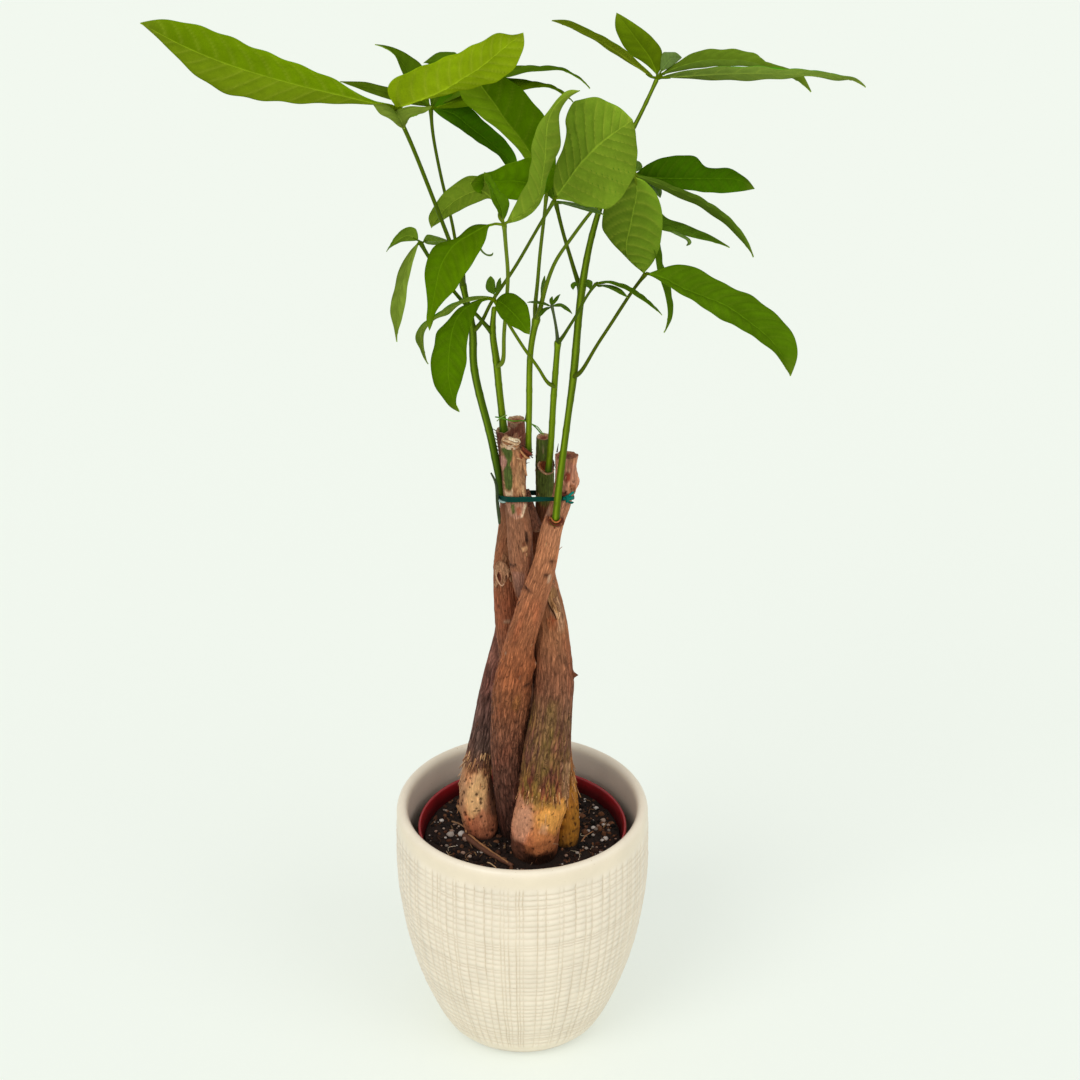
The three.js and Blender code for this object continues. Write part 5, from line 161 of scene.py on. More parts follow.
     [(60.5,-18,551.5),(61.5,-18.2,550.8),(62.4,-17.9,549.9),(63.3,-17.4,548.9),(64.3,-16.8,547.8),(65.2,-16,546.6),(66,-15.1,545.2),(66.9,-14,543.8),(67.8,-12.8,542.3),(68.6,-11.4,540.8),(69.6,-9.9,539.2),(70.5,-8.2,537.6),(71.5,-6.4,535.9),(72.4,-4.4,534.1),(73.4,-2,532.2)]),
    'g2': ('stalk_sr', 'up',
     [(61.5,-11,547.1),(64,-10.2,540.8),(66.2,-9.4,534.3),(68,-8.6,527.7),(69.5,-7.9,520.9),(70.8,-7.1,514.1),(71.8,-6.3,507.2),(72.8,-5.5,500.2),(74.2,-4.7,493.4),(76.4,-3.9,486.7),(78.1,-3.1,479.8),(79.5,-2.4,472.8),(80.1,-1.6,465.7),(79.2,-0.8,458.7),(76.9,0,451.8)],
     [(61.9,-11,547.2),(65,-7.9,540.1),(67.7,-5.7,533),(69.7,-3.7,525.9),(71.4,-2,518.6),(72.8,-0.6,511.4),(73.8,0.6,504.2),(74.6,1.5,497),(75.9,2.2,490.1),(78.1,2.5,483.5),(79.8,2.7,476.9),(81,2.6,470.1),(81.4,2.2,463.6),(80,1.5,457.5),(76.9,0,451.8)],
     [(61.1,-11,547.1),(62.9,-12.5,541.6),(64.6,-13.2,535.7),(66.1,-13.6,529.7),(67.6,-13.7,523.4),(69,-13.5,517),(69.9,-13.2,510.4),(70.7,-12.5,503.5),(71.9,-11.6,496.7),(73.7,-10.4,489.7),(75.5,-9,482.6),(77.3,-7.3,475.3),(78.4,-5.3,467.8),(78.1,-3.1,460),(76.9,0,451.8)]),
    'g1': ('stalk_g', 'up',
     [(67.1,-24.5,499),(73.6,-25.6,497.8),(79.8,-26.9,495.1),(85.8,-28.3,492.2),(92.1,-29.8,490.2),(98.5,-31.4,488.2),(104.8,-33.1,486.3),(110.7,-35,483.6),(116.3,-37,480.2),(121.7,-39.1,476.6),(127.1,-41.3,472.9),(132,-43.7,468.8),(135.8,-46.2,464),(139.1,-48.8,458.7),(141.7,-51.5,452.7)],
     [(67.1,-24.5,499.4),(74.5,-21.7,501),(82,-20.5,502.4),(89.9,-19.8,501.1),(97.2,-19.8,497.3),(104.2,-20.3,493.1),(111.3,-21.4,489.6),(118.7,-23,487),(125.5,-25.2,483.6),(131.8,-28,479.4),(137.8,-31.4,475.1),(142.5,-35.3,470.1),(145.4,-39.8,464.1),(144.8,-44.9,458.2),(141.7,-51.5,452.7)],
     [(67.1,-24.5,498.6),(72.8,-28.5,497.1),(78.4,-31.7,494.7),(83.9,-34.6,492.2),(89.7,-37.2,490),(95.2,-39.7,487.2),(100.6,-42,484.1),(106.3,-44,481.4),(112.2,-45.8,479.1),(118,-47.4,476.4),(123.5,-48.8,473),(129,-50,469.2),(134,-51,464.8),(137.9,-51.7,459),(141.7,-51.5,452.7)]),
    'h1': ('stalk_h', 'up',
     [(40.6,-26,494.8),(43.4,-26.6,495.3),(46.2,-27.1,495.6),(48.9,-27.7,495.3),(51.6,-28.3,494.7),(54.3,-28.9,493.9),(56.8,-29.4,492.9),(59.2,-30,491.6),(61.6,-30.6,490.1),(63.9,-31.1,488.6),(66.1,-31.7,487),(68.3,-32.3,485.3),(70.4,-32.9,483.5),(72.4,-33.4,481.6),(74.4,-34,479.7)],
     [(40.6,-26,495.1),(43.5,-24.3,494.8),(46.3,-23.4,494.5),(49.1,-22.8,493.7),(51.9,-22.5,492.7),(54.7,-22.4,491.7),(57.3,-22.6,490.5),(59.8,-23,489.1),(62.2,-23.7,487.7),(64.5,-24.7,486.3),(66.6,-25.9,484.9),(68.7,-27.4,483.5),(70.8,-29.1,482.1),(72.7,-31.2,480.8),(74.4,-34,479.7)],
     [(40.6,-26,494.4),(43.3,-28.8,495.8),(46,-30.9,496.7),(48.6,-32.6,496.7),(51.2,-34.1,496.3),(53.7,-35.3,495.8),(56.1,-36.3,494.9),(58.5,-37,493.6),(60.8,-37.4,492.1),(63.1,-37.6,490.5),(65.4,-37.5,488.8),(67.7,-37.2,486.8),(69.9,-36.6,484.7),(72.2,-35.7,482.4),(74.4,-34,479.7)]),
    'h2': ('stalk_h', 'up',
     [(40.6,-26,493.2),(41.8,-27,493.6),(43.1,-28,493.9),(44.3,-29,494.1),(45.5,-30,494.4),(46.7,-31,494.6),(47.9,-32,494.7),(49,-33,494.7),(50.1,-34,494.7),(51.2,-35,494.6),(52.3,-36,494.3),(53.3,-37,494),(54.2,-38,493.7),(55.2,-39,493.3),(56.1,-40,492.9)],
     [(40.6,-26,493.6),(41.9,-25.4,493.2),(43.2,-25.3,493.2),(44.5,-25.5,493.2),(45.8,-25.8,493.3),(47.1,-26.4,493.4),(48.4,-27.1,493.5),(49.7,-28,493.5),(50.9,-29.1,493.5),(52,-30.4,493.5),(53,-31.8,493.4),(53.9,-33.5,493.2),(54.7,-35.3,493),(55.5,-37.4,492.8),(56.1,-40,492.9)],
     [(40.5,-26,492.8),(41.7,-28.6,493.9),(42.9,-30.7,494.7),(44,-32.5,495.3),(45.1,-34.2,495.7),(46.2,-35.6,496),(47.3,-36.9,496),(48.4,-38,496),(49.5,-38.9,495.8),(50.5,-39.6,495.5),(51.6,-40.2,495.1),(52.7,-40.5,494.7),(53.8,-40.7,494.2),(54.9,-40.6,493.7),(56.1,-40,492.9)]),
    'j1': ('stalk_j', 'up',
     [(-53.4,-35,521.3),(-55.3,-37.4,518.8),(-56.9,-39.6,516.2),(-58.2,-41.7,513.3),(-59.3,-43.7,510.3),(-60.4,-45.6,507.2),(-61.5,-47.4,504.1),(-62.4,-49,500.8),(-63,-50.5,497.5),(-63.4,-51.9,494),(-63.7,-53.2,490.4),(-63.9,-54.3,486.8),(-64.2,-55.3,483.1),(-64.4,-56.2,479.3),(-64.5,-57,475.5)],
     [(-53.7,-35,521.6),(-56.5,-36.1,518.9),(-58.8,-37.5,516.2),(-61,-38.9,513.2),(-62.8,-40.4,510),(-64,-41.9,506.7),(-64.8,-43.4,503.1),(-65.7,-45,499.6),(-66.8,-46.6,496.2),(-67.4,-48.2,492.7),(-67.7,-49.8,489.1),(-67,-51.5,485.7),(-65.9,-53.2,482.2),(-65.2,-54.9,478.8),(-64.5,-57,475.5)],
     [(-53,-35,521.1),(-54,-40,519.6),(-55,-43.9,517.5),(-55.9,-47.3,515.3),(-56.8,-50.4,512.8),(-57.6,-53,510),(-58.2,-55.2,507.1),(-58.7,-57,503.9),(-59.3,-58.4,500.5),(-59.9,-59.3,496.9),(-60.7,-59.8,493.1),(-61.7,-59.9,489.1),(-63,-59.6,485),(-63.9,-58.8,480.6),(-64.5,-57,475.5)]),
    'j2': ('stalk_j', 'down',
     [(-53.3,-31,521.8),(-54.7,-29.9,522.4),(-56,-28.9,522.8),(-57.3,-27.9,522.9),(-58.7,-27.1,522.7),(-60,-26.3,522.1),(-61.4,-25.6,521.1),(-62.8,-25,520),(-64.1,-24.5,518.8),(-65.2,-24,517.6),(-66.4,-23.7,516.5),(-67.4,-23.4,515.2),(-68.5,-23.2,513.9),(-69.4,-23,512.6),(-70.3,-23,511.2)],
     [(-53.1,-31,522.5),(-53.2,-31.8,525.5),(-53.7,-32.1,527.6),(-54.5,-32.1,528.9),(-56.5,-32.1,529.8),(-58.4,-31.9,529.6),(-60.3,-31.5,528.6),(-61.9,-31,527.3),(-63.4,-30.4,525.5),(-64.8,-29.6,523.5),(-66,-28.6,521.3),(-67,-27.6,518.9),(-68,-26.4,516.5),(-69.2,-25,514),(-70.3,-23,511.2)],
     [(-53.5,-31,521.4),(-54.9,-28,519.8),(-56.2,-25.7,518.6),(-57.6,-23.7,517.6),(-59,-22.1,516.8),(-60.3,-20.8,516.1),(-61.6,-19.7,515.5),(-62.9,-19,514.8),(-64.1,-18.6,514),(-65.3,-18.5,513.3),(-66.4,-18.7,512.8),(-67.5,-19.2,512.2),(-68.5,-20,511.8),(-69.5,-21.1,511.3),(-70.3,-23,511.2)]),
    'j3': ('stalk_j', 'down',
     [(-50.4,-31,521.1),(-49.5,-29.9,520.6),(-48.6,-28.7,520.2),(-47.8,-27.6,519.7),(-46.9,-26.4,519.2),(-46,-25.3,518.7),(-45.1,-24.1,518.2),(-44.2,-23,517.7),(-43.4,-21.9,517.1),(-42.5,-20.7,516.6),(-41.6,-19.6,516.1),(-40.7,-18.4,515.5),(-39.8,-17.3,515),(-38.9,-16.1,514.4),(-38.1,-15,513.9)],
     [(-50.4,-31,521.7),(-49.8,-31.5,523.3),(-49.2,-31.4,524.3),(-48.4,-31.1,524.9),(-47.7,-30.6,524.7),(-46.7,-29.9,524.3),(-45.7,-29,523.6),(-44.6,-28,522.8),(-43.6,-26.8,521.9),(-42.7,-25.3,520.9),(-41.7,-23.7,519.7),(-40.8,-21.9,518.5),(-39.9,-20,517.2),(-39,-17.8,515.7),(-38.1,-15,513.9)],
     [(-50.4,-31,520.5),(-49.6,-28.6,518.7),(-48.8,-26.6,517.3),(-48,-24.8,516.2),(-47.1,-23.1,515.3),(-46.2,-21.6,514.4),(-45.2,-20.2,513.7),(-44.3,-19,513.1),(-43.4,-17.9,512.6),(-42.5,-17,512.3),(-41.6,-16.2,512.2),(-40.7,-15.6,512.3),(-39.8,-15.1,512.6),(-38.9,-14.8,513.1),(-38.1,-15,513.9)]),
    'k1': ('stalk_k', 'up',
     [(-16,-30.7,487.4),(-21,-34,487.9),(-25.7,-37.1,487.4),(-29.9,-40,485.6),(-33,-42.8,482.5),(-35,-45.4,478.6),(-36.2,-47.9,474.2),(-37,-50.2,469.8),(-37.5,-52.3,465.1),(-37.8,-54.3,460.4),(-37.8,-56.1,455.6),(-37.1,-57.8,450.8),(-36,-59.2,445.9),(-34.3,-60.5,441.2),(-32.1,-61.7,436.6)],
     [(-16,-30.7,487.8),(-21.8,-32.4,488),(-27.4,-34.4,486.5),(-32.6,-36.5,484.8),(-36.6,-38.7,481),(-40.5,-40.8,477),(-44.2,-43,473.6),(-45.1,-45.2,468),(-46.6,-47.4,462.6),(-47.2,-49.7,457.3),(-46.2,-52,451.8),(-44.4,-54.2,446.8),(-40.9,-56.6,442.5),(-37.1,-58.9,438.5),(-32.1,-61.7,436.6)],
     [(-16,-30.7,486.9),(-20.1,-33,486.7),(-22.6,-35.5,483.1),(-24.6,-37.9,479.7),(-26.2,-40.3,476),(-27.3,-42.7,472.2),(-28,-45,468.2),(-28.1,-47.2,464.2),(-28.2,-49.4,460.2),(-29.2,-51.5,456.2),(-30.4,-53.6,452.2),(-31.8,-55.6,448.4),(-33.3,-57.6,444.4),(-33.6,-59.6,440.3),(-32.1,-61.7,436.6)]),
    'k2': ('stalk_k', 'up',
     [(-12.4,-29.7,486),(-10.7,-31.8,486.1),(-9.2,-33.8,486.1),(-7.8,-35.8,485.9),(-6.5,-37.6,485.5),(-5.2,-39.4,484.9),(-3.9,-41.1,484.4),(-2.7,-42.7,483.8),(-1.5,-44.2,483),(-0.4,-45.7,482.2),(0.7,-47,481.4),(1.7,-48.3,480.4),(2.8,-49.5,479.4),(3.8,-50.7,478.3),(4.7,-51.7,477.2)],
     [(-12.5,-29.7,486.7),(-10.4,-30.8,489.5),(-8.2,-32.2,491.5),(-5.9,-33.7,492.5),(-3.4,-35.1,492.7),(-1.3,-36.6,492.1),(0.7,-38.1,491.1),(2.5,-39.7,490),(3.8,-41.3,488.4),(4.4,-42.9,486.5),(4.9,-44.6,484.6),(5.2,-46.2,482.7),(5.3,-47.9,480.8),(5.2,-49.7,478.9),(4.7,-51.7,477.2)],
     [(-12.6,-29.7,485.4),(-13.2,-31.5,484.2),(-13.1,-33.3,483),(-12.2,-35.1,481.9),(-11.2,-36.8,480.9),(-10.1,-38.5,480),(-8.7,-40.1,479.4),(-7.2,-41.7,478.9),(-5.6,-43.2,478.4),(-3.9,-44.8,478.1),(-2.2,-46.2,477.9),(-0.4,-47.6,477.7),(1.2,-49,477.2),(2.8,-50.3,477),(4.7,-51.7,477.2)]),
    'k3': ('stalk_k', 'down',
     [(-16.1,-26.7,486.6),(-20.4,-26.3,486.2),(-24.6,-26,485.5),(-28.8,-25.6,484.2),(-32.9,-25.3,482.4),(-36.7,-24.9,480),(-40.4,-24.6,477.2),(-44.1,-24.2,474.5),(-47.7,-23.8,471.5),(-50.9,-23.5,468),(-53.3,-23.1,463.6),(-53,-22.8,458.7),(-52.3,-22.4,453.7),(-51.3,-22.1,448.8),(-49.6,-21.7,444.2)],
     [(-16.1,-26.7,487),(-20.6,-28.3,488.1),(-25.1,-29.2,488.2),(-29.4,-29.8,487.2),(-33.6,-30.3,485.5),(-37.7,-30.5,483.4),(-41.4,-30.4,480.5),(-45,-30.2,477.1),(-49.1,-29.7,474.6),(-52.5,-29,470.9),(-55.1,-28.1,466),(-55.4,-27,460.6),(-53.5,-25.6,455.4),(-51.9,-24,449.8),(-49.6,-21.7,444.2)],
     [(-16.1,-26.7,486.1),(-20.3,-24.7,484.7),(-24.3,-23.3,483.1),(-28.4,-22.1,481.4),(-32.3,-21.1,479.2),(-35.6,-20.3,476),(-38.8,-19.7,472.8),(-42.8,-19.2,470.9),(-46.4,-18.9,468.6),(-49.5,-18.9,465.3),(-51.4,-19,461.2),(-51.7,-19.3,456.7),(-51.5,-19.7,452.3),(-50.7,-20.4,448.1),(-49.6,-21.7,444.2)]),
    'k4': ('stalk_k', 'up',
     [(-14,-24.7,487.4),(-14.1,-23.8,487.7),(-14.2,-22.9,488.1),(-14.3,-22.1,488.4),(-14.4,-21.3,488.8),(-14.5,-20.6,489.2),(-14.7,-19.9,489.6),(-14.8,-19.2,490),(-15,-18.6,490.5),(-15.2,-18,490.9),(-15.3,-17.5,491.4),(-15.5,-17,491.9),(-15.6,-16.5,492.4),(-15.8,-16.1,493),(-15.9,-15.7,493.5)],
     [(-14.3,-24.7,487.4),(-15.3,-23.8,487.2),(-16.1,-22.9,487.2),(-16.9,-22.1,487.2),(-17.5,-21.3,487.4),(-18.1,-20.6,487.9),(-18.4,-19.9,488.5),(-18.5,-19.2,489.1),(-18.4,-18.6,489.8),(-18.2,-18,490.6),(-18,-17.5,491.2),(-17.7,-17,491.9),(-17.2,-16.5,492.4),(-16.6,-16.1,493),(-15.9,-15.7,493.5)],
     [(-13.6,-24.7,487.4),(-13.5,-23.8,487.8),(-13.3,-22.9,488.2),(-13.3,-22.1,488.6),(-13.2,-21.3,489),(-13.2,-20.6,489.5),(-13.3,-19.9,490),(-13.4,-19.2,490.5),(-13.5,-18.6,491),(-13.6,-18,491.5),(-13.8,-17.5,491.9),(-14.2,-17,492.4),(-14.7,-16.5,492.8),(-15.2,-16.1,493.2),(-15.9,-15.7,493.5)]),
    'm1': ('shoot_5', 'down',
     [(69.7,37,584.4),(66.1,38.3,586.5),(62.5,39.6,588.7),(59,40.9,591),(55.6,42.1,593.3),(52,43.4,595.5),(48.3,44.7,597.5),(44.5,46,599.4),(40.7,47.3,601.1),(36.8,48.6,602.7),(32.8,49.9,604.2),(28.8,51.1,605.6),(24.8,52.4,606.8),(20.7,53.7,607.9),(16.5,55,608.9)],
     [(69.9,37,584.8),(66.6,35.4,588.9),(63.3,34.8,592.4),(60,34.5,595.8),(56.6,34.7,599),(53.2,35.1,601.8),(49.4,35.9,604),(45.5,37,605.8),(41.5,38.5,607.3),(37.5,40.2,608.8),(33.6,42.4,610.1),(29.5,44.8,611),(25.3,47.6,611.7),(21,50.8,610.9),(16.5,55,608.9)],
     [(69.5,37,584.1),(65.9,41.2,584.8),(62.2,44.4,585.9),(58.5,47.2,587.1),(54.7,49.6,588.4),(51,51.8,590),(47.4,53.5,591.9),(43.8,55,594),(40.1,56.1,596.1),(36.3,56.9,598.1),(32.5,57.3,600.2),(28.6,57.5,602.3),(24.6,57.2,604.4),(20.6,56.6,606.5),(16.5,55,608.9)]),
    'm2': ('shoot_5', 'up',
     [(71.8,38,585.4),(71,41.8,586.6),(69.9,45.4,587.8),(68.8,48.9,589.1),(67.4,52.1,590.3),(65.8,55.1,591.5),(64.2,57.9,592.7),(62.6,60.5,594.1),(60.9,62.9,595.5),(59.3,65.1,597),(57.6,67.1,598.6),(55.9,68.9,600.3),(54.2,70.4,602),(52.6,71.8,603.9),(50.9,73,605.8)],
     [(71.4,38,585.4),(69.4,41.8,586),(67.3,45.4,586.7),(65,48.9,587.2),(62.6,52.1,587.6),(60,55.1,587.9),(57.8,57.9,588.6),(55.8,60.5,589.9),(54.1,62.9,591.6),(52.7,65.1,593.6),(51.4,67.1,595.7),(50.4,68.9,598),(50.1,70.4,600.5),(50.3,71.8,603.1),(50.9,73,605.8)],
     [(72.4,38,585.7),(74.1,41.8,587.2),(74.9,45.4,588.8),(74.9,48.9,590.8),(74.6,52.1,592.8),(73.3,55.1,594.5),(71.2,57.9,596.1),(69.1,60.5,597.6),(66.8,62.9,598.8),(64.3,65.1,600),(61.7,67.1,601.1),(59.1,68.9,602.3),(56.4,70.4,603.5),(53.7,71.8,604.7),(50.9,73,605.8)]),
    'm4': ('shoot_5', 'up',
     [(75,39,585.3),(80.5,41.8,586.9),(86.2,44.4,587.9),(92.1,46.8,588.5),(98.1,49.1,588.7),(104.1,51.2,588),(110.3,53.2,587.1),(116.4,55,586.2),(122.4,56.6,584.3),(128.3,58.1,581.7),(134.3,59.4,579.3),(140.2,60.6,576.7),(145.7,61.5,573.6),(150.8,62.3,569.5),(155.6,63,564.6)],
     [(74.8,39,585.8),(80.2,47,586.6),(85.9,52.9,587.7),(91.8,58.1,589.2),(98.1,62.4,588.9),(104.8,66,587.8),(111.5,68.9,586.6),(118.4,71,585),(124.6,72.3,583.1),(130,72.9,578.3),(136.1,72.7,575.7),(142.6,71.8,574.4),(148.7,70.1,573.6),(152.9,67.5,569.1),(155.6,63,564.6)],
     [(75,39,584.8),(80.7,39.2,586.1),(86.5,40.1,586.9),(92.3,41.2,587.3),(98.2,42.5,587.5),(104.1,43.8,587.4),(110,45.4,586.8),(116,47,586.1),(122,48.8,585.4),(127.9,50.7,583.5),(133.8,52.8,581),(139.6,54.9,578.1),(145.3,57.3,574.6),(150.7,59.8,570.3),(155.6,63,564.6)]),
    'm5': ('shoot_5', 'down',
     [(75,36,584.8),(82.7,36,585.5),(90.3,36,586.1),(98,35.8,586.7),(105.7,35.6,587.2),(113.4,35.3,587.5),(121.1,35,587.8),(128.8,34.5,588),(136.5,34,587.9),(144.1,33.3,587.7),(151.8,32.6,587.5),(159.4,31.8,587.2),(167.1,31,586.9),(174.5,30,585.7),(181.5,29,582.1)],
     [(75,36,585.2),(82.4,32.8,588.6),(90,30.6,591),(97.6,28.8,592.8),(105.3,27.3,594.1),(113,26.1,594.7),(120.7,25.1,595.1),(128.4,24.5,595.1),(136.2,24.1,594.3),(143.9,24.1,593.9),(151.7,24.3,593.4),(159.5,24.8,592.3),(167.2,25.6,590),(175.2,26.8,588.2),(181.5,29,582.1)],
     [(75,36,584.4),(82.8,39.3,582.6),(90.6,41.3,581.2),(98.4,42.9,580.1),(106.3,43.9,579.3),(114,44.6,579),(121.8,44.8,578.9),(129.5,44.5,579.3),(137.2,43.8,580.3),(144.8,42.6,581.6),(152.4,40.9,582.8),(159.9,38.9,582.9),(167.3,36.3,582.3),(174.6,33.3,584.1),(181.5,29,582.1)]),
    'm3': ('shoot_5', 'up',
     [(74.2,39,587),(74.8,40.4,587.3),(75.4,41.9,587.5),(76,43.3,587.8),(76.7,44.7,588),(77.3,46.1,588.3),(78,47.6,588.6),(78.8,49,588.9),(79.5,50.4,589),(80.4,51.9,588.7),(81.3,53.3,588.2),(82.3,54.7,587.6),(83.4,56.1,587.1),(84.5,57.6,586.5),(85.7,59,585.9)],
     [(73.7,39,587.2),(73.8,41.4,587.9),(73.8,43.5,588.6),(74,45.4,589.3),(74.1,47.2,590),(74.4,48.9,590.9),(75.1,50.5,592),(76,52,592),(77.3,53.4,591.4),(79,54.6,590.9),(80.6,55.8,590.4),(82,56.8,589.9),(83.3,57.7,588.8),(84.5,58.5,587.4),(85.7,59,585.9)],
     [(74.8,39,586.7),(75.6,39.5,586.9),(76.4,40.3,587),(77.3,41.2,587),(78.1,42.2,587),(78.9,43.4,587.1),(79.7,44.6,587),(80.4,46,587),(81.2,47.5,586.9),(82,49.1,586.8),(82.7,50.8,586.7),(83.5,52.6,586.6),(84.2,54.5,586.4),(85,56.6,586.2),(85.7,59,585.9)]),
    'a4': ('stalk_b', 'up',
     [(-48.9,41,566),(-52.3,42.1,566.4),(-55.7,43.3,566.9),(-59.1,44.4,567.5),(-62.4,45.6,568.2),(-65.7,46.7,569.1),(-69,47.9,570),(-72.3,49,570.7),(-75.7,50.1,571.2),(-79.1,51.3,571.6),(-82.6,52.4,571.9),(-86,53.6,572.2),(-89.5,54.7,572.6),(-92.9,55.9,572.9),(-96.4,57,573.2)],
     [(-48.7,41,566.4),(-51.5,43.8,567.9),(-54.4,46,569.4),(-57.6,47.9,570.4),(-60.8,49.7,570.9),(-64.3,51.3,571.1),(-67.9,52.8,571.1),(-71.5,54,571.2),(-75.1,55,571.7),(-78.6,55.9,572.3),(-82.1,56.6,572.8),(-85.7,57.1,572.9),(-89.2,57.4,572.9),(-92.8,57.5,572.9),(-96.4,57,573.2)],
     [(-49.2,41,565.6),(-52.7,40.5,566.2),(-56.1,40.6,566.6),(-59.6,40.9,567.1),(-63,41.4,567.6),(-66.4,42.1,568.2),(-69.7,43,568.9),(-73.1,44,569.5),(-76.4,45.2,570.1),(-79.8,46.7,570.8),(-83.1,48.3,571.4),(-86.4,50.1,572),(-89.7,52,572.5),(-93.1,54.2,572.9),(-96.4,57,573.2)]),
    'f6': ('stalk_sr', 'up',
     [(59.8,-15,553.6),(60.1,-13.9,553.5),(60.3,-12.9,553.5),(60.5,-11.8,553.4),(60.8,-10.7,553.3),(61,-9.6,553.3),(61.2,-8.6,553.2),(61.5,-7.5,553.2),(61.7,-6.4,553.2),(61.8,-5.4,553.1),(61.8,-4.3,553.1),(61.7,-3.2,553),(61.5,-2.1,552.9),(61.2,-1.1,552.9),(60.9,0,552.8)],
     [(59.5,-15,553.6),(59.5,-13.9,553.6),(59.4,-12.9,553.6),(59.4,-11.8,553.6),(59.4,-10.7,553.6),(59.4,-9.6,553.5),(59.4,-8.6,553.5),(59.4,-7.5,553.5),(59.5,-6.4,553.6),(59.5,-5.4,553.6),(59.6,-4.3,553.6),(59.7,-3.2,553.4),(59.9,-2.1,553.3),(60.4,-1.1,553.1),(60.9,0,552.8)],
     [(60.1,-15,553.4),(61.1,-13.9,553.2),(61.9,-12.9,553),(62.5,-11.8,552.9),(63,-10.7,552.8),(63.4,-9.6,552.8),(63.5,-8.6,552.8),(63.6,-7.5,552.8),(63.4,-6.4,553),(63.2,-5.4,553.2),(62.9,-4.3,553.3),(62.5,-3.2,553.2),(62.1,-2.1,553.2),(61.5,-1.1,553),(60.9,0,552.8)]),
    'k5': ('stalk_k', 'up',
     [(-13.2,-24.7,487.3),(-13,-24.3,487.8),(-12.8,-24,488.3),(-12.6,-23.6,488.8),(-12.4,-23.3,489.3),(-12.2,-22.9,489.8),(-12,-22.6,490.3),(-11.8,-22.2,490.9),(-11.6,-21.8,491.4),(-11.4,-21.5,491.9),(-11.3,-21.1,492.4),(-11.1,-20.8,492.9),(-11,-20.4,493.4),(-10.9,-20.1,494),(-10.7,-19.7,494.5)],
     [(-13.5,-24.7,487.4),(-13.4,-23.7,487.7),(-13.4,-22.9,488),(-13.3,-22.2,488.4),(-13.2,-21.6,488.8),(-13.1,-21.1,489.3),(-13,-20.6,489.8),(-12.9,-20.2,490.3),(-12.8,-19.9,490.9),(-12.6,-19.6,491.5),(-12.3,-19.5,492),(-12,-19.4,492.6),(-11.7,-19.3,493.2),(-11.2,-19.4,493.8),(-10.7,-19.7,494.5)],
     [(-12.8,-24.7,487.2),(-12.3,-25,487.9),(-11.9,-25.1,488.6),(-11.5,-25,489.2),(-11.2,-24.9,489.8),(-10.9,-24.8,490.3),(-10.7,-24.5,490.9),(-10.5,-24.2,491.5),(-10.3,-23.8,492.1),(-10.2,-23.3,492.6),(-10.2,-22.8,493.1),(-10.2,-22.2,493.5),(-10.4,-21.5,493.9),(-10.5,-20.7,494.3),(-10.7,-19.7,494.5)]),
    's3b': ('stalk_sr', 'up',
     [(11,-3,474.8),(11,-2.9,475.7),(11,-2.7,476.5),(11.1,-2.6,477.4),(11.1,-2.4,478.2),(11.2,-2.3,479),(11.3,-2.1,479.9),(11.5,-2,480.7),(11.6,-1.9,481.6),(11.8,-1.7,482.4),(12,-1.6,483.2),(12.1,-1.4,484),(12.3,-1.3,484.9),(12.5,-1.1,485.7),(12.6,-1,486.5)],
     [(10.5,-3,474.8),(10.5,-2.2,475.4),(10.5,-1.6,476),(10.5,-1.2,476.7),(10.5,-0.8,477.5),(10.5,-0.4,478.2),(10.5,-0.2,479),(10.7,0,479.9),(10.8,0.1,480.8),(11,0.1,481.7),(11.2,0.1,482.6),(11.5,0,483.5),(11.8,-0.2,484.5),(12.2,-0.5,485.5),(12.6,-1,486.5)],
     [(11.6,-3,474.8),(11.7,-3.5,476),(11.9,-3.8,477),(12.1,-4,478),(12.2,-4.1,479),(12.4,-4.1,479.9),(12.6,-4.1,480.8),(12.8,-4,481.6),(13,-3.8,482.4),(13,-3.6,483.2),(13,-3.2,484),(13,-2.8,484.7),(12.9,-2.4,485.4),(12.8,-1.8,486),(12.6,-1,486.5)]),
    'l1': ('stalk_l', 'up',
     [(15.5,-5,470.6),(14.7,-5.3,471.1),(13.8,-5.6,471.7),(13,-5.9,472.2),(12.1,-6.1,472.6),(11.3,-6.4,473),(10.4,-6.7,473.3),(9.5,-7,473.7),(8.6,-7.3,474),(7.7,-7.6,474.2),(6.9,-7.9,474.4),(6,-8.1,474.5),(5.1,-8.4,474.6),(4.2,-8.7,474.7),(3.3,-9,474.7)],
     [(15.5,-5,470.9),(14.7,-4.3,471.2),(13.9,-4,471.5),(13.1,-3.8,471.9),(12.2,-3.6,472.2),(11.4,-3.7,472.4),(10.5,-3.8,472.6),(9.6,-4,472.9),(8.7,-4.3,473.2),(7.8,-4.8,473.4),(6.9,-5.4,473.7),(6,-6,473.9),(5.1,-6.8,474.2),(4.2,-7.7,474.4),(3.3,-9,474.7)],
     [(15.5,-5,470.2),(14.6,-6.3,471.1),(13.8,-7.2,471.9),(12.9,-8,472.5),(12.1,-8.6,473),(11.2,-9.2,473.5),(10.3,-9.7,473.9),(9.4,-10,474.2),(8.6,-10.2,474.5),(7.7,-10.3,474.7),(6.8,-10.4,474.8),(5.9,-10.2,474.9),(5,-10,475),(4.2,-9.7,474.9),(3.3,-9,474.7)]),
    'l2': ('stalk_l', 'up',
     [(15.7,-5,469.7),(15.1,-5.6,469.8),(14.5,-6.3,469.9),(13.9,-6.9,470),(13.4,-7.6,470),(12.8,-8.2,470),(12.3,-8.9,469.9),(11.9,-9.5,469.8),(11.4,-10.1,469.7),(11,-10.8,469.5),(10.6,-11.4,469.3),(10.2,-12.1,469.1),(9.8,-12.7,468.9),(9.5,-13.4,468.7),(9.1,-14,468.4)],
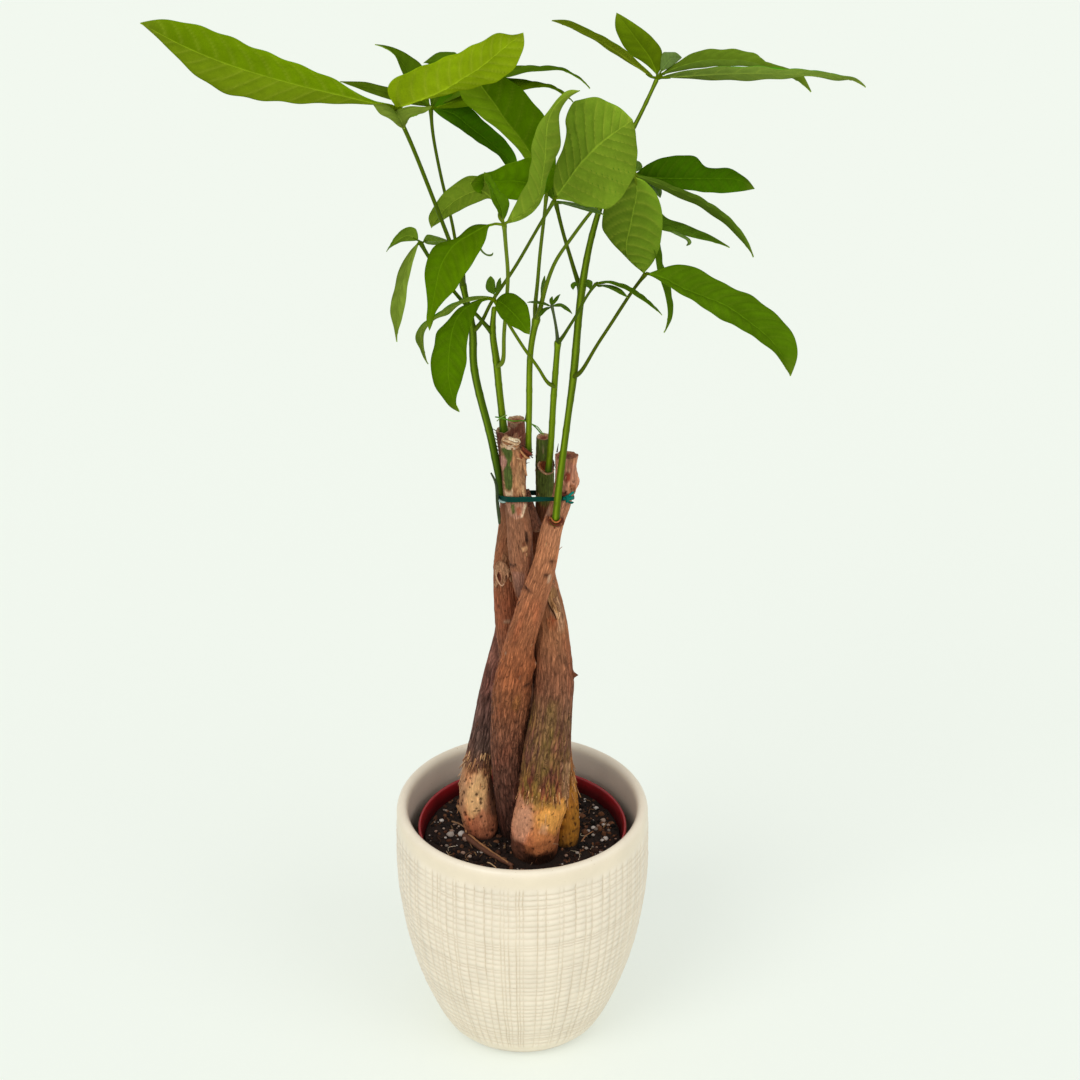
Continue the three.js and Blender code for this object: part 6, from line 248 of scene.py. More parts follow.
     [(15.4,-5,470),(14.7,-5,469.9),(14,-5.2,470),(13.4,-5.5,470),(12.8,-5.9,470),(12.2,-6.4,470),(11.6,-6.9,469.9),(11,-7.5,469.8),(10.4,-8.2,469.6),(10,-8.9,469.4),(9.8,-9.8,469.2),(9.5,-10.7,469),(9.3,-11.6,468.8),(9.2,-12.7,468.6),(9.1,-14,468.4)],
     [(15.9,-5,469.4),(15.4,-6.3,469.7),(14.9,-7.4,469.9),(14.4,-8.3,470),(13.9,-9.2,470.1),(13.4,-10.1,470.1),(13,-10.8,470),(12.5,-11.5,469.8),(12.1,-12.1,469.6),(11.7,-12.6,469.4),(11.3,-13.1,469.2),(10.8,-13.5,469),(10.3,-13.8,468.9),(9.7,-14,468.7),(9.1,-14,468.4)]),
    'l3': ('stalk_l', 'up',
     [(16.1,-4,470.7),(16.1,-3.7,470.9),(16,-3.4,471.2),(16,-3.1,471.4),(16,-2.9,471.6),(15.9,-2.6,471.9),(15.9,-2.3,472.1),(16,-2,472.3),(16,-1.7,472.6),(16.1,-1.4,472.8),(16.2,-1.1,473),(16.3,-0.9,473.3),(16.4,-0.6,473.5),(16.6,-0.3,473.7),(16.7,0,473.9)],
     [(15.9,-4,470.7),(15.6,-3.7,471),(15.5,-3.4,471.2),(15.3,-3.1,471.5),(15.2,-2.9,471.7),(15.2,-2.6,472),(15.1,-2.3,472.2),(15.2,-2,472.5),(15.2,-1.7,472.7),(15.3,-1.4,472.9),(15.5,-1.1,473.1),(15.8,-0.9,473.3),(16,-0.6,473.5),(16.4,-0.3,473.7),(16.7,0,473.9)],
     [(16.5,-4,470.7),(16.7,-3.7,470.9),(16.9,-3.4,471.1),(17,-3.1,471.3),(17.1,-2.9,471.6),(17.2,-2.6,471.8),(17.2,-2.3,472),(17.2,-2,472.2),(17.2,-1.7,472.5),(17.2,-1.4,472.7),(17.1,-1.1,472.9),(17.1,-0.9,473.2),(17,-0.6,473.4),(16.9,-0.3,473.7),(16.7,0,473.9)]),
    'l4': ('stalk_l', 'up',
     [(16.7,-4,470.7),(17,-3.6,471),(17.2,-3.3,471.4),(17.4,-2.9,471.7),(17.7,-2.6,472),(18,-2.2,472.3),(18.3,-1.9,472.6),(18.5,-1.5,472.9),(18.9,-1.1,473.1),(19.2,-0.8,473.4),(19.5,-0.4,473.7),(19.8,-0.1,473.9),(20.2,0.3,474.2),(20.6,0.6,474.4),(21,1,474.6)],
     [(16.5,-4,470.9),(16.6,-3.3,471.1),(16.8,-2.8,471.5),(16.9,-2.2,471.8),(17.1,-1.7,472.1),(17.3,-1.3,472.3),(17.6,-0.9,472.6),(17.9,-0.5,472.8),(18.2,-0.2,473.1),(18.6,0.1,473.4),(19,0.4,473.6),(19.4,0.6,473.9),(19.9,0.8,474.1),(20.4,1,474.3),(21,1,474.6)],
     [(17.1,-4,470.5),(17.5,-4,470.8),(17.9,-3.8,471.2),(18.3,-3.6,471.5),(18.6,-3.4,471.8),(18.9,-3.1,472.1),(19.2,-2.8,472.3),(19.5,-2.5,472.6),(19.8,-2.1,472.9),(20,-1.7,473.2),(20.2,-1.3,473.5),(20.4,-0.8,473.8),(20.6,-0.2,474.1),(20.8,0.3,474.4),(21,1,474.6)]),
    'l5': ('stalk_l', 'up',
     [(17.1,-5,470.5),(18,-5.5,471.1),(18.8,-6,471.5),(19.7,-6.5,471.9),(20.5,-7,472.2),(21.3,-7.5,472.4),(22.1,-8,472.3),(22.9,-8.5,472.1),(23.7,-9,471.7),(24.4,-9.5,471.4),(25,-10,471.1),(25.7,-10.5,470.8),(26.3,-11,470.3),(26.9,-11.5,469.9),(27.4,-12,469.3)],
     [(17.1,-5,470.9),(18,-4.9,471.4),(18.9,-4.9,471.8),(19.8,-5.1,472.1),(20.6,-5.3,472.3),(21.5,-5.7,472.4),(22.4,-6,472.2),(23.3,-6.5,471.9),(24.1,-7,471.6),(24.8,-7.7,471.3),(25.4,-8.3,471),(26,-9.1,470.7),(26.5,-9.9,470.2),(27,-10.9,469.8),(27.4,-12,469.3)],
     [(17.1,-5,470),(18,-6.1,470.6),(18.8,-7.1,471.1),(19.6,-7.9,471.5),(20.4,-8.7,471.9),(21.1,-9.3,472.2),(21.8,-10,472.1),(22.5,-10.5,471.8),(23.2,-11,471.4),(23.9,-11.3,471.2),(24.6,-11.7,470.9),(25.3,-11.9,470.6),(26,-12.1,470.2),(26.7,-12.1,469.8),(27.4,-12,469.3)]),
    'n2': ('shoot_5', 'up',
     [(30.4,-2.9,481.9),(30,-3.3,482.5),(29.6,-3.8,482.9),(29.2,-4.2,483.3),(28.9,-4.6,483.6),(28.5,-5,483.7),(28.1,-5.5,483.7),(27.8,-5.9,483.5),(27.5,-6.3,483.3),(27.4,-6.8,483.1),(27.4,-7.2,482.9),(27.4,-7.6,482.7),(27.5,-8,482.4),(27.5,-8.5,482.2),(27.7,-8.9,481.9)],
     [(30.4,-2.9,482.4),(29.9,-3,483.1),(29.4,-3.2,483.6),(28.9,-3.5,484),(28.4,-3.8,484.2),(27.9,-4.1,484.2),(27.3,-4.5,484),(26.8,-4.9,483.7),(26.5,-5.3,483.4),(26.4,-5.8,483.2),(26.4,-6.4,482.9),(26.5,-6.9,482.7),(26.8,-7.5,482.4),(27.2,-8.1,482.1),(27.7,-8.9,481.9)],
     [(30.5,-2.9,481.1),(30.2,-3.7,481.6),(29.9,-4.3,481.9),(29.6,-4.9,482.2),(29.4,-5.4,482.5),(29.2,-6,482.7),(29,-6.5,482.8),(28.8,-6.9,482.7),(28.7,-7.3,482.6),(28.5,-7.7,482.5),(28.3,-8,482.4),(28.2,-8.3,482.3),(28,-8.6,482.2),(27.8,-8.8,482.1),(27.7,-8.9,481.9)]),
    'n3': ('shoot_5', 'up',
     [(33.8,-2.9,481.3),(34.2,-3.4,482.5),(34.6,-3.9,483.5),(35,-4.4,484.2),(35.4,-4.9,484.8),(35.9,-5.4,485.2),(36.4,-5.9,485.2),(37,-6.4,485),(37.4,-6.9,484.6),(37.5,-7.4,484.3),(37.5,-7.9,484),(37.4,-8.4,483.6),(37.3,-8.9,483.1),(37,-9.4,482.6),(36.7,-9.9,482.1)],
     [(33.7,-2.9,482.2),(34.1,-3.1,483.4),(34.5,-3.4,484.5),(35,-3.7,485.3),(35.5,-4.1,485.8),(36.1,-4.5,485.9),(37,-4.9,485.7),(37.8,-5.4,485.4),(38.1,-5.9,485.1),(38.1,-6.5,484.8),(38.1,-7.1,484.3),(37.9,-7.7,483.9),(37.7,-8.4,483.3),(37.3,-9.1,482.7),(36.7,-9.9,482.1)],
     [(34,-2.9,480.4),(34.2,-3.7,480.9),(34.5,-4.4,481.4),(34.7,-5.1,481.8),(35,-5.7,482.1),(35.2,-6.3,482.3),(35.5,-6.9,482.4),(35.7,-7.4,482.5),(35.9,-7.9,482.6),(36,-8.3,482.6),(36.2,-8.7,482.6),(36.3,-9.1,482.5),(36.5,-9.4,482.4),(36.6,-9.7,482.3),(36.7,-9.9,482.1)]),
}
# colour of the side each leaflet turns to the front
LEAF_COL = {
    'a1': {'down': '#6a840a'},
    'a2': {'down': '#849c0f'},
    'a3': {'up': '#445e09'},
    'a4': {'up': '#475d0d'},
    'a5': {'up': '#48660e'},
    'a6': {'up': '#71862e'},
    'a7': {'up': '#365d03'},
    'b1': {'down': '#4f6c04'},
    'b2': {'up': '#48660e'},
    'b3': {'up': '#4d6604'},
    'c1': {'down': '#6d8723'},
    'd1': {'down': '#749024'},
    'd2': {'up': '#48660e'},
    'e1': {'down': '#607b1c'},
    'f1': {'up': '#355803'},
    'f2': {'up': '#4d6619'},
    'f3': {'up': '#57771a'},
    'f5': {'up': '#48660e'},
    'f6': {'up': '#48660e'},
    'g1': {'up': '#4c6d08'},
    'g2': {'up': '#48660e'},
    'h1': {'up': '#48660e'},
    'h2': {'up': '#48660e'},
    'i1': {'up': '#4e7003'},
    'i2': {'up': '#517503'},
    'i3': {'down': '#6d8521'},
    'i4': {'up': '#486803'},
    'j1': {'up': '#6c822b'},
    'j2': {'down': '#64801e'},
    'j3': {'down': '#64801e'},
    'k1': {'up': '#446403'},
    'k2': {'up': '#4a6b04'},
    'k3': {'down': '#71882f'},
    'k4': {'up': '#48660e'},
    'k5': {'up': '#48660e'},
    'l1': {'up': '#48660e'},
    'l2': {'up': '#48660e'},
    'l3': {'up': '#48660e'},
    'l4': {'up': '#48660e'},
    'l5': {'up': '#48660e'},
    'm1': {'down': '#708014'},
    'm2': {'up': '#5b7309'},
    'm3': {'up': '#607937'},
    'm4': {'up': '#5a731d'},
    'm5': {'down': '#6e8532'},
    'n1': {'up': '#48660e'},
    'n2': {'up': '#48660e'},
    'n3': {'up': '#48660e'},
    's3b': {'up': '#48660e'},
}
# painted light and shade over each leaflet, as how the colour deepens: along, across, twisted, towards both ends
LEAF_SHADE_LEAN = {
    'a1': (-0.18, -0.31, 0.06, -0.2),
    'a2': (0.15, -0.2, 0.7, -0.2),
    'a6': (-0.32, -0.0, -0.35, -0.35),
    'a7': (0.06, -0.25, -0.45, 0.48),
    'b1': (-0.7, 0.07, 0.7, -0.7),
    'c1': (-0.01, -0.17, -0.45, 0.2),
    'd1': (0.26, -0.02, -0.7, -0.0),
    'e1': (0.18, 0.46, -0.67, 0.28),
    'f1': (0.7, 0.03, 0.2, -0.39),
    'f2': (0.35, -0.35, -0.35, 0.35),
    'g1': (-0.25, -0.11, -0.14, -0.02),
    'i1': (0.32, 0.13, -0.12, -0.25),
    'i2': (0.35, 0.05, 0.35, -0.35),
    'i3': (0.35, -0.02, -0.04, -0.05),
    'i4': (0.45, 0.21, -0.7, -0.1),
    'j1': (-0.07, 0.19, -0.35, -0.16),
    'k1': (0.19, 0.18, 0.05, -0.27),
    'k2': (0.05, 0.14, -0.25, 0.03),
    'm2': (0.35, -0.03, 0.35, 0.28),
    'm4': (0.23, -0.35, -0.15, -0.35),
    'm5': (0.51, -0.23, 0.34, -0.7),
}
STEM_HUE = {
    'shoot_1': '#405703',
    'shoot_2': '#566b04',
    'shoot_3': '#5c7109',
    'shoot_4': '#607708',
    'shoot_5': '#4c6006',
    'stalk_a': '#475b03',
    'stalk_b': '#405203',
    'stalk_d': '#4c5e0a',
    'stalk_g': '#435104',
    'stalk_h': '#405404',
    'stalk_i': '#647719',
    'stalk_j': '#405703',
    'stalk_k': '#566a03',
    'stalk_l': '#4b5733',
    'stalk_n': '#455706',
    'stalk_sl': '#576a15',
    'stalk_sr': '#576a12',
}
# bark colour along each trunk: height mm and gain on red, green, blue
BARK_GAIN = {
    'trunk_1': [(141.0, 1.9, 1.9, 1.9), (163.0, 1.9, 1.9, 1.9), (185.0, 1.9, 1.9, 1.84), (207.0, 1.85, 1.84, 1.64), (229.0, 1.7, 1.7, 1.38), (251.0, 1.52, 1.55, 1.25), (273.0, 1.46, 1.51, 1.29), (295.0, 1.5, 1.57, 1.46), (317.0, 1.59, 1.67, 1.64), (339.0, 1.73, 1.8, 1.76), (361.0, 1.86, 1.88, 1.86), (383.0, 1.9, 1.9, 1.9)],
    'trunk_2': [(185.0, 1.62, 0.8, 0.73), (207.0, 1.81, 1.58, 1.41), (229.0, 1.69, 1.68, 1.53), (251.0, 1.4, 1.46, 1.42), (273.0, 1.49, 1.55, 1.6), (295.0, 1.79, 1.81, 1.83), (317.0, 1.7, 1.71, 1.6), (339.0, 1.36, 1.38, 0.97), (361.0, 1.4, 1.44, 0.96), (383.0, 1.9, 1.9, 1.9)],
    'trunk_3': [(185.0, 1.89, 1.89, 1.69), (295.0, 1.35, 1.34, 1.18), (317.0, 1.18, 1.11, 0.92), (339.0, 1.03, 0.97, 0.77), (361.0, 0.74, 0.74, 0.62), (383.0, 0.55, 0.55, 0.55)],
    'trunk_4': [(273.0, 1.4, 1.87, 1.87), (295.0, 1.21, 1.47, 1.38), (317.0, 1.26, 1.47, 1.31), (339.0, 1.56, 1.74, 1.46), (383.0, 1.88, 1.88, 1.5)],
    'trunk_5': [(185.0, 1.88, 1.88, 1.62), (207.0, 1.9, 1.9, 1.82), (229.0, 1.9, 1.9, 1.89), (251.0, 1.9, 1.9, 1.9), (383.0, 1.9, 1.9, 1.9)],
}

# ------------------------------------------------------------------ helpers
def lin(h):
    """#rrggbb to linear rgb."""
    c = np.array([int(h[i:i + 2], 16) / 255 for i in (1, 3, 5)])
    return np.where(c <= 0.04045, c / 12.92, ((c + 0.055) / 1.055) ** 2.4)


def smooth(a, b, x):
    t = np.clip((np.asarray(x, float) - a) / (b - a), 0, 1)
    return t * t * (3 - 2 * t)


_rng = np.random.default_rng(11)
_perm = np.concatenate([_rng.permutation(256)] * 3)
_g = _rng.normal(size=(256, 3))
_g /= np.linalg.norm(_g, axis=1)[:, None]


def noise(p):
    """Gradient noise, about -0.8 to 0.8."""
    p = np.asarray(p, float)
    i = np.floor(p).astype(int)
    f = p - i
    u = f * f * f * (f * (f * 6 - 15) + 10)
    i &= 255
    out = 0
    for dx in (0, 1):
        wx = u[..., 0] if dx else 1 - u[..., 0]
        for dy in (0, 1):
            wy = u[..., 1] if dy else 1 - u[..., 1]
            for dz in (0, 1):
                wz = u[..., 2] if dz else 1 - u[..., 2]
                h = _perm[_perm[_perm[(i[..., 0] + dx) & 255] + ((i[..., 1] + dy) & 255)] + ((i[..., 2] + dz) & 255)]
                g = _g[h]
                d = f - np.array([dx, dy, dz])
                out = out + wx * wy * wz * (g * d).sum(-1)
    return out


def fbm(p, octaves=4, gain=0.5, lac=2.03):
    p = np.asarray(p, float)
    a, s = 1.0, 0
    for k in range(octaves):
        s = s + a * noise(p + 17.3 * k)
        a *= gain
        p = p * lac
    return s


def spline(rows, n=None, step=None):
    """Natural cubic spline through rows, resampled evenly along its length."""
    P = np.array(rows, float)
    s = np.r_[0, np.cumsum(np.linalg.norm(np.diff(P[:, :3], axis=0), axis=1))]
    if n is None:
        n = max(4, int(round(s[-1] / step)) + 1)
    m = len(P)
    if m < 3:
        t = np.linspace(0, s[-1], n)
        return np.stack([np.interp(t, s, P[:, k]) for k in range(P.shape[1])], -1)
    h = np.diff(s)
    A = np.zeros((m, m)); B = np.zeros((m, P.shape[1]))
    A[0, 0] = A[-1, -1] = 1
    for i in range(1, m - 1):
        A[i, i - 1] = h[i - 1]; A[i, i] = 2 * (h[i - 1] + h[i]); A[i, i + 1] = h[i]
        B[i] = 6 * ((P[i + 1] - P[i]) / h[i] - (P[i] - P[i - 1]) / h[i - 1])
    K = np.linalg.solve(A, B)
    t = np.linspace(0, s[-1], n)
    j = np.clip(np.searchsorted(s, t, side='right') - 1, 0, m - 2)
    a = (s[j + 1] - t) / h[j]; b = 1 - a
    a = a[:, None]; b = b[:, None]; hh = h[j][:, None]
    return a * P[j] + b * P[j + 1] + ((a ** 3 - a) * K[j] + (b ** 3 - b) * K[j + 1]) * hh * hh / 6


def unit(v):
    return v / np.maximum(np.linalg.norm(v, axis=-1, keepdims=True), 1e-9)


def frames(P, front=(0, -1, 0)):
    """Tangent and two side directions that turn as little as possible along P."""
    T = unit(np.gradient(P, axis=0))
    u = np.array(front, float)
    U = []
    for t in T:
        u = u - t * (u @ t)
        u = u / np.linalg.norm(u)
        U.append(u.copy())
    U = np.array(U)
    return T, U, np.cross(T, U)


def make(name, verts, faces, mats, col=None, attrs=None, face_mat=None, smooth_shade=True):
    """A mesh object from arrays: verts in mm, faces a list of equal-length index arrays."""
    me = bpy.data.meshes.new(name)
    verts = np.asarray(verts, float) * MM
    me.vertices.add(len(verts))
    me.vertices.foreach_set("co", verts.astype(np.float32).ravel())
    groups = [np.asarray(f, np.int32) for f in faces if len(f)]
    idx = np.concatenate([g.ravel() for g in groups])
    totals = np.concatenate([np.full(len(g), g.shape[1], np.int32) for g in groups])
    starts = np.r_[0, np.cumsum(totals)[:-1]].astype(np.int32)
    me.loops.add(len(idx))
    me.loops.foreach_set("vertex_index", idx)
    me.polygons.add(len(totals))
    me.polygons.foreach_set("loop_start", starts)
    me.polygons.foreach_set("loop_total", totals)
    if face_mat is not None:
        me.polygons.foreach_set("material_index", np.asarray(face_mat, np.int32))
    me.polygons.foreach_set("use_smooth", np.full(len(totals), smooth_shade))
    me.update(calc_edges=True)
    if col is not None:
        c = np.ones((len(verts), 4), np.float32)
        c[:, :3] = np.clip(col, 0, 1)
        a = me.color_attributes.new("Col", 'FLOAT_COLOR', 'POINT')
        a.data.foreach_set("color", c.ravel())
    for k, v in (attrs or {}).items():
        v = np.asarray(v, np.float32)
        if v.ndim == 1:
            a = me.attributes.new(k, 'FLOAT', 'POINT')
            a.data.foreach_set("value", v)
        else:
            a = me.attributes.new(k, 'FLOAT_VECTOR', 'POINT')
            a.data.foreach_set("vector", v.ravel())
    for m in (mats if isinstance(mats, (list, tuple)) else [mats]):
        me.materials.append(m)
    me.validate()
    ob = bpy.data.objects.new(name, me)
    bpy.context.scene.collection.objects.link(ob)
    return ob


class Soup:
    """Collects several shells into one mesh."""
    def __init__(self):
        self.v, self.f3, self.f4, self.c, self.n = [], [], [], [], 0
        self.extra = {}

    def add(self, verts, quads=None, tris=None, col=None, **extra):
        verts = np.asarray(verts, float).reshape(-1, 3)
        self.v.append(verts)
        if quads is not None and len(quads):
            self.f4.append(np.asarray(quads, np.int64) + self.n)
        if tris is not None and len(tris):
            self.f3.append(np.asarray(tris, np.int64) + self.n)
        c = np.zeros((len(verts), 3)) if col is None else np.broadcast_to(col, (len(verts), 3))
        self.c.append(c)
        for k in set(list(self.extra) + list(extra)):
            if k not in self.extra:
                w = np.shape(extra[k])
                self.extra[k] = [np.zeros((self.n,) + tuple(w[1:]))] if self.n else []
            val = extra.get(k)
            if val is None:
                ref = self.extra[k][0]
                val = np.zeros((len(verts),) + ref.shape[1:])
            self.extra[k].append(np.asarray(val, float))
        self.n += len(verts)

    def obj(self, name, mats, smooth_shade=True):
        faces = []
        if self.f4: faces.append(np.concatenate(self.f4))
        if self.f3: faces.append(np.concatenate(self.f3))
        return make(name, np.concatenate(self.v), faces, mats, np.concatenate(self.c),
                    {k: np.concatenate(v) for k, v in self.extra.items()}, smooth_shade=smooth_shade)


def tube_faces(n, m):
    """Quads of an n-ring tube with m points a ring, facing out for frames()."""
    i, j = np.meshgrid(np.arange(n - 1), np.arange(m), indexing='ij')
    a = i * m + j; b = i * m + (j + 1) % m
    return np.stack([a, b, b + m, a + m], -1).reshape(-1, 4)


def fan(centre, ring, flip=False):
    ring = np.asarray(ring)
    nxt = np.roll(ring, -1)
    f = np.stack([np.full(len(ring), centre), ring, nxt], -1)
    return f[:, ::-1] if flip else f


def tube(P, R, m=12, dent=None, front=(0, -1, 0), caps=True):
    """Swept tube: centre line P, radius R (scalar, per ring, or per ring and angle)."""
    T, U, W = frames(P, front)
    th = np.linspace(0, 2 * np.pi, m, endpoint=False)
    R = np.asarray(R, float)
    if R.ndim == 0: R = np.full(len(P), float(R))
    if R.ndim == 1: R = np.repeat(R[:, None], m, 1)
    if dent is not None: R = R + dent
    V = P[:, None] + R[..., None] * (np.cos(th)[None, :, None] * U[:, None] + np.sin(th)[None, :, None] * W[:, None])
    v = V.reshape(-1, 3)
    q = tube_faces(len(P), m)
    t = np.zeros((0, 3), int)
    if caps:
        n = len(v)
        v = np.vstack([v, P[0] , P[-1]])
        t = np.vstack([fan(n, np.arange(m), True), fan(n + 1, np.arange(m) + (len(P) - 1) * m)])
    return v, q, t


# ------------------------------------------------------------------ materials
def new_mat(name):
    m = bpy.data.materials.new(name)
    m.use_nodes = True
    nt = m.node_tree
    nt.nodes.clear()
    out = nt.nodes.new("ShaderNodeOutputMaterial")
    b = nt.nodes.new("ShaderNodeBsdfPrincipled")
    nt.links.new(b.outputs[0], out.inputs[0])
    return m, nt, b


def node(nt, kind, **kw):
    n = nt.nodes.new(kind)
    for k, v in kw.items():
        if k.startswith("in_"):
            n.inputs[int(k[3:]) if k[3:].isdigit() else k[3:]].default_value = v
        else:
            setattr(n, k, v)
    return n


def tex_noise(nt, vec, scale, detail=3.0, rough=0.55):
    n = node(nt, "ShaderNodeTexNoise")
    n.inputs["Scale"].default_value = scale
    n.inputs["Detail"].default_value = detail
    n.inputs["Roughness"].default_value = rough
    nt.links.new(vec, n.inputs["Vector"])
    return n.outputs["Fac"]


def ramp(nt, fac, stops):
    r = node(nt, "ShaderNodeValToRGB")
    e = r.color_ramp.elements
    while len(e) < len(stops): e.new(0.5)
    for k, (p, c) in enumerate(stops):
        e[k].position = p
        e[k].color = (*c, 1) if len(c) == 3 else c
    nt.links.new(fac, r.inputs[0])
    return r.outputs[0]


def mix(nt, a, b, fac, mode='MIX'):
    m = node(nt, "ShaderNodeMix", data_type='RGBA', blend_type=mode)
    for s, v in ((0, fac), (6, a), (7, b)):
        if hasattr(v, "links"): nt.links.new(v, m.inputs[s])
        elif s == 0: m.inputs[0].default_value = v
        else: m.inputs[s].default_value = (*v, 1)
    return m.outputs[2]


def maprange(nt, v, a, b, c, d):
    n = node(nt, "ShaderNodeMapRange")
    nt.links.new(v, n.inputs[0])
    for i, x in zip((1, 2, 3, 4), (a, b, c, d)): n.inputs[i].default_value = x
    return n.outputs[0]


def bump(nt, bsdf, height, strength, dist, chain=None):
    n = node(nt, "ShaderNodeBump")
    n.inputs["Strength"].default_value = strength
    n.inputs["Distance"].default_value = dist
    nt.links.new(height, n.inputs["Height"])
    if chain is not None: nt.links.new(chain, n.inputs["Normal"])
    nt.links.new(n.outputs[0], bsdf.inputs["Normal"])
    return n.outputs[0]


def obj_coords(nt):
    return node(nt, "ShaderNodeTexCoord").outputs["Object"]


def attr(nt, name, out="Color"):
    return node(nt, "ShaderNodeAttribute", attribute_name=name).outputs[out]


def grey(x):
    return (x, x, x)


def mat_col(name, rough, var=(0.85, 1.12), scale=300.0, bump_scale=900.0, bump_s=0.2, bump_d=0.0004,
            spec=0.5, vec_attr=None, rough_var=0.06, coat=0.0):
    """Painted colour attribute, broken up by fine noise."""
    m, nt, b = new_mat(name)
    vec = attr(nt, vec_attr, "Vector") if vec_attr else obj_coords(nt)
    c = attr(nt, "Col")
    n = tex_noise(nt, vec, scale, 4)
    v = maprange(nt, n, 0.3, 0.7, *var)
    cmb = node(nt, "ShaderNodeCombineXYZ")
    for i in range(3): nt.links.new(v, cmb.inputs[i])
    nt.links.new(mix(nt, c, cmb.outputs[0], 1.0, 'MULTIPLY'), b.inputs["Base Color"])
    nt.links.new(maprange(nt, n, 0.3, 0.7, rough + rough_var, rough - rough_var), b.inputs["Roughness"])
    b.inputs["Specular IOR Level"].default_value = spec
    if coat:
        b.inputs["Coat Weight"].default_value = coat
        b.inputs["Coat Roughness"].default_value = 0.2
    if bump_s:
        bump(nt, b, tex_noise(nt, vec, bump_scale, 3), bump_s, bump_d)
    return m


# ------------------------------------------------------------------ cover pot
OUTER = [(0, 0), (30, 0), (37, 0), (39.5, 0.5), (42.0, 2.0), (46.4, 6.4), (51.9, 17.5), (58.3, 33.6), (63.4, 49.7),
         (67.3, 65.7), (69.9, 81.8), (72.0, 97.8), (72.7, 113.9), (72.5, 129.9), (72.3, 143.5), (72.1, 146),
         (71.1, 148.8), (69, 150)]


def outer_radius(z):
    p = [q for q in OUTER if q[0] > 38]
    return np.interp(z, [q[1] for q in p], [q[0] for q in p])


def smooth_profile(z):
    """Outer radius with the facets between the measured stations eased out."""
    z = np.asarray(z, float)
    r = 0
    for d, w in ((-6, .15), (-3, .2), (0, .3), (3, .2), (6, .15)):
        r = r + w * outer_radius(np.clip(z + d, 3, 143))
    return np.where(z > 10, r, outer_radius(z))


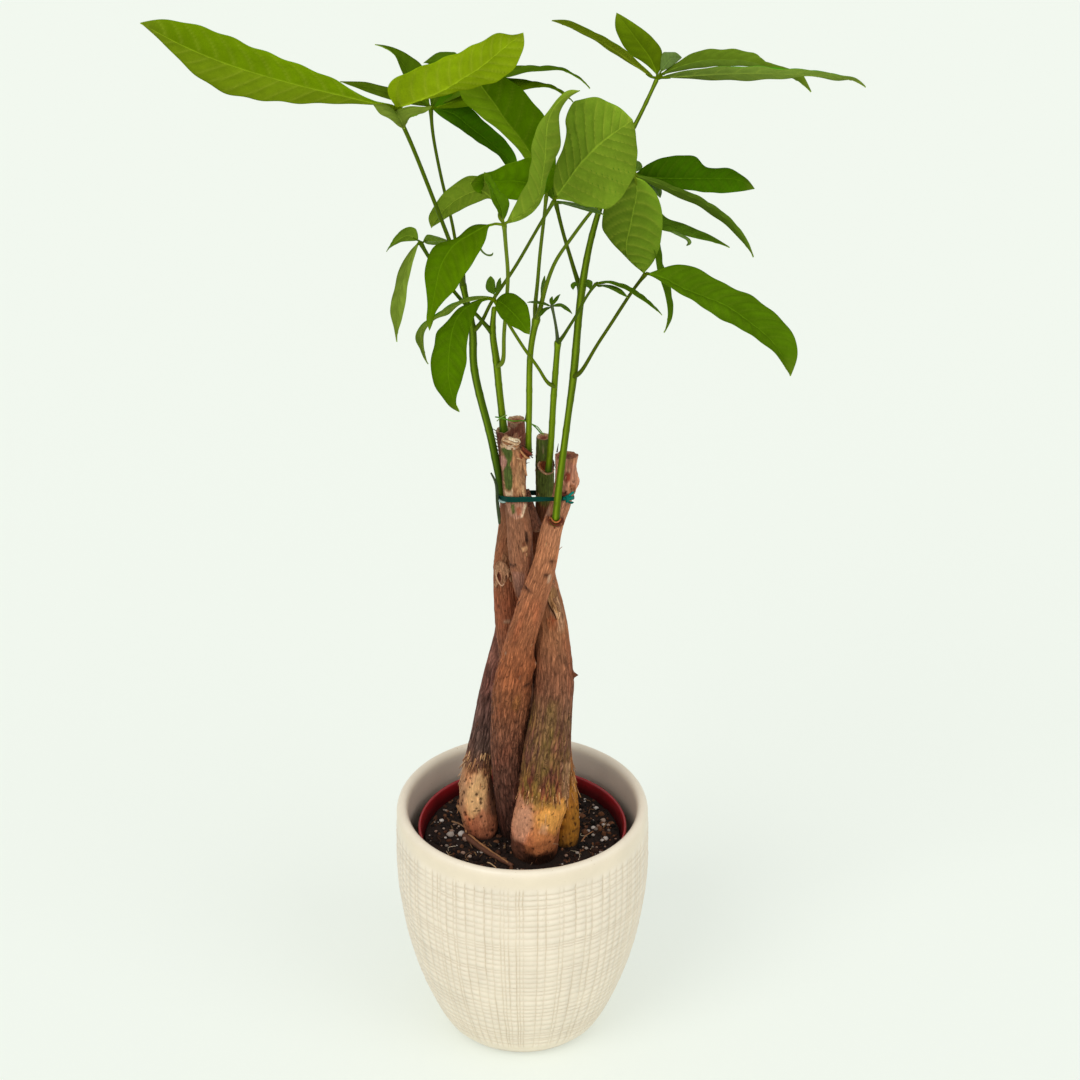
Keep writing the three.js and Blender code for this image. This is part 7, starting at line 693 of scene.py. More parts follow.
def cover_pot():
    rg = np.random.default_rng(5)
    z0, z1 = 9.0, 138.6
    # weft lines: uneven heights; some come in close pairs
    zs, z = [], z0
    while z < z1 - 1.2:
        zs.append(z)
        z += rg.uniform(3.1, 4.9) if rg.random() > 0.16 else rg.uniform(1.5, 2.1)
    zs = np.array(zs)
    circ = 2 * np.pi * 72
    ts, t = [], 0.0
    while t < circ - 2.0:
        ts.append(t)
        t += rg.uniform(3.6, 8.2) if rg.random() > 0.24 else rg.uniform(1.8, 2.6)
    ts = np.array(ts) / circ * 2 * np.pi
    # every groove gets a centre and two shoulders, every cell one crown
    rows, row_g = [], []
    for k, zc in enumerate(zs):
        nxt = zs[k + 1] if k + 1 < len(zs) else z1
        w = min(0.55, (nxt - zc) * 0.3)
        rows += [zc, zc + w, (zc + nxt) / 2, nxt - w]
        row_g += [1, -0.55, -1, -0.75]
    cols, col_g = [], []
    tn = np.r_[ts, ts[0] + 2 * np.pi]
    for k, tc in enumerate(ts):
        gap = tn[k + 1] - tc
        w = min(0.55 / 72, gap * 0.3)
        cols += [tc, tc + w, tc + gap / 2, tc + gap - w]
        col_g += [1, -0.75, -1, -0.55]
    rows, row_g, cols, col_g = map(np.array, (rows, row_g, cols, col_g))
    pre_z = np.array([0, 0.5, 2.0, 4.0, 6.0, 7.4])
    post_z = np.array([139.6, 141.5, 143.5, 145.2])
    Z = np.r_[pre_z, rows, post_z]
    G = np.r_[np.zeros(6), row_g, np.zeros(4)]
    nr, nc = len(Z), len(cols)
    TH = np.broadcast_to(cols, (nr, nc)).copy()
    ZZ = np.broadcast_to(Z[:, None], (nr, nc)).copy()
    q = np.stack([np.cos(TH) * 3.1, np.sin(TH) * 3.1, ZZ * 0.035], -1)
    inside = smooth(z0 - 2, z0 + 3, ZZ) * (1 - smooth(z1 - 2, z1 + 0.6, ZZ))
    cell_r = np.repeat(np.arange(len(zs)), 4)
    cell_c = np.repeat(np.arange(len(ts)), 4)
    CR = np.r_[np.zeros(6, int), cell_r, np.full(4, len(zs) - 1)][:, None] * np.ones((1, nc), int)
    CC = cell_c[None] * np.ones((nr, 1), int)
    # threads wander a little, and each cell sits slightly off its neighbours
    TH = TH + inside * (0.009 * noise(q * 2.3 + 5) + 0.004 * noise(q * 7 + 9))
    band_of = rg.uniform(-1, 1, len(ts))
    step_c = np.convolve(np.r_[band_of, band_of[:2]], [0.3, 0.4, 0.3], 'same')[:len(ts)]
    ZZ = ZZ + inside * (0.75 * noise(np.stack([np.cos(TH) * 4, np.sin(TH) * 4, ZZ * 0.06], -1)) + 1.0 * step_c[CC])
    R = smooth_profile(ZZ)
    R[0] = 37; R[1] = 39.5; R[2] = 42.0
    qa = np.stack([np.cos(TH) * 72 * 0.05, np.sin(TH) * 72 * 0.05, ZZ * 0.11], -1)
    qb = np.stack([np.cos(TH) * 72 * 0.16, np.sin(TH) * 72 * 0.16, ZZ * 0.035], -1)
    hz = np.clip(0.85 + 0.75 * noise(qa + 3), 0.30, 1.3)      # strength along a weft line
    vt = np.clip(0.80 + 1.05 * noise(qb + 40), 0.10, 1.5)     # strength along a warp line
    cellv = rg.uniform(-1, 1, (len(zs), len(ts)))
    gh = np.maximum(G[:, None], 0) * hz
    gvv = np.maximum(col_g[None], 0) * vt
    g = np.maximum(gh * 0.34, gvv * 0.40)
    # weight of the painted shade in the grooves
    groove_shade_w = np.maximum(gh * 0.20, gvv * 0.38)
    pil = np.clip(-G[:, None], 0, 1) * np.clip(-col_g[None], 0, 1)
    crown = pil * (0.30 + 0.12 * cellv[CR, CC])
    lipz = np.maximum(-G[:, None], 0) * ((np.arange(nr)[:, None] - 6) % 4 == 3) * 0.10
    D = inside * (-g + crown + lipz) + inside * 0.07 * noise(np.stack([np.cos(TH) * 40, np.sin(TH) * 40, ZZ * 0.6], -1))
    R2 = R + D
    V = np.stack([R2 * np.cos(TH), R2 * np.sin(TH), ZZ], -1)
    # rim and inside: plain rings
    rim = [(72.1, 146.4), (71.7, 147.8), (71.0, 148.9), (70.0, 149.7), (69.0, 150.0), (67.9, 149.7), (66.9, 148.8),
           (66.1, 147.4), (65.7, 145.8), (65.6, 143.0)]
    for zz in (138, 130, 120, 105, 90, 75, 60, 45, 30, 17):
        rim.append((float(outer_radius(zz)) - 6.75, zz))
    rim += [(42.5, 12.0), (39.0, 10.2), (20, 10.0)]
    th = cols
    RIM = np.array([[(r * np.cos(t), r * np.sin(t), z) for t in th] for r, z in rim])
    jit = 0.10 * noise(np.stack([RIM[..., 0] * .08, RIM[..., 1] * .08, RIM[..., 2] * .08], -1))
    RIM[:, :, 2] += jit * (RIM[:, :, 2] > 20) * (RIM[:, :, 2] < 149.8)
    ALL = np.concatenate([V, RIM])
    n = len(ALL)
    verts = ALL.reshape(-1, 3)
    i, j = np.meshgrid(np.arange(n - 1), np.arange(nc), indexing='ij')
    a = i * nc + j; b = i * nc + (j + 1) % nc
    quads = np.stack([a, b, b + nc, a + nc], -1).reshape(-1, 4)
    base = len(verts)
    verts = np.vstack([verts, [0, 0, 0], [0, 0, 10]])
    tris = np.vstack([fan(base, np.arange(nc), True), fan(base + 1, np.arange(nc) + (n - 1) * nc)])
    # colour: cream glaze, with painted shade making the grooves darker and browner and a painted highlight lifting the
    # cell crowns a little, plain warm grey band and lip
    zz = verts[:, 2]
    rr = np.hypot(verts[:, 0], verts[:, 1])
    cream, groove_shade_col, band, inner, foot = lin('#ebdec8'), lin('#bf9f68'), lin('#e8dac0'), lin('#e9ddca'), lin('#a68f6a')
    relief_shade_and_highlight = np.zeros(len(verts))
    relief_shade_and_highlight[:nr * nc] = np.clip((inside * (groove_shade_w - 0.3 * crown)).ravel() / 0.45, -0.4, 1)
    c = cream * np.ones((len(verts), 1))
    tone = 0.5 + 0.5 * noise(verts * 0.05 + 3)
    c = c * (0.94 + 0.09 * tone)[:, None]
    # painted shade in the grooves, painted highlight on the cell crowns
    c = c + (groove_shade_col - c) * (relief_shade_and_highlight * 0.30)[:, None]
    c = c + (band - c) * (smooth(138.5, 140.5, zz) * 0.75)[:, None]
    # sheer inner wall, painted darker lower down as painted shade inside the pot
    isin = (rr < 66.5) & (zz > 9) & (zz < 146.5) & (np.arange(len(verts)) >= nr * nc)
    c[isin] = inner
    c[isin] *= (0.55 + 0.45 * smooth(112, 140, zz[isin]))[:, None]
    # painted highlight along the top of the lip
    lip_highlight = np.clip(1 - np.abs(zz - 149) / 2.2, 0, 1) * (rr < 72)
    c = c + (lin('#efe6d2') - c) * (lip_highlight * 0.55)[:, None]
    # painted shade: darker and browner at the bottom where the pot curves under
    f = 1 - smooth(0.3, 5.5, zz)
    c = c + (foot - c) * (f * 0.5)[:, None]
    ob = make("cover_pot_glazed", verts, [quads, tris], mat_glaze(), c)
    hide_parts("cover_pot"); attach(ob, "root")
    return ob


def mat_glaze():
    m, nt, b = new_mat("glazed_linen_ceramic")
    vec = obj_coords(nt)
    c = attr(nt, "Col")
    n = tex_noise(nt, vec, 55, 5, 0.6)
    speck = tex_noise(nt, vec, 900, 2, 0.5)
    v = maprange(nt, n, 0.3, 0.7, 0.95, 1.03)
    cmb = node(nt, "ShaderNodeCombineXYZ")
    for i in range(3): nt.links.new(v, cmb.inputs[i])
    c1 = mix(nt, c, cmb.outputs[0], 1.0, 'MULTIPLY')
    sp = ramp(nt, speck, [(0.0, grey(0)), (0.70, grey(0)), (0.78, grey(1)), (1, grey(1))])
    c2 = mix(nt, c1, tuple(lin('#a98f63')), sp)
    c3 = mix(nt, c1, c2, 0.5)
    nt.links.new(c3, b.inputs["Base Color"])
    nt.links.new(maprange(nt, n, 0.3, 0.7, 0.36, 0.46), b.inputs["Roughness"])
    b.inputs["Coat Weight"].default_value = 0.25
    b.inputs["Coat Roughness"].default_value = 0.25
    bump(nt, b, tex_noise(nt, vec, 420, 4, 0.6), 0.12, 0.0006)
    return m


# ------------------------------------------------------------------ nursery pot
def nursery_pot():
    prof = [(0, 10.4), (36.5, 10.4), (38.0, 10.9), (38.5, 12.0), (44, 44), (50, 80), (57.6, 127.0), (58.2, 129.3),
            (59.6, 129.5), (60.1, 130.1), (60.2, 131.0), (60.2, 133.4), (59.9, 134.2), (59.4, 134.5), (58.9, 134.2),
            (58.5, 133.2), (57.4, 128.0), (56.6, 124), (50, 86), (43, 44), (37.2, 12.2), (0, 12.0)]
    nc = 128
    th = np.linspace(0, 2 * np.pi, nc, endpoint=False)
    rings = [[(r * np.cos(t), r * np.sin(t), z) for t in th] for r, z in prof[1:-1]]
    V = np.array(rings).reshape(-1, 3)
    n = len(prof) - 2
    i, j = np.meshgrid(np.arange(n - 1), np.arange(nc), indexing='ij')
    a = i * nc + j; b = i * nc + (j + 1) % nc
    q = np.stack([a, b, b + nc, a + nc], -1).reshape(-1, 4)
    base = len(V)
    V = np.vstack([V, [0, 0, 10.4], [0, 0, 12.0]])
    t = np.vstack([fan(base, np.arange(nc), True), fan(base + 1, np.arange(nc) + (n - 1) * nc)])
    zz = V[:, 2]
    # painted highlight: the rim brightens towards its top edge
    c = lin('#7d0c14') + (lin('#a3141c') - lin('#7d0c14')) * smooth(131, 134.5, zz)[:, None]
    # painted shade: the inner wall darkens towards the soil
    inside = (np.hypot(V[:, 0], V[:, 1]) < 58.7) * smooth(133.4, 129.6, zz)
    c = c + (lin('#35070b') - c) * (inside * 0.72)[:, None]
    # soil dust on the inner wall
    dust = np.clip(noise(V * 0.12) + 0.1, 0, 1) * (np.hypot(V[:, 0], V[:, 1]) < 58.6)
    c = c + (lin('#2a1209') - c) * (dust * 0.8)[:, None]
    m = mat_col("red_plastic", 0.34, (0.92, 1.06), 60, 700, 0.1, 0.0002, coat=0.15)
    ob = make("nursery_pot_red", V, [q, t], m, c)
    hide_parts("nursery_pot"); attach(ob, "root")


# ------------------------------------------------------------------ soil
def icosphere():
    p = (1 + 5 ** 0.5) / 2
    v = np.array([(-1, p, 0), (1, p, 0), (-1, -p, 0), (1, -p, 0), (0, -1, p), (0, 1, p), (0, -1, -p), (0, 1, -p),
                  (p, 0, -1), (p, 0, 1), (-p, 0, -1), (-p, 0, 1)], float)
    f = [(0, 11, 5), (0, 5, 1), (0, 1, 7), (0, 7, 10), (0, 10, 11), (1, 5, 9), (5, 11, 4), (11, 10, 2), (10, 7, 6),
         (7, 1, 8), (3, 9, 4), (3, 4, 2), (3, 2, 6), (3, 6, 8), (3, 8, 9), (4, 9, 5), (2, 4, 11), (6, 2, 10),
         (8, 6, 7), (9, 8, 1)]
    v = v / np.linalg.norm(v[0])
    out, cache, v = [], {}, [tuple(x) for x in v]

    def mid(a, b):
        k = (min(a, b), max(a, b))
        if k not in cache:
            m = (np.array(v[a]) + np.array(v[b])) / 2
            v.append(tuple(m / np.linalg.norm(m))); cache[k] = len(v) - 1
        return cache[k]
    for a, b, c in f:
        ab, bc, ca = mid(a, b), mid(b, c), mid(c, a)
        out += [(a, ab, ca), (b, bc, ab), (c, ca, bc), (ab, bc, ca)]
    return np.array(v), np.array(out)


ICO_V, ICO_F = icosphere()


def soil_height(x, y):
    r = np.hypot(x, y)
    dome = 126.0 + 2.4 * (1 - (r / 56) ** 2)
    p = np.stack([x, y, 0 * x], -1)
    return dome + 1.5 * noise(p * 0.09 + 2) + 0.9 * noise(p * 0.25 + 7) + 0.45 * noise(p * 0.7 + 1)


def soil():
    rg = np.random.default_rng(21)
    s = Soup()
    nr, nc = 58, 220
    r = np.linspace(0.4, 56.2, nr)
    th = np.linspace(0, 2 * np.pi, nc, endpoint=False)
    R, T = np.meshgrid(r, th, indexing='ij')
    X, Y = R * np.cos(T), R * np.sin(T)
    Z = soil_height(X, Y)
    V = np.stack([X, Y, Z], -1).reshape(-1, 3)
    down = [(56.3, 118), (53.5, 100), (46, 60), (38.2, 14), (36.4, 12.5)]
    W = np.array([[(a * np.cos(t), a * np.sin(t), z) for t in th] for a, z in down]).reshape(-1, 3)
    V = np.vstack([V, W])
    n = nr + len(down)
    i, j = np.meshgrid(np.arange(n - 1), np.arange(nc), indexing='ij')
    a = i * nc + j; b = i * nc + (j + 1) % nc
    q = np.stack([a, a + nc, b + nc, b], -1).reshape(-1, 4)
    base = len(V)
    V = np.vstack([V, [0, 0, float(soil_height(np.zeros(1), np.zeros(1))[0])], [0, 0, 12.5]])
    t = np.vstack([fan(base, np.arange(nc)), fan(base + 1, np.arange(nc) + (n - 1) * nc, True)])
    k = 0.5 + 0.6 * noise(V * 0.5 + 9)
    c = lin('#0c0603') + (lin('#2c1a10') - lin('#0c0603')) * np.clip(k, 0, 1)[:, None]
    s.add(V, q, t, c)
    tr = [(np.array(TRUNKS[k])[1], k) for k in TRUNKS]

    def clear(x, y, pad):
        return all(math.hypot(x - p[0], y - p[1]) > p[3] + pad for p, _ in tr) and math.hypot(x, y) < 55.6 - pad

    browns = [lin(h) for h in ('#140a05', '#2b180e', '#4a2a18', '#0c0603', '#6b452c', '#1c0e08')]
    made = 0
    while made < 1150:
        a, rad = rg.uniform(0, 2 * np.pi), 55 * math.sqrt(rg.random())
        x, y = rad * math.cos(a), rad * math.sin(a)
        size = rg.uniform(0.35, 1.2) if rg.random() > 0.10 else rg.uniform(1.3, 2.3)
        if not clear(x, y, size * 0.6): continue
        z = float(soil_height(np.array([x]), np.array([y]))[0]) + size * rg.uniform(-0.1, 0.35)
        v = ICO_V * (1 + 0.35 * noise(ICO_V * 1.6 + made)[:, None]) * size * rg.uniform(0.6, 1.2, 3)
        s.add(v + [x, y, z], tris=ICO_F, col=browns[made % 6] * rg.uniform(0.7, 1.3))
        made += 1
    # bark chips and fibres of the potting mix
    for k in range(260):
        a, rad = rg.uniform(0, 2 * np.pi), 54 * math.sqrt(rg.random())
        x, y = rad * math.cos(a), rad * math.sin(a)
        if not clear(x, y, 2): continue
        L = rg.uniform(2, 6)
        d = rg.uniform(0, 2 * np.pi)
        p0 = np.array([x, y, 0]) - L / 2 * np.array([math.cos(d), math.sin(d), 0])
        p1 = np.array([x, y, 0]) + L / 2 * np.array([math.cos(d), math.sin(d), 0])
        P = np.linspace(p0, p1, 4)
        if np.hypot(P[:, 0], P[:, 1]).max() > 55: continue
        P[:, 2] = soil_height(P[:, 0], P[:, 1]) + 0.4 + rg.uniform(0, 0.5)
        v, q, t = tube(P, np.array([.2, .35, .3, .15]) * rg.uniform(0.7, 1.6), 5)
        s.add(v, q, t, lin(['#4b3220', '#2b1a10', '#6b4a30', '#8a6a48'][k % 4]) * rg.uniform(.6, 1.1))
    ob = s.obj("potting_mix", mat_col("potting_mix", 0.9, (0.6, 1.35), 900, 1400, 0.6, 0.0008, spec=0.3))
    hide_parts("soil"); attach(ob, "root")
    # perlite
    s = Soup()
    spots = [(-41.5, -1.0, 2.2), (-35.2, -1.5, 2.1), (-32.0, -6.6, 2.2), (-43.5, -12, 1.0), (-30, -24, 1.1), (-26, -38, 1.4), (-12, -47, 1.3),
             (6, -50, 1.1), (24, -44, 1.6), (36, -32, 1.3), (45, -18, 1.2), (48, -4, 1.5), (44, 8, 1.2), (50, 4, .9),
             (47, 14, 1.6), (38, 2, 1.1), (-47, 14, 1.3), (-50, 3, .9), (-42, 22, 1.2)]
    while len(spots) < 230:
        a, rad = rg.uniform(0, 2 * np.pi), 54 * math.sqrt(rg.random())
        spots.append((rad * math.cos(a), rad * math.sin(a), rg.choice([0.35, 0.5, 0.7, 1.0, 1.3], p=[.3, .3, .2, .12, .08])))
    for k, (x, y, r) in enumerate(spots):
        if not clear(x, y, r * 0.7): continue
        z = float(soil_height(np.array([x]), np.array([y]))[0]) + r * 0.35 + 0.25
        v = ICO_V * (1 + 0.35 * noise(ICO_V * 1.5 + k * 3)[:, None]) * r * np.array([1.1, 1.0, 0.75])
        s.add(v + [x, y, z], tris=ICO_F, col=lin(['#b9aca0', '#ded4ca', '#a98672', '#8f8074', '#b59c8a'][k % 5]) * (0.8 if k > 2 else 0.75))
    ob = s.obj("perlite", mat_col("perlite", 0.85, (0.8, 1.1), 1500, 2500, 0.4, 0.0004))
    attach(ob, "root")
    # dry bits lying on the soil
    s = Soup()

    def lie(p, q, r0, r1, colr, lift=0.9, n=14, curve=1.5, seed=0):
        P = np.linspace([*p, 0], [*q, 0], n)
        side = np.array([-(q[1] - p[1]), q[0] - p[0], 0.0]); side /= np.linalg.norm(side)
        P += side * (np.sin(np.linspace(0, np.pi, n)) * curve)[:, None]
        P[:, 2] = soil_height(P[:, 0], P[:, 1])
        P[:, 2] = np.maximum(P[:, 2], P[:, 2].mean()) + lift
        rr = np.linspace(r0, r1, n) * (1 + 0.25 * noise(np.stack([np.arange(n) * .7 + seed, np.zeros(n), np.zeros(n)], -1)))
        v, qd, t = tube(P, rr, 8)
        cc = np.array(colr) * (1 + 0.35 * noise(v * np.array([.25, .25, 1.2]) + seed))[:, None]
        s.add(v, qd, t, cc)
    lie((-33.5, -4.0), (-5.5, -34.5), 1.9, 1.2, lin('#5c3620'), 1.5, 22, -1.5, 1)
    lie((-31.0, -4.5), (-8.0, -33.0), 0.8, 0.5, lin('#9c6c42'), 2.4, 18, -0.5, 2)
    lie((-38, 24), (-31.8, -3.0), 0.9, 1.3, lin('#a8794d'), 3.2, 14, 1.2, 3)
    lie((-41, 10), (-33, 3), 0.5, 0.4, lin('#8e6a49'), 2.0, 9, 1, 4)
    lie((-20, -30), (-14, -38), 0.35, 0.25, lin('#caa57a'), 1.0, 9, 1.4, 5)
    lie((34, -10), (41, 1), 0.5, 0.3, lin('#9a6a45'), 1.4, 9, 1, 6)
    lie((-24, -20), (-12, -25), 0.3, 0.2, lin('#5a3b28'), 1.2, 9, 2, 7)
    for k in range(26):
        a = rg.uniform(0, 2 * np.pi); rad = rg.uniform(18, 46)
        x, y = rad * math.cos(a), rad * math.sin(a) - 6
        d = rg.uniform(0, 2 * np.pi); L = rg.uniform(5, 12)
        x2, y2 = x + L * math.cos(d), y + L * math.sin(d)
        if not (clear(x, y, 1) and clear(x2, y2, 1)): continue
        lie((x, y), (x2, y2), 0.16, 0.10, lin(['#c9b08c', '#7c5a3c', '#e0cfb2'][k % 3]), 0.8, 10, rg.uniform(-3, 3), 10 + k)
    ob = s.obj("dry_bits", mat_col("dry_bits", 0.8, (0.75, 1.2), 700, 1200, 0.4, 0.0004))
    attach(ob, "root")


# ------------------------------------------------------------------ trunks
# marks on the bark: kind, (x, y, z) on the surface in mm, half length along, half width across, strength
MARKS = {
    'trunk_1': [
        ('knob', (28.6, -4.6, 363.2), 3.6, 3.4, 1.7), ('dark', (27.9, -7.4, 365.0), 0.9, 0.8, 0.9),
        ('knob', (24.9, -8.5, 368.3), 3.0, 2.6, 0.7), ('knob', (25.6, -8.6, 359.6), 3.2, 3.0, 1.5),
        ('red', (24.9, -8.5, 368.3), 3.4, 1.6, 1.0), ('red', (22.6, -9.9, 357.6), 2.2, 1.5, 1.0),
        ('dark', (27.6, -6.2, 379.0), 1.4, 1.4, 0.9), ('dark', (26.5, -8.2, 360.5), 1.2, 1.4, 0.9),
        ('red', (26.0, -7.6, 373.5), 5.0, 2.4, 0.5),
        ('collar', (18.9, -13.0, 343.4), 2.6, 4.6, 1.0),
        ('notch', (16.8, -18.2, 321.0), 1.2, 2.4, 1.0), ('notch', (14.0, -20.8, 313.5), 1.5, 2.8, 1.0),
        ('notch', (3.4, -18.6, 304.4), 1.2, 4.8, 1.2), ('pale', (15.3, -20.6, 310.8), 2.2, 1.4, 1.0),
        ('notch', (8.0, -21.0, 309.0), 0.9, 2.6, 0.6),
        ('knob', (8.5, -16.0, 252.0), 3.5, 3.0, 1.1), ('pale', (8.8, -16.4, 253.0), 1.0, 0.9, 0.9),
        ('notch', (4.0, -22.0, 243.5), 1.3, 4.5, 0.9), ('knob', (-4.5, -24.5, 241.0), 7.0, 7.0, 0.5),
        ('ochre', (-3.0, -25.0, 233.0), 6.0, 2.2, 0.5), ('pale', (-9.6, -20.6, 262.0), 0.7, 0.6, 0.9)],
    'trunk_2': [
        ('greenbark', (12.9, 6.2, 372.0), 24.0, 8.0, 1.0), ('greenbark', (12.9, 5.2, 352.0), 10.0, 7.0, 0.9),
        ('pale', (11.9, 5.5, 377.5), 2.6, 0.6, 0.5),
        ('collar', (14.6, 4.8, 366.6), 2.6, 5.4, 1.2),
        ('peel', (18.4, -6.9, 286.0), 11.5, 3.4, 1.1), ('peel', (19.3, -8.0, 279.0), 6.0, 2.6, 1.0),
        ('orange', (16.6, -11.2, 277.6), 3.4, 3.0, 1.0), ('stub', (28.9, -14.0, 244.5), 1.8, 1.6, 3.0),
        ('notch', (20.5, -8.0, 289.5), 1.0, 2.4, 0.6), ('knob', (22.0, -10.0, 270.0), 5, 4, 0.4)],
    'trunk_3': [
        ('knob', (4.4, -8.6, 383.5), 4.2, 4.0, 2.6),
        ('crackle', (0.3, -14.2, 327.8), 4.5, 3.0, 1.0), ('notch', (3.6, -13.6, 331.0), 3.2, 1.0, 0.9),
        ('notch', (-6.6, -9.2, 314.6), 1.3, 4.2, 0.9), ('knob', (-4.5, -11.0, 318.0), 5.0, 4.4, 0.5)],
    'trunk_4': [
        ('bulge', (-10.9, -0.2, 304.0), 8.5, 4.8, 1.3),
        ('pale', (-8.2, -4.5, 273.8), 1.0, 2.2, 0.8), ('notch', (-9.5, 0.2, 312.0), 2.6, 1.0, 0.6),
        ('dark', (-12.4, -1.5, 283.0), 0.9, 0.8, 0.7)],
    'trunk_5': [
        ('pale', (-4.2, 5.8, 392.4), 1.6, 2.0, 0.9), ('notch', (-23.6, 6.0, 214.0), 3.0, 2.6, 0.9),
        ('knob', (-22.6, 5.0, 216.0), 4.0, 3.4, 0.9),
        ('leafpatch', (-23.7, -5.0, 152.0), 15.0, 3.4, 1.0)],
}
# colour down each trunk: (z, colour), top to bottom
TONES = {
    'trunk_1': [(385, '#b9856c'), (362, '#bb8164'), (348, '#a97253'), (325, '#9f6746'), (300, '#955c3e'),
                (270, '#92573a'), (250, '#8a4f33'), (235, '#7c4a31'), (210, '#6e4432'), (180, '#5f3d30'),
                (150, '#50342a'), (113, '#3d2820')],
    'trunk_2': [(390, '#5a4430'), (352, '#6a4430'), (330, '#7c4c34'), (300, '#8d5c40'), (275, '#93603f'),
                (250, '#805038'), (225, '#6d4a38'), (200, '#69493a'), (178, '#6f4b34'), (171, '#a86c3c'),
                (164, '#cf8847'), (150, '#d58a4c'), (135, '#c27c50'), (126, '#a3674a'), (113, '#7a4c38')],
    'trunk_3': [(398, '#9a6850'), (370, '#a66f52'), (350, '#a97359'), (325, '#a06c52'), (300, '#95644c'),
                (270, '#7f5240'), (220, '#70483a'), (185, '#754a32'), (168, '#8e5c30'), (158, '#b57a30'),
                (140, '#b8791f'), (128, '#a8681f'), (113, '#6e4424')],
    'trunk_4': [(398, '#7c4c3a'), (370, '#7e4e3a'), (340, '#80503a'), (310, '#855238'), (285, '#86472e'),
                (255, '#7c452f'), (220, '#6c4232'), (170, '#5e4034'), (113, '#4a3228')],
    'trunk_5': [(398, '#905844'), (360, '#865040'), (300, '#7a4c3a'), (250, '#6c4436'), (215, '#604038'),
                (185, '#54403a'), (174, '#6e4a3a'), (168, '#b3774e'), (155, '#cf9160'), (140, '#c98458'),
                (128, '#a9644a'), (113, '#7a4a38')],
}
BULB = {'trunk_2': 171.0, 'trunk_3': 163.0, 'trunk_5': 171.0}


# patches of peeled or green bark, and a few of painted highlight and painted shadow, outlined in photo pixels: outline,
# colour, strength, relief mm
def band_px(pts):
    return [(480 + x / 10.0, 400 + y / 10.0) for x, y in pts]


PATCHES = {
    'trunk_3': [
        (band_px([(215, 430), (300, 440), (400, 470), (455, 500), (455, 960), (240, 960), (240, 800), (205, 640), (190, 560)]), '#b5835c', 0.8, 0.0),
        (band_px([(318, 470), (380, 500), (440, 600), (452, 760), (455, 965), (325, 965), (330, 860), (318, 700), (328, 620)]), '#b57e56', 0.8, 0.25),
        (band_px([(360, 680), (420, 590), (445, 640), (440, 900), (370, 940), (350, 860)]), '#cf9a6c', 0.6, 0.15),
        (band_px([(225, 432), (300, 452), (328, 520), (318, 600), (298, 645), (318, 700), (326, 780), (322, 880), (300, 908), (258, 890), (242, 800), (236, 700), (262, 640), (248, 560), (215, 500)]), '#55662a', 1.0, -0.35),
        (band_px([(196, 560), (240, 555), (268, 600), (266, 650), (240, 692), (205, 640)]), '#c98f80', 0.95, 0.2),
        (band_px([(205, 440), (240, 450), (246, 475), (215, 480)]), '#e0b48a', 0.9, 0.3),
        (band_px([(248, 890), (270, 915), (300, 925), (325, 880), (330, 960), (262, 960)]), '#e6c49c', 0.95, 0.3),
        (band_px([(420, 480), (460, 500), (525, 555), (520, 590), (470, 575), (400, 590), (385, 540)]), '#8c3f28', 0.95, 0.3),
        (band_px([(350, 870), (372, 880), (360, 935), (342, 925)]), '#9c6844', 0.9, 0.0),
        (band_px([(415, 925), (430, 930), (428, 950), (416, 948)]), '#3a2014', 0.9, -0.2),
        (band_px([(268, 1030), (455, 1030), (440, 1110), (400, 1180), (360, 1195), (300, 1160), (280, 1100)]), '#c08c72', 0.85, 0.15),
        (band_px([(308, 1035), (345, 1045), (352, 1130), (325, 1140), (312, 1090)]), '#5c6a30', 0.95, -0.3),
        (band_px([(440, 1035), (462, 1040), (425, 1170), (408, 1180)]), '#efd2ae', 0.95, 0.3),
        (band_px([(360, 1080), (405, 1060), (410, 1120), (378, 1160)]), '#b86a4a', 0.8, 0.0)],
    'trunk_1': [
        (band_px([(880, 530), (940, 545), (965, 600), (950, 650), (900, 620)]), '#c98a62', 0.7, 0.2),
        (band_px([(865, 690), (905, 690), (900, 720), (870, 715)]), '#d9a67e', 0.8, 0.1),
        (band_px([(860, 740), (905, 735), (900, 800), (862, 810)]), '#a0442c', 0.9, 0.15),
        (band_px([(890, 850), (945, 850), (948, 920), (905, 960), (868, 955)]), '#c08058', 0.8, 0.2),
        (band_px([(845, 905), (868, 910), (865, 945), (848, 940)]), '#4a2214', 0.95, -0.3),
        (band_px([(905, 875), (922, 880), (918, 900), (904, 895)]), '#4a2214', 0.95, -0.3),
        (band_px([(765, 510), (810, 520), (830, 580), (770, 600)]), '#5a3c24', 0.7, 0.0),
        (band_px([(690, 1180), (700, 1240), (760, 1262), (815, 1240), (830, 1180), (812, 1210), (760, 1235), (712, 1215)]), '#7a3a22', 0.95, 0.35),
        (band_px([(640, 1060), (700, 1050), (700, 1160), (650, 1150)]), '#c09a84', 0.5, 0.0)],
    'trunk_2': [
        (band_px([(580, 640), (600, 610), (660, 610), (740, 680), (725, 720), (660, 735), (610, 700)]), '#8a4226', 0.9, -0.2),
        (band_px([(618, 440), (632, 445), (630, 490), (616, 485)]), '#7c8a4a', 0.7, 0.1)],
}


def foot_px(pts):
    return [(400 + x / 3.2143, 640 + y / 3.2143) for x, y in pts]


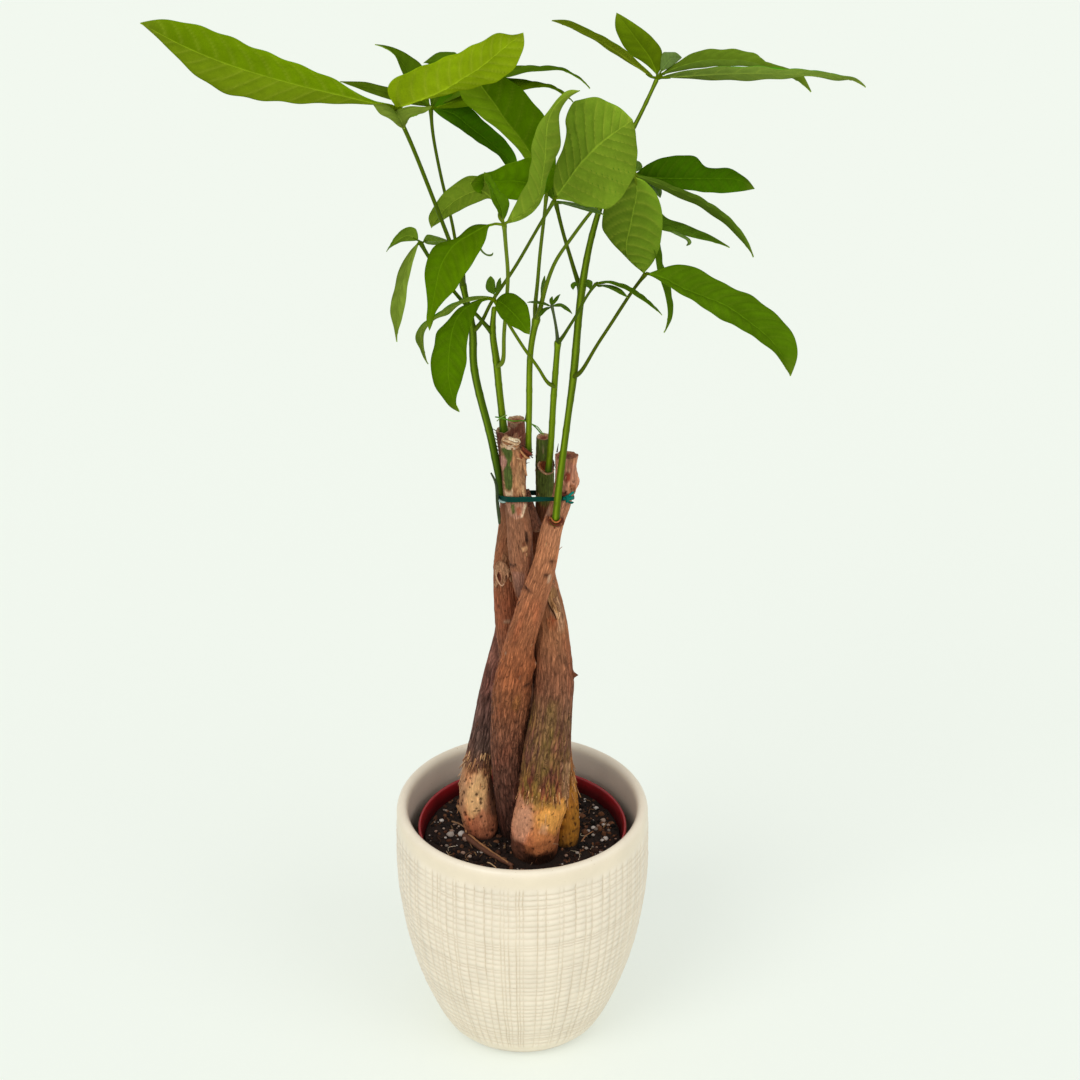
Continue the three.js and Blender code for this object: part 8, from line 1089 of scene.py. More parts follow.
PATCHES['trunk_5'] = [
    (foot_px([(283, 420), (302, 430), (306, 560), (292, 575), (281, 500)]), '#5a3d30', 0.85, 0.2),
    (foot_px([(262, 432), (280, 440), (279, 500), (264, 540), (236, 575), (218, 560), (212, 520), (226, 470)]), '#eebc80', 0.75, 0.2),
    (foot_px([(236, 575), (262, 545), (300, 570), (314, 600), (292, 630), (250, 632), (226, 600)]), '#c87c58', 0.7, 0.0),
    (foot_px([(198, 380), (216, 400), (212, 520), (206, 600), (190, 565), (186, 520)]), '#b98e6c', 0.6, 0.35)]
PATCHES['trunk_2'] += [
    (foot_px([(380, 545), (420, 540), (426, 600), (402, 650), (365, 642), (360, 590)]), '#d89e7c', 0.65, 0.0),
    (foot_px([(425, 600), (470, 612), (505, 635), (494, 676), (440, 692), (405, 682), (402, 650)]), '#d48452', 0.6, 0.0),
    # painted highlight: yellow on the swollen base
    (foot_px([(470, 536), (516, 540), (519, 600), (495, 625), (455, 602), (438, 566)]), '#e8a654', 0.62, 0.0),
    (foot_px([(428, 515), (470, 520), (520, 530), (518, 546), (470, 540), (430, 548)]), '#a8823c', 0.7, 0.3),
    (foot_px([(455, 590), (475, 596), (470, 622), (448, 618)]), '#f0b88c', 0.6, 0.2),
    (foot_px([(350, 655), (390, 665), (402, 700), (380, 735), (350, 722), (345, 675)]), '#6e4634', 0.9, 0.2),
    # painted shadow at the lower right of the swollen base
    (foot_px([(500, 630), (520, 600), (519, 665), (494, 690)]), '#8e5434', 0.8, 0.0),
    (foot_px([(400, 692), (440, 694), (496, 680), (500, 720), (400, 730)]), '#2c190f', 0.9, 0.0),
    (foot_px([(522, 400), (548, 388), (562, 440), (570, 520), (545, 545), (520, 500)]), '#c99a70', 0.6, 0.3),
    (foot_px([(480, 190), (505, 200), (500, 300), (475, 420), (440, 500), (430, 440), (462, 320), (470, 240)]), '#8f7a3a', 0.34, 0.0)]
PATCHES['trunk_4'] = [
    ([(503.1, 554.7), (506.1, 553.4), (507.8, 558.2), (505.4, 563.2), (501.6, 561.6)], '#a2714f', 0.8, 0.25),
    ([(495.5, 563.6), (500.4, 560.6), (504.4, 562.7), (508.4, 566.6), (509.3, 573.4), (507.2, 578.7), (504.4, 584.4),
      (501.9, 586.5), (498.7, 583.2), (496.0, 578.7), (495.2, 571.6)], '#b58462', 0.95, 0.45),
    ([(496.5, 570.7), (499.0, 570.4), (501.3, 575.1), (501.5, 581.3), (499.0, 582.2), (496.9, 577.8)], '#642a18', 0.95, -0.5)]
PATCHES['trunk_2'] += [
    ([(548.8, 591.1), (553.8, 587.2), (557.3, 592.9), (557.0, 598.2), (559.5, 605.3), (560.0, 612.4), (558.8, 619.6),
      (555.6, 618.7), (553.8, 614.2), (550.6, 608.9), (547.6, 602.7), (546.7, 598.2)], '#b38457', 0.95, 0.35),
    ([(553.0, 604.0), (559.2, 606.5), (559.4, 617.8), (556.4, 618.7), (554.0, 612.4)], '#e2b486', 0.9, 0.25),
    ([(549.9, 615.0), (556.4, 617.9), (556.8, 622.2), (552.0, 623.4)], '#a4532e', 0.8, 0.0)]
PATCHES['trunk_3'] += [
    ([(520.9, 540.4), (524.4, 541.3), (525.3, 546.7), (521.8, 546.7)], '#7c4a30', 0.8, 0.2),
    ([(520.5, 547.6), (527.1, 546.3), (527.2, 549.6), (522.1, 551.0)], '#e2aa7a', 0.95, 0.35),
    ([(525.0, 529.7), (527.4, 532.4), (527.8, 543.1), (525.4, 542.2)], '#35190e', 0.9, -0.3),
    ([(509.6, 563.6), (513.0, 565.4), (516.4, 563.2), (516.0, 565.2), (512.8, 567.2), (509.4, 565.8)], '#3c2014', 0.9, -0.3),
    ([(512.0, 571.6), (525.3, 573.3), (523.6, 585.8), (519.1, 598.2), (514.7, 589.3)], '#946a5c', 0.6, 0.0),
    (foot_px([(515, 540), (550, 528), (574, 560), (578, 640), (548, 690), (508, 675), (503, 640), (526, 600)]), '#b98030', 0.6, 0.0)]


def project(p):
    """Photo pixel of points in mm."""
    w = p - CAM
    ca, sa = math.cos(math.radians(60)), math.sin(math.radians(60))
    y = ca * w[..., 1] + sa * w[..., 2]
    zc = sa * w[..., 1] - ca * w[..., 2]
    return 540 + 3823.6 * w[..., 0] / zc, 540 - 3823.6 * y / zc


def inside_by(X, Y, poly):
    """Signed distance in pixels to an outline, positive inside."""
    P = np.array(poly, float)
    Q = np.roll(P, -1, axis=0)
    best = np.full(X.shape, 1e9)
    ins = np.zeros(X.shape, bool)
    for (x0, y0), (x1, y1) in zip(P, Q):
        dx, dy = x1 - x0, y1 - y0
        t = np.clip(((X - x0) * dx + (Y - y0) * dy) / (dx * dx + dy * dy + 1e-9), 0, 1)
        best = np.minimum(best, np.hypot(X - x0 - t * dx, Y - y0 - t * dy))
        c = ((y0 > Y) != (y1 > Y)) & (X < (x1 - x0) * (Y - y0) / (y1 - y0 + 1e-12) + x0)
        ins ^= c
    return np.where(ins, best, -best)


CAM = np.array([10.18412, -1830.02662, 1380.30112])


def ray(px, py, Y):
    """Point in mm on the camera ray through photo pixel (px, py) at depth Y."""
    d = np.array([(px - 540) / 3823.6, -(py - 540) / 3823.6, -1.0])
    ca, sa = math.cos(math.radians(60)), math.sin(math.radians(60))
    w = np.array([d[0], ca * d[1] - sa * d[2], sa * d[1] + ca * d[2]])
    return CAM + w * ((Y - CAM[1]) / w[1])


def hit(px, py, name, lift=0.0):
    """Where the ray through a photo pixel meets a trunk."""
    r = np.array(TRUNKS[name], float)
    for Y in np.arange(-45, 40, 0.25):
        p = ray(px, py, Y)
        c = [np.interp(p[2], r[:, 2], r[:, k]) for k in (0, 1, 3)]
        if math.hypot(p[0] - c[0], p[1] - c[1]) <= c[2] + lift: return p
    return ray(px, py, float(np.interp(p[2], r[:, 2], r[:, 1])))


def strand(s, pts, rad, colr, m=9, n=None, taper=0.5):
    """A thin strip or fibre through points in mm."""
    pts = [(*p, 0) for p in pts]
    n = n or 4 * len(pts)
    P = spline(pts, n=n)[:, :3]
    t = np.linspace(0, 1, n)
    rr = rad * (taper + (1 - taper) * np.sin(np.pi * t) ** 0.5) * (1 + 0.2 * noise(np.stack([t * 5 + rad * 9, 0 * t, 0 * t], -1)))
    v, q, tr = tube(P, rr, m)
    c = lin(colr) * (1 + 0.25 * noise(v * np.array([.8, .8, .4])))[:, None]
    s.add(v, q, tr, c, grain=v * np.array([1, 1, .3]) * MM, age=np.full(len(v), 0.3))


def tone(name, z):
    st = sorted(TONES[name])
    zs = [s[0] for s in st]
    cs = np.array([lin(s[1]) for s in st])
    return np.stack([np.interp(z, zs, cs[:, k]) for k in range(3)], -1)


def trunk(name, seed):
    rows = np.array(TRUNKS[name], float)
    P4 = spline(rows, step=0.25)
    zf = P4[:, 2]
    fine = np.maximum(smooth(335, 345, zf), smooth(190, 178, zf) * smooth(112, 124, zf)) if name != 'trunk_4' else smooth(345, 352, zf) * 0.5
    want = 1.55 - 0.80 * fine
    cum = np.r_[0, np.cumsum(0.25 / want[:-1])]
    P4 = P4[np.unique(np.searchsorted(cum, np.arange(0, cum[-1])).clip(0, len(P4) - 1).tolist() + [len(P4) - 1])]
    P, R0 = P4[:, :3], P4[:, 3]
    L = np.r_[0, np.cumsum(np.linalg.norm(np.diff(P, axis=0), axis=1))]
    m = 100
    th = np.linspace(0, 2 * np.pi, m, endpoint=False)
    T, U, W = frames(P)
    n = len(P)
    dirs = np.cos(th)[None, :, None] * U[:, None] + np.sin(th)[None, :, None] * W[:, None]
    base = P[:, None] + R0[:, None, None] * dirs
    # bark space: round the trunk and along it
    a = th[None] * np.ones((n, 1))
    rr = np.maximum(R0.mean(), 6)
    bx, by, bl = np.cos(a) * rr, np.sin(a) * rr, L[:, None] * np.ones((1, m))
    q = lambda su, sl, o=0: np.stack([bx * su + seed * 7.1 + o, by * su + o, bl * sl + o], -1)
    z = base[..., 2]
    d = 0.05 * R0[:, None] * noise(q(0.09, 0.02)) + 0.03 * R0[:, None] * noise(q(0.2, 0.05, 4))
    right, left, frontal = np.clip(np.sin(a), 0, 1), np.clip(-np.sin(a), 0, 1), np.clip(np.cos(a), 0, 1)
    if name == 'trunk_2':
        d = d - 5.2 * smooth(166, 148, z) * right ** 1.4 - 7.5 * smooth(148, 127, z) * frontal ** 1.2 - 2.0 * smooth(138, 127, z) * left
    if name == 'trunk_3':
        d = d - 4.6 * smooth(385, 391.5, z) * right ** 1.2
    if name == 'trunk_1':
        d = d + 1.1 * smooth(372, 383, z) * right
    if name == 'trunk_5':
        d = d - 2.5 * smooth(140, 127, z) * frontal + 1.2 * smooth(168, 158, z) * smooth(140, 150, z) * left
    streak = fbm(q(0.75, 0.085, 11), 3, 0.6)
    fiss = 1 - np.abs(np.clip(noise(q(0.62, 0.07, 23)) * 2.2, -1, 1))
    fiss = np.clip((fiss - 0.72) / 0.28, 0, 1) ** 1.3
    old = smooth(300, 190, z)                                   # coarser bark lower down
    if name == 'trunk_2': old = np.maximum(old, smooth(262, 225, z))
    if name == 'trunk_3':
        d = d - 2.2 * smooth(196, 176, z) * right + 1.1 * np.exp(-((z - 333) / 12) ** 2) * right
    quiet = 1 - 0.75 * smooth(BULB[name] + 1, BULB[name] - 5, z) if name in BULB else 1.0
    streak = streak * quiet
    d += 0.20 * streak + (-0.22 - 0.42 * old) * fiss * quiet
    flake = smooth(0.12, 0.20, noise(q(0.30, 0.10, 31))) * (0.35 + 0.65 * smooth(-.2, .3, noise(q(.05, .02, 3))))
    d += 0.26 * flake
    pits = smooth(0.46, 0.60, noise(q(0.85, 0.42, 57)))
    d -= 0.25 * pits
    col = tone(name, z)
    rough_c = 1 + 0.34 * streak + 0.16 * noise(q(0.12, 0.03, 71))
    col = col * np.clip(rough_c, 0.45, 1.6)[..., None]
    gr_ = BARK_GAIN.get(name)
    gain = np.stack([np.interp(z, [r[0] for r in gr_], [r[1 + k] for r in gr_]) for k in range(3)], -1) if gr_ else 1.0
    if gr_:
        gain = np.minimum(gain, (1.9 - 0.6 * smooth(335, 355, z))[..., None])
        lum = gain.mean(-1, keepdims=True)
        gain = lum + (gain - lum) * 0.6
        if name in BULB: gain = 1 + (gain - 1) * smooth(BULB[name] - 3, BULB[name] + 6, z)[..., None]
    col = col * gain
    pinkish = smooth(0.0, 0.5, noise(q(0.16, 0.05, 83)))
    col = col + (col * np.array([1.18, 1.02, 0.98]) - col) * pinkish[..., None]
    col = col * (1 - 0.62 * (fiss * (0.45 + 0.55 * old)))[..., None]
    col = col + (col * 1.28 - col) * (flake * 0.5)[..., None]
    col = col + (lin('#2c1811') - col) * (pits * 0.75)[..., None]
    if name == 'trunk_2':
        # yellow-olive inner bark shows in the fissures of the thick lower part
        yl = smooth(0.50, 0.85, 1 - np.abs(noise(q(0.55, 0.075, 91)) * 2.4)) * smooth(168, 176, z) * smooth(240, 215, z)
        yl *= np.clip(0.5 + 1.0 * noise(q(.06, .02, 97)) + 0.6 * smooth(195, 176, z), 0, 1)
        col = col + (lin('#a8873c') - col) * (yl * 0.75)[..., None]
        mossy = smooth(0.1, 0.5, noise(q(.2, .1, 101))) * smooth(172, 178, z) * smooth(212, 190, z)
        col = col + (lin('#7c7431') - col) * (mossy * 0.30)[..., None]
    if name in BULB:
        zb = BULB[name] + 5.0 * noise(q(0.35, 0.0, 7)) + 3.5 * noise(q(1.1, 0.0, 9))
        inb = smooth(1.5, -1.5, z - zb)
        # smoother swollen base under a torn edge of bark
        edge = np.exp(-((z - zb - 1.2) / 2.0) ** 2)
        d = d + 0.75 * edge * (0.6 + 0.8 * noise(q(1.2, 0.2, 13))) - 0.25 * inb
        d = d * (1 - 0.35 * inb)
        swell = {'trunk_2': 1.0, 'trunk_3': 0.35, 'trunk_5': 0.8}[name]
        lump = noise(q(0.20, 0.16, 87)) + 0.5 * noise(q(0.5, 0.4, 88))
        d += 0.9 * lump * inb * swell
        d += swell * 1.1 * smooth(BULB[name], BULB[name] - 14, z) * smooth(120, 134, z) * (0.4 + 0.9 * noise(q(0.10, 0.04, 17)) + 0.3)
        bc = tone(name, np.minimum(z, BULB[name] - 8)) * gain
        bc = bc * np.clip(1 + 0.26 * fbm(q(0.35, 0.20, 19), 3) + 0.25 * lump, 0.5, 1.5)[..., None]
        if name == 'trunk_2':
            # yellow on the right of the base, partly its own colour and partly painted highlight
            yellow_and_highlight = smooth(BULB[name] - 26, BULB[name] - 6, z) * smooth(-0.5, 0.35, np.sin(a))
            bc = bc + (lin('#f0b050') - bc) * (yellow_and_highlight * 0.55)[..., None]
            bc = bc + (lin('#c8907a') - bc) * (smooth(0.0, -0.75, np.sin(a)) * 0.6)[..., None]
        if name == 'trunk_5':
            # cream-yellow on the left of the base, partly its own colour and partly painted highlight
            yellow_and_highlight = smooth(BULB[name] - 34, BULB[name] - 10, z) * smooth(-0.9, -0.2, np.sin(a)) * smooth(0.75, 0.2, np.sin(a))
            bc = bc + (lin('#f2cf96') - bc) * (yellow_and_highlight * 0.65)[..., None]
            bc = bc + (lin('#c47a58') - bc) * (smooth(0.1, 0.8, np.sin(a)) * 0.55)[..., None]
        blush = smooth(-0.1, 0.45, noise(q(0.12, 0.06, 37)))
        bc = bc + (bc * np.array([1.12, 0.82, 0.80]) - bc) * (blush * 0.8)[..., None]
        fib = smooth(0.15, 0.55, noise(q(1.6, 0.10, 29)))
        bc = bc + (lin('#f0c58e') - bc) * (fib * 0.28 * smooth(BULB[name] - 18, BULB[name], z))[..., None]
        dots = smooth(0.36, 0.46, noise(q(0.55, 0.55, 43)))
        rp_ = np.random.default_rng(seed + 400)
        for _ in range(70):
            pz, pa, pr = rp_.uniform(126, BULB[name] - 3), rp_.uniform(-2.4, 2.4), rp_.uniform(0.45, 0.95)
            ii = int(np.argmin(np.abs(P[:, 2] - pz)))
            e_ = np.hypot((L[:, None] - L[ii]) / pr, ((a - pa + np.pi) % (2 * np.pi) - np.pi) * R0[:, None] / (pr * 0.9))
            dots = np.maximum(dots, smooth(1.35, 0.7, e_))
        pores = dots * inb
        d -= 0.3 * dots * inb
        scuff = smooth(0.1, 0.5, noise(q(0.25, 0.22, 47))) * smooth(150, 128, z)
        bc = bc + (lin('#8a5a48') - bc) * (scuff * 0.6)[..., None]
        col = col + (bc - col) * inb[..., None]
        # painted highlight along the torn edge of bark
        lit = edge * smooth(-0.1, 0.4, noise(q(1.3, 0.12, 53)))
        col = col + (lin('#d9a878') - col) * (lit * 0.7)[..., None]
    age = 0.62 + 0.38 * old
    if name in BULB: age = age * (1 - 0.72 * inb)
    # soil stain at the very foot
    st = smooth(136.0, 127.5, z + 5.0 * noise(q(0.2, 0.1, 61)) + 3.0 * noise(q(0.6, 0.3, 63)))
    col = col + (lin('#24140d') - col) * (st * 0.75)[..., None]
    if name == 'trunk_2':
        foot = smooth(139, 133, z + 3.0 * noise(q(0.35, 0.2, 67)) - 9.0 * smooth(0.1, -0.7, np.sin(a)))
        col = col + (lin('#4a2a1c') * (1 + 0.4 * noise(q(0.9, 0.6, 68)))[..., None] - col) * (foot * 0.85)[..., None]
    if name in BULB:
        dirt = smooth(0.12, 0.42, noise(q(0.22, 0.20, 65)) + 0.4 * noise(q(0.7, 0.5, 66))) * smooth(158, 134, z)
        col = col + (lin('#4a2a1a') - col) * (dirt * 0.8)[..., None]

    Vb = base + d[..., None] * dirs
    # marks
    jj = {}
    for kind, c, ha, hw, s in MARKS[name]:
        c = np.array(c, float)
        k = np.argmin(((P - c) ** 2).sum(1))
        v = c - P[k]; v = v - T[k] * (v @ T[k])
        ang = math.atan2(v @ W[k], v @ U[k])
        dl = (L[:, None] - L[k]) * np.ones((1, m))
        du = ((th[None] - ang + np.pi) % (2 * np.pi) - np.pi) * R0[:, None]
        wob = 1 + 0.30 * noise(q(0.45, 0.30, seed + ha)) + 0.18 * noise(q(1.3, 0.9, ha))
        e = np.sqrt((dl / ha) ** 2 + (du / hw) ** 2) / wob
        g = smooth(1.25, 0.75, e)
        soft = np.exp(-e * e)
        ring = np.exp(-((e - 1) / 0.28) ** 2)

        def paint(hexc, w):
            nonlocal col
            target = lin(hexc) * np.clip(1 + 0.25 * streak + 0.12 * noise(q(1.1, .5, 5)), .5, 1.5)[..., None]
            col = col + (target - col) * np.clip(w * s, 0, 1)[..., None]
        if kind == 'knob':
            d = d + soft * 1.5 * s; col = col * (1 + 0.15 * soft * s)[..., None]
        elif kind == 'bulge':
            d = d + soft * 1.6 * s
        elif kind == 'notch':
            d = d - soft * 0.75 * s + ring * 0.4 * s; paint('#3a1d14', soft * 0.85)
        elif kind == 'slit':
            d = d - soft * 1.6 * s + ring * 0.5 * s; paint('#2c150f', soft * 1.1); paint('#cfa27a', ring * 0.6)
        elif kind == 'red': paint('#8e3f2e', g * 0.75)
        elif kind == 'dark': paint('#34190f', g * 0.8); d = d - soft * 0.3
        elif kind == 'pale': paint('#c9a080', g * 0.85); d = d + soft * 0.25
        elif kind == 'cream': paint('#cfa680', g * 0.75)
        elif kind == 'pink': paint('#c08a78', g * 0.8)
        elif kind == 'tan': paint('#b58a5e', g * 0.75); d = d + ring * 0.35
        elif kind == 'ochre': paint('#b07432', g * 0.6)
        elif kind == 'orange': paint('#a8623c', g * 0.7)
        elif kind == 'greenbark': paint('#6f8236', g * 0.92); d = d - 0.25 * g
        elif kind == 'strip': paint('#d49c6c', g * 0.8); d = d + ring * 0.35 - 0.2 * g
        elif kind == 'scarred': paint('#7d3422', g * 0.9); d = d + soft * 0.5
        elif kind == 'crackle':
            paint('#b98560', g * smooth(.0, .35, noise(q(.9, .5, 3)))); d = d + 0.35 * g * noise(q(1.2, .8, 3))
            paint('#5a2e1c', g * smooth(.1, .4, noise(q(1.1, .7, 8))))
        elif kind == 'peel':
            paint('#b98a68', g * 0.85); paint('#8c6448', g * smooth(0, .4, noise(q(.6, .3, 3))) * .8)
            d = d + 0.8 * ring + 0.55 * g * (0.5 + noise(q(.7, .35, 5)))
        elif kind == 'collar':
            d = d + ring * 0.75 - 0.25 * g; paint('#a45a35', g * 0.8); paint('#5c2a18', ring * 0.8)
        elif kind == 'leafpatch':
            paint('#c09068', g * 0.65); d = d + 0.35 * g + 0.3 * ring
        elif kind == 'stub':
            d = d + smooth(1.2, 0.3, e) * s; paint('#8a5236', g * 0.6)
    Vb = base + d[..., None] * dirs
    if name in PATCHES:
        X, Y = project(Vb)
        facing = ((CAM - Vb) * dirs).sum(-1) > 0
        X = X + 0.8 * noise(q(1.3, 0.9, 3)); Y = Y + 0.9 * noise(q(1.3, 0.9, 8))
        for poly, hexc, w_, rel in PATCHES[name]:
            sd = inside_by(X, Y, poly)
            soft_ = 0.6 if poly[0][1] < 640 else 2.6
            g = smooth(-soft_, soft_, sd + (soft_ - 0.6) * 1.3 * noise(q(0.45, 0.3, 12))) * facing
            target = lin(hexc) * np.clip(1 + 0.30 * streak + 0.16 * noise(q(1.4, .6, 5)), .45, 1.6)[..., None]
            col = col + (target - col) * (g * w_)[..., None]
            d = d + rel * g + abs(rel) * 0.8 * np.exp(-(sd / 0.8) ** 2) * facing
    if name in BULB:
        col = col + (lin('#2a140c') - col) * (pores * 0.9)[..., None]
        st2 = smooth(131.0, 127.5, z + 3.0 * noise(q(0.3, 0.2, 69)))
        col = col + (lin('#24140d') - col) * (st2 * 0.8)[..., None]
    Vb = base + d[..., None] * dirs
    # cut top: uneven edge, pale wood, reddish middle
    s = Soup()
    ragged = 0.9 * noise(np.stack([np.cos(th) * 1.7 + seed, np.sin(th) * 1.7, 0 * th], -1)) + 0.5 * noise(np.stack([np.cos(th) * 5 + seed, np.sin(th) * 5, 0 * th], -1))
    amp = {'trunk_1': 1.3, 'trunk_2': 0.35, 'trunk_3': 1.6, 'trunk_4': 1.6, 'trunk_5': 1.1}[name]
    top = Vb[-1] + T[-1] * (ragged * amp)[:, None]
    for k in range(1, 5):
        Vb[-1 - k] += T[-1] * (ragged * amp * (1 - k / 5))[:, None]
    Vb[-1] = top
    cen = P[-1] + T[-1] * 0.1
    rings, rcol = [], []
    for f, h, hx in ((0.93, 0.35, '#c9a07c'), (0.84, 0.05, '#d8b592'), (0.72, -0.45, '#c79a74'), (0.5, -0.6, '#b67a5c'),
                     (0.25, -0.7, '#8e4a38')):
        if name == 'trunk_1': hx = {'#c9a07c': '#a86a50', '#d8b592': '#b47a5c', '#c79a74': '#a4674a', '#b67a5c': '#925840', '#8e4a38': '#7c4030'}[hx]
        rg_ = cen + (top - cen) * f + T[-1] * (h + 0.18 * noise(np.stack([np.cos(th) * 6 * f, np.sin(th) * 6 * f, 0 * th + f * 9], -1)))[:, None]
        rings.append(rg_); rcol.append(lin(hx) * np.ones((m, 1)) * (1 + 0.2 * noise(np.stack([np.cos(th) * 9 * f, np.sin(th) * 9 * f, 0 * th + 3], -1)))[:, None])
    V = np.vstack([Vb.reshape(-1, 3)] + rings)
    C = np.vstack([col.reshape(-1, 3)] + rcol)
    grain = np.vstack([(np.stack([bx, by, bl * 0.21], -1) * MM).reshape(-1, 3)] +
                      [(r - cen) * MM * 0.8 for r in rings])
    N = n + len(rings)
    qd = tube_faces(N, m)
    nv = len(V)
    V = np.vstack([V, cen - T[-1] * 0.6, P[0]])
    C = np.vstack([C, rcol[-1][0], C[0]])
    grain = np.vstack([grain, [0, 0, 0], [0, 0, 0]])
    tr = np.vstack([fan(nv, np.arange(m) + (N - 1) * m), fan(nv + 1, np.arange(m), True)])
    ag = np.r_[age.ravel(), np.full(len(V) - n * m, 0.5)]
    s.add(V, qd, tr, C, grain=grain, age=ag)
    return s, dict(P=P, T=T, U=U, W=W, L=L, R=R0, V=Vb, th=th)


def bark_mat():
    m, nt, b = new_mat("peeling_bark")
    g = attr(nt, "grain", "Vector")
    c = attr(nt, "Col")
    age = attr(nt, "age", "Fac")
    wn = node(nt, "ShaderNodeTexNoise")
    wn.inputs["Scale"].default_value = 330; wn.inputs["Detail"].default_value = 2
    nt.links.new(g, wn.inputs["Vector"])
    ws = node(nt, "ShaderNodeVectorMath", operation='SCALE'); ws.inputs["Scale"].default_value = 0.0022
    nt.links.new(wn.outputs["Color"], ws.inputs[0])
    gw = node(nt, "ShaderNodeVectorMath", operation='ADD')
    nt.links.new(g, gw.inputs[0]); nt.links.new(ws.outputs[0], gw.inputs[1])
    n1 = tex_noise(nt, g, 1500, 4, 0.62)
    n2 = tex_noise(nt, g, 430, 5, 0.65)
    v1 = maprange(nt, n1, 0.3, 0.7, 0.74, 1.26)
    v2 = maprange(nt, n2, 0.3, 0.7, 0.74, 1.24)
    k1 = node(nt, "ShaderNodeCombineXYZ"); k2 = node(nt, "ShaderNodeCombineXYZ")
    for i in range(3):
        nt.links.new(v1, k1.inputs[i]); nt.links.new(v2, k2.inputs[i])
    c1 = mix(nt, c, k1.outputs[0], 1.0, 'MULTIPLY')
    c2 = mix(nt, c1, k2.outputs[0], 1.0, 'MULTIPLY')
    # long fissures between bark plates, and wandering hair cracks
    vo = node(nt, "ShaderNodeTexVoronoi", feature='DISTANCE_TO_EDGE')
    vo.inputs["Scale"].default_value = 560
    vo.inputs["Randomness"].default_value = 1.0
    gl = node(nt, "ShaderNodeVectorMath", operation='MULTIPLY'); gl.inputs[1].default_value = (1.0, 1.0, 0.55)
    nt.links.new(gw.outputs[0], gl.inputs[0]); nt.links.new(gl.outputs[0], vo.inputs["Vector"])
    plate = maprange(nt, vo.outputs["Distance"], 0.0, 0.20, 1.0, 0.0)
    n3 = node(nt, "ShaderNodeTexNoise")
    n3.inputs["Scale"].default_value = 520; n3.inputs["Detail"].default_value = 3; n3.inputs["Distortion"].default_value = 0.9
    nt.links.new(g, n3.inputs["Vector"])
    off = node(nt, "ShaderNodeMath", operation='SUBTRACT', in_1=0.5); nt.links.new(n3.outputs["Fac"], off.inputs[0])
    ab = node(nt, "ShaderNodeMath", operation='ABSOLUTE'); nt.links.new(off.outputs[0], ab.inputs[0])
    hair = maprange(nt, ab.outputs[0], 0.0, 0.034, 1.0, 0.0)
    where = maprange(nt, n2, 0.36, 0.50, 0.25, 1.0)
    pm = node(nt, "ShaderNodeMath", operation='MULTIPLY'); nt.links.new(plate, pm.inputs[0]); nt.links.new(where, pm.inputs[1])
    hm = node(nt, "ShaderNodeMath", operation='MAXIMUM'); nt.links.new(pm.outputs[0], hm.inputs[0]); nt.links.new(hair, hm.inputs[1])
    am = node(nt, "ShaderNodeMath", operation='MULTIPLY'); nt.links.new(hm.outputs[0], am.inputs[0]); nt.links.new(age, am.inputs[1])
    dk = node(nt, "ShaderNodeMath", operation='MULTIPLY', in_1=0.80); nt.links.new(am.outputs[0], dk.inputs[0])
    dk.use_clamp = True
    dark = mix(nt, c2, (0.17, 0.13, 0.11), 1.0, 'MULTIPLY')
    c3 = mix(nt, c2, dark, dk.outputs[0])
    # raised pale fibres, paler partly in their own colour and partly as painted highlight
    pale_fibre_and_highlight = maprange(nt, n1, 0.60, 0.72, 0.0, 0.40)
    pale_fibre_and_highlight_col = mix(nt, c3, (1.75, 1.65, 1.55), 1.0, 'MULTIPLY')
    c4 = mix(nt, c3, pale_fibre_and_highlight_col, pale_fibre_and_highlight)
    nt.links.new(c4, b.inputs["Base Color"])
    nt.links.new(maprange(nt, n1, 0.3, 0.7, 0.85, 0.62), b.inputs["Roughness"])
    b.inputs["Specular IOR Level"].default_value = 0.15
    inv = node(nt, "ShaderNodeMath", operation='SUBTRACT', in_0=1.0); nt.links.new(am.outputs[0], inv.inputs[1])
    ch = bump(nt, b, n1, 0.6, 0.0008)
    ch = bump(nt, b, n2, 0.5, 0.0012, ch)
    bump(nt, b, inv.outputs[0], 0.7, 0.0007, ch)
    return m


def flap(s, base, along, out, length, width, curl, colr, seed=0, thick=0.22):
    """A curled sliver of bark: starts at base, runs along, curls towards out."""
    n, m = 12, 6
    along, out = unit(np.array(along, float)), unit(np.array(out, float))
    side = unit(np.cross(along, out))
    t = np.linspace(0, 1, n)
    C = np.array(base)[None] + along[None] * (t * length * (1 - 0.35 * t * abs(curl)))[:, None] + out[None] * (curl * length * t ** 2 * 0.8)[:, None]
    wv = width * (1 - 0.75 * t ** 1.6) * (1 + 0.25 * noise(np.stack([t * 3 + seed, 0 * t, 0 * t], -1)))
    u = np.linspace(-1, 1, m)
    up = np.array([C[i] + side * wv[i] * x + out * (0.25 * width * (1 - x * x)) for i in range(n) for x in u])
    lo = up - out * thick
    V = np.vstack([up, lo])
    i, j = np.meshgrid(np.arange(n - 1), np.arange(m - 1), indexing='ij')
    a = (i * m + j).ravel()
    q = [np.stack([a, a + 1, a + m + 1, a + m], -1)]
    o = n * m
    q.append(np.stack([a + o, a + m + o, a + m + 1 + o, a + 1 + o], -1))
    for jj in (0, m - 1):
        k = np.arange(n - 1) * m + jj
        e = np.stack([k, k + m, k + m + o, k + o], -1)
        q.append(e if jj == 0 else e[:, ::-1])
    k = np.arange(m - 1)
    q.append(np.stack([k, k + o, k + 1 + o, k + 1], -1))
    k = k + (n - 1) * m
    q.append(np.stack([k, k + 1, k + 1 + o, k + o], -1))
    cc = lin(colr) * (1 + 0.25 * noise(V * np.array([.8, .8, .3]) + seed))[:, None]
    s.add(V, np.vstack(q), None, cc, grain=V * MM, age=np.full(len(V), 0.35))


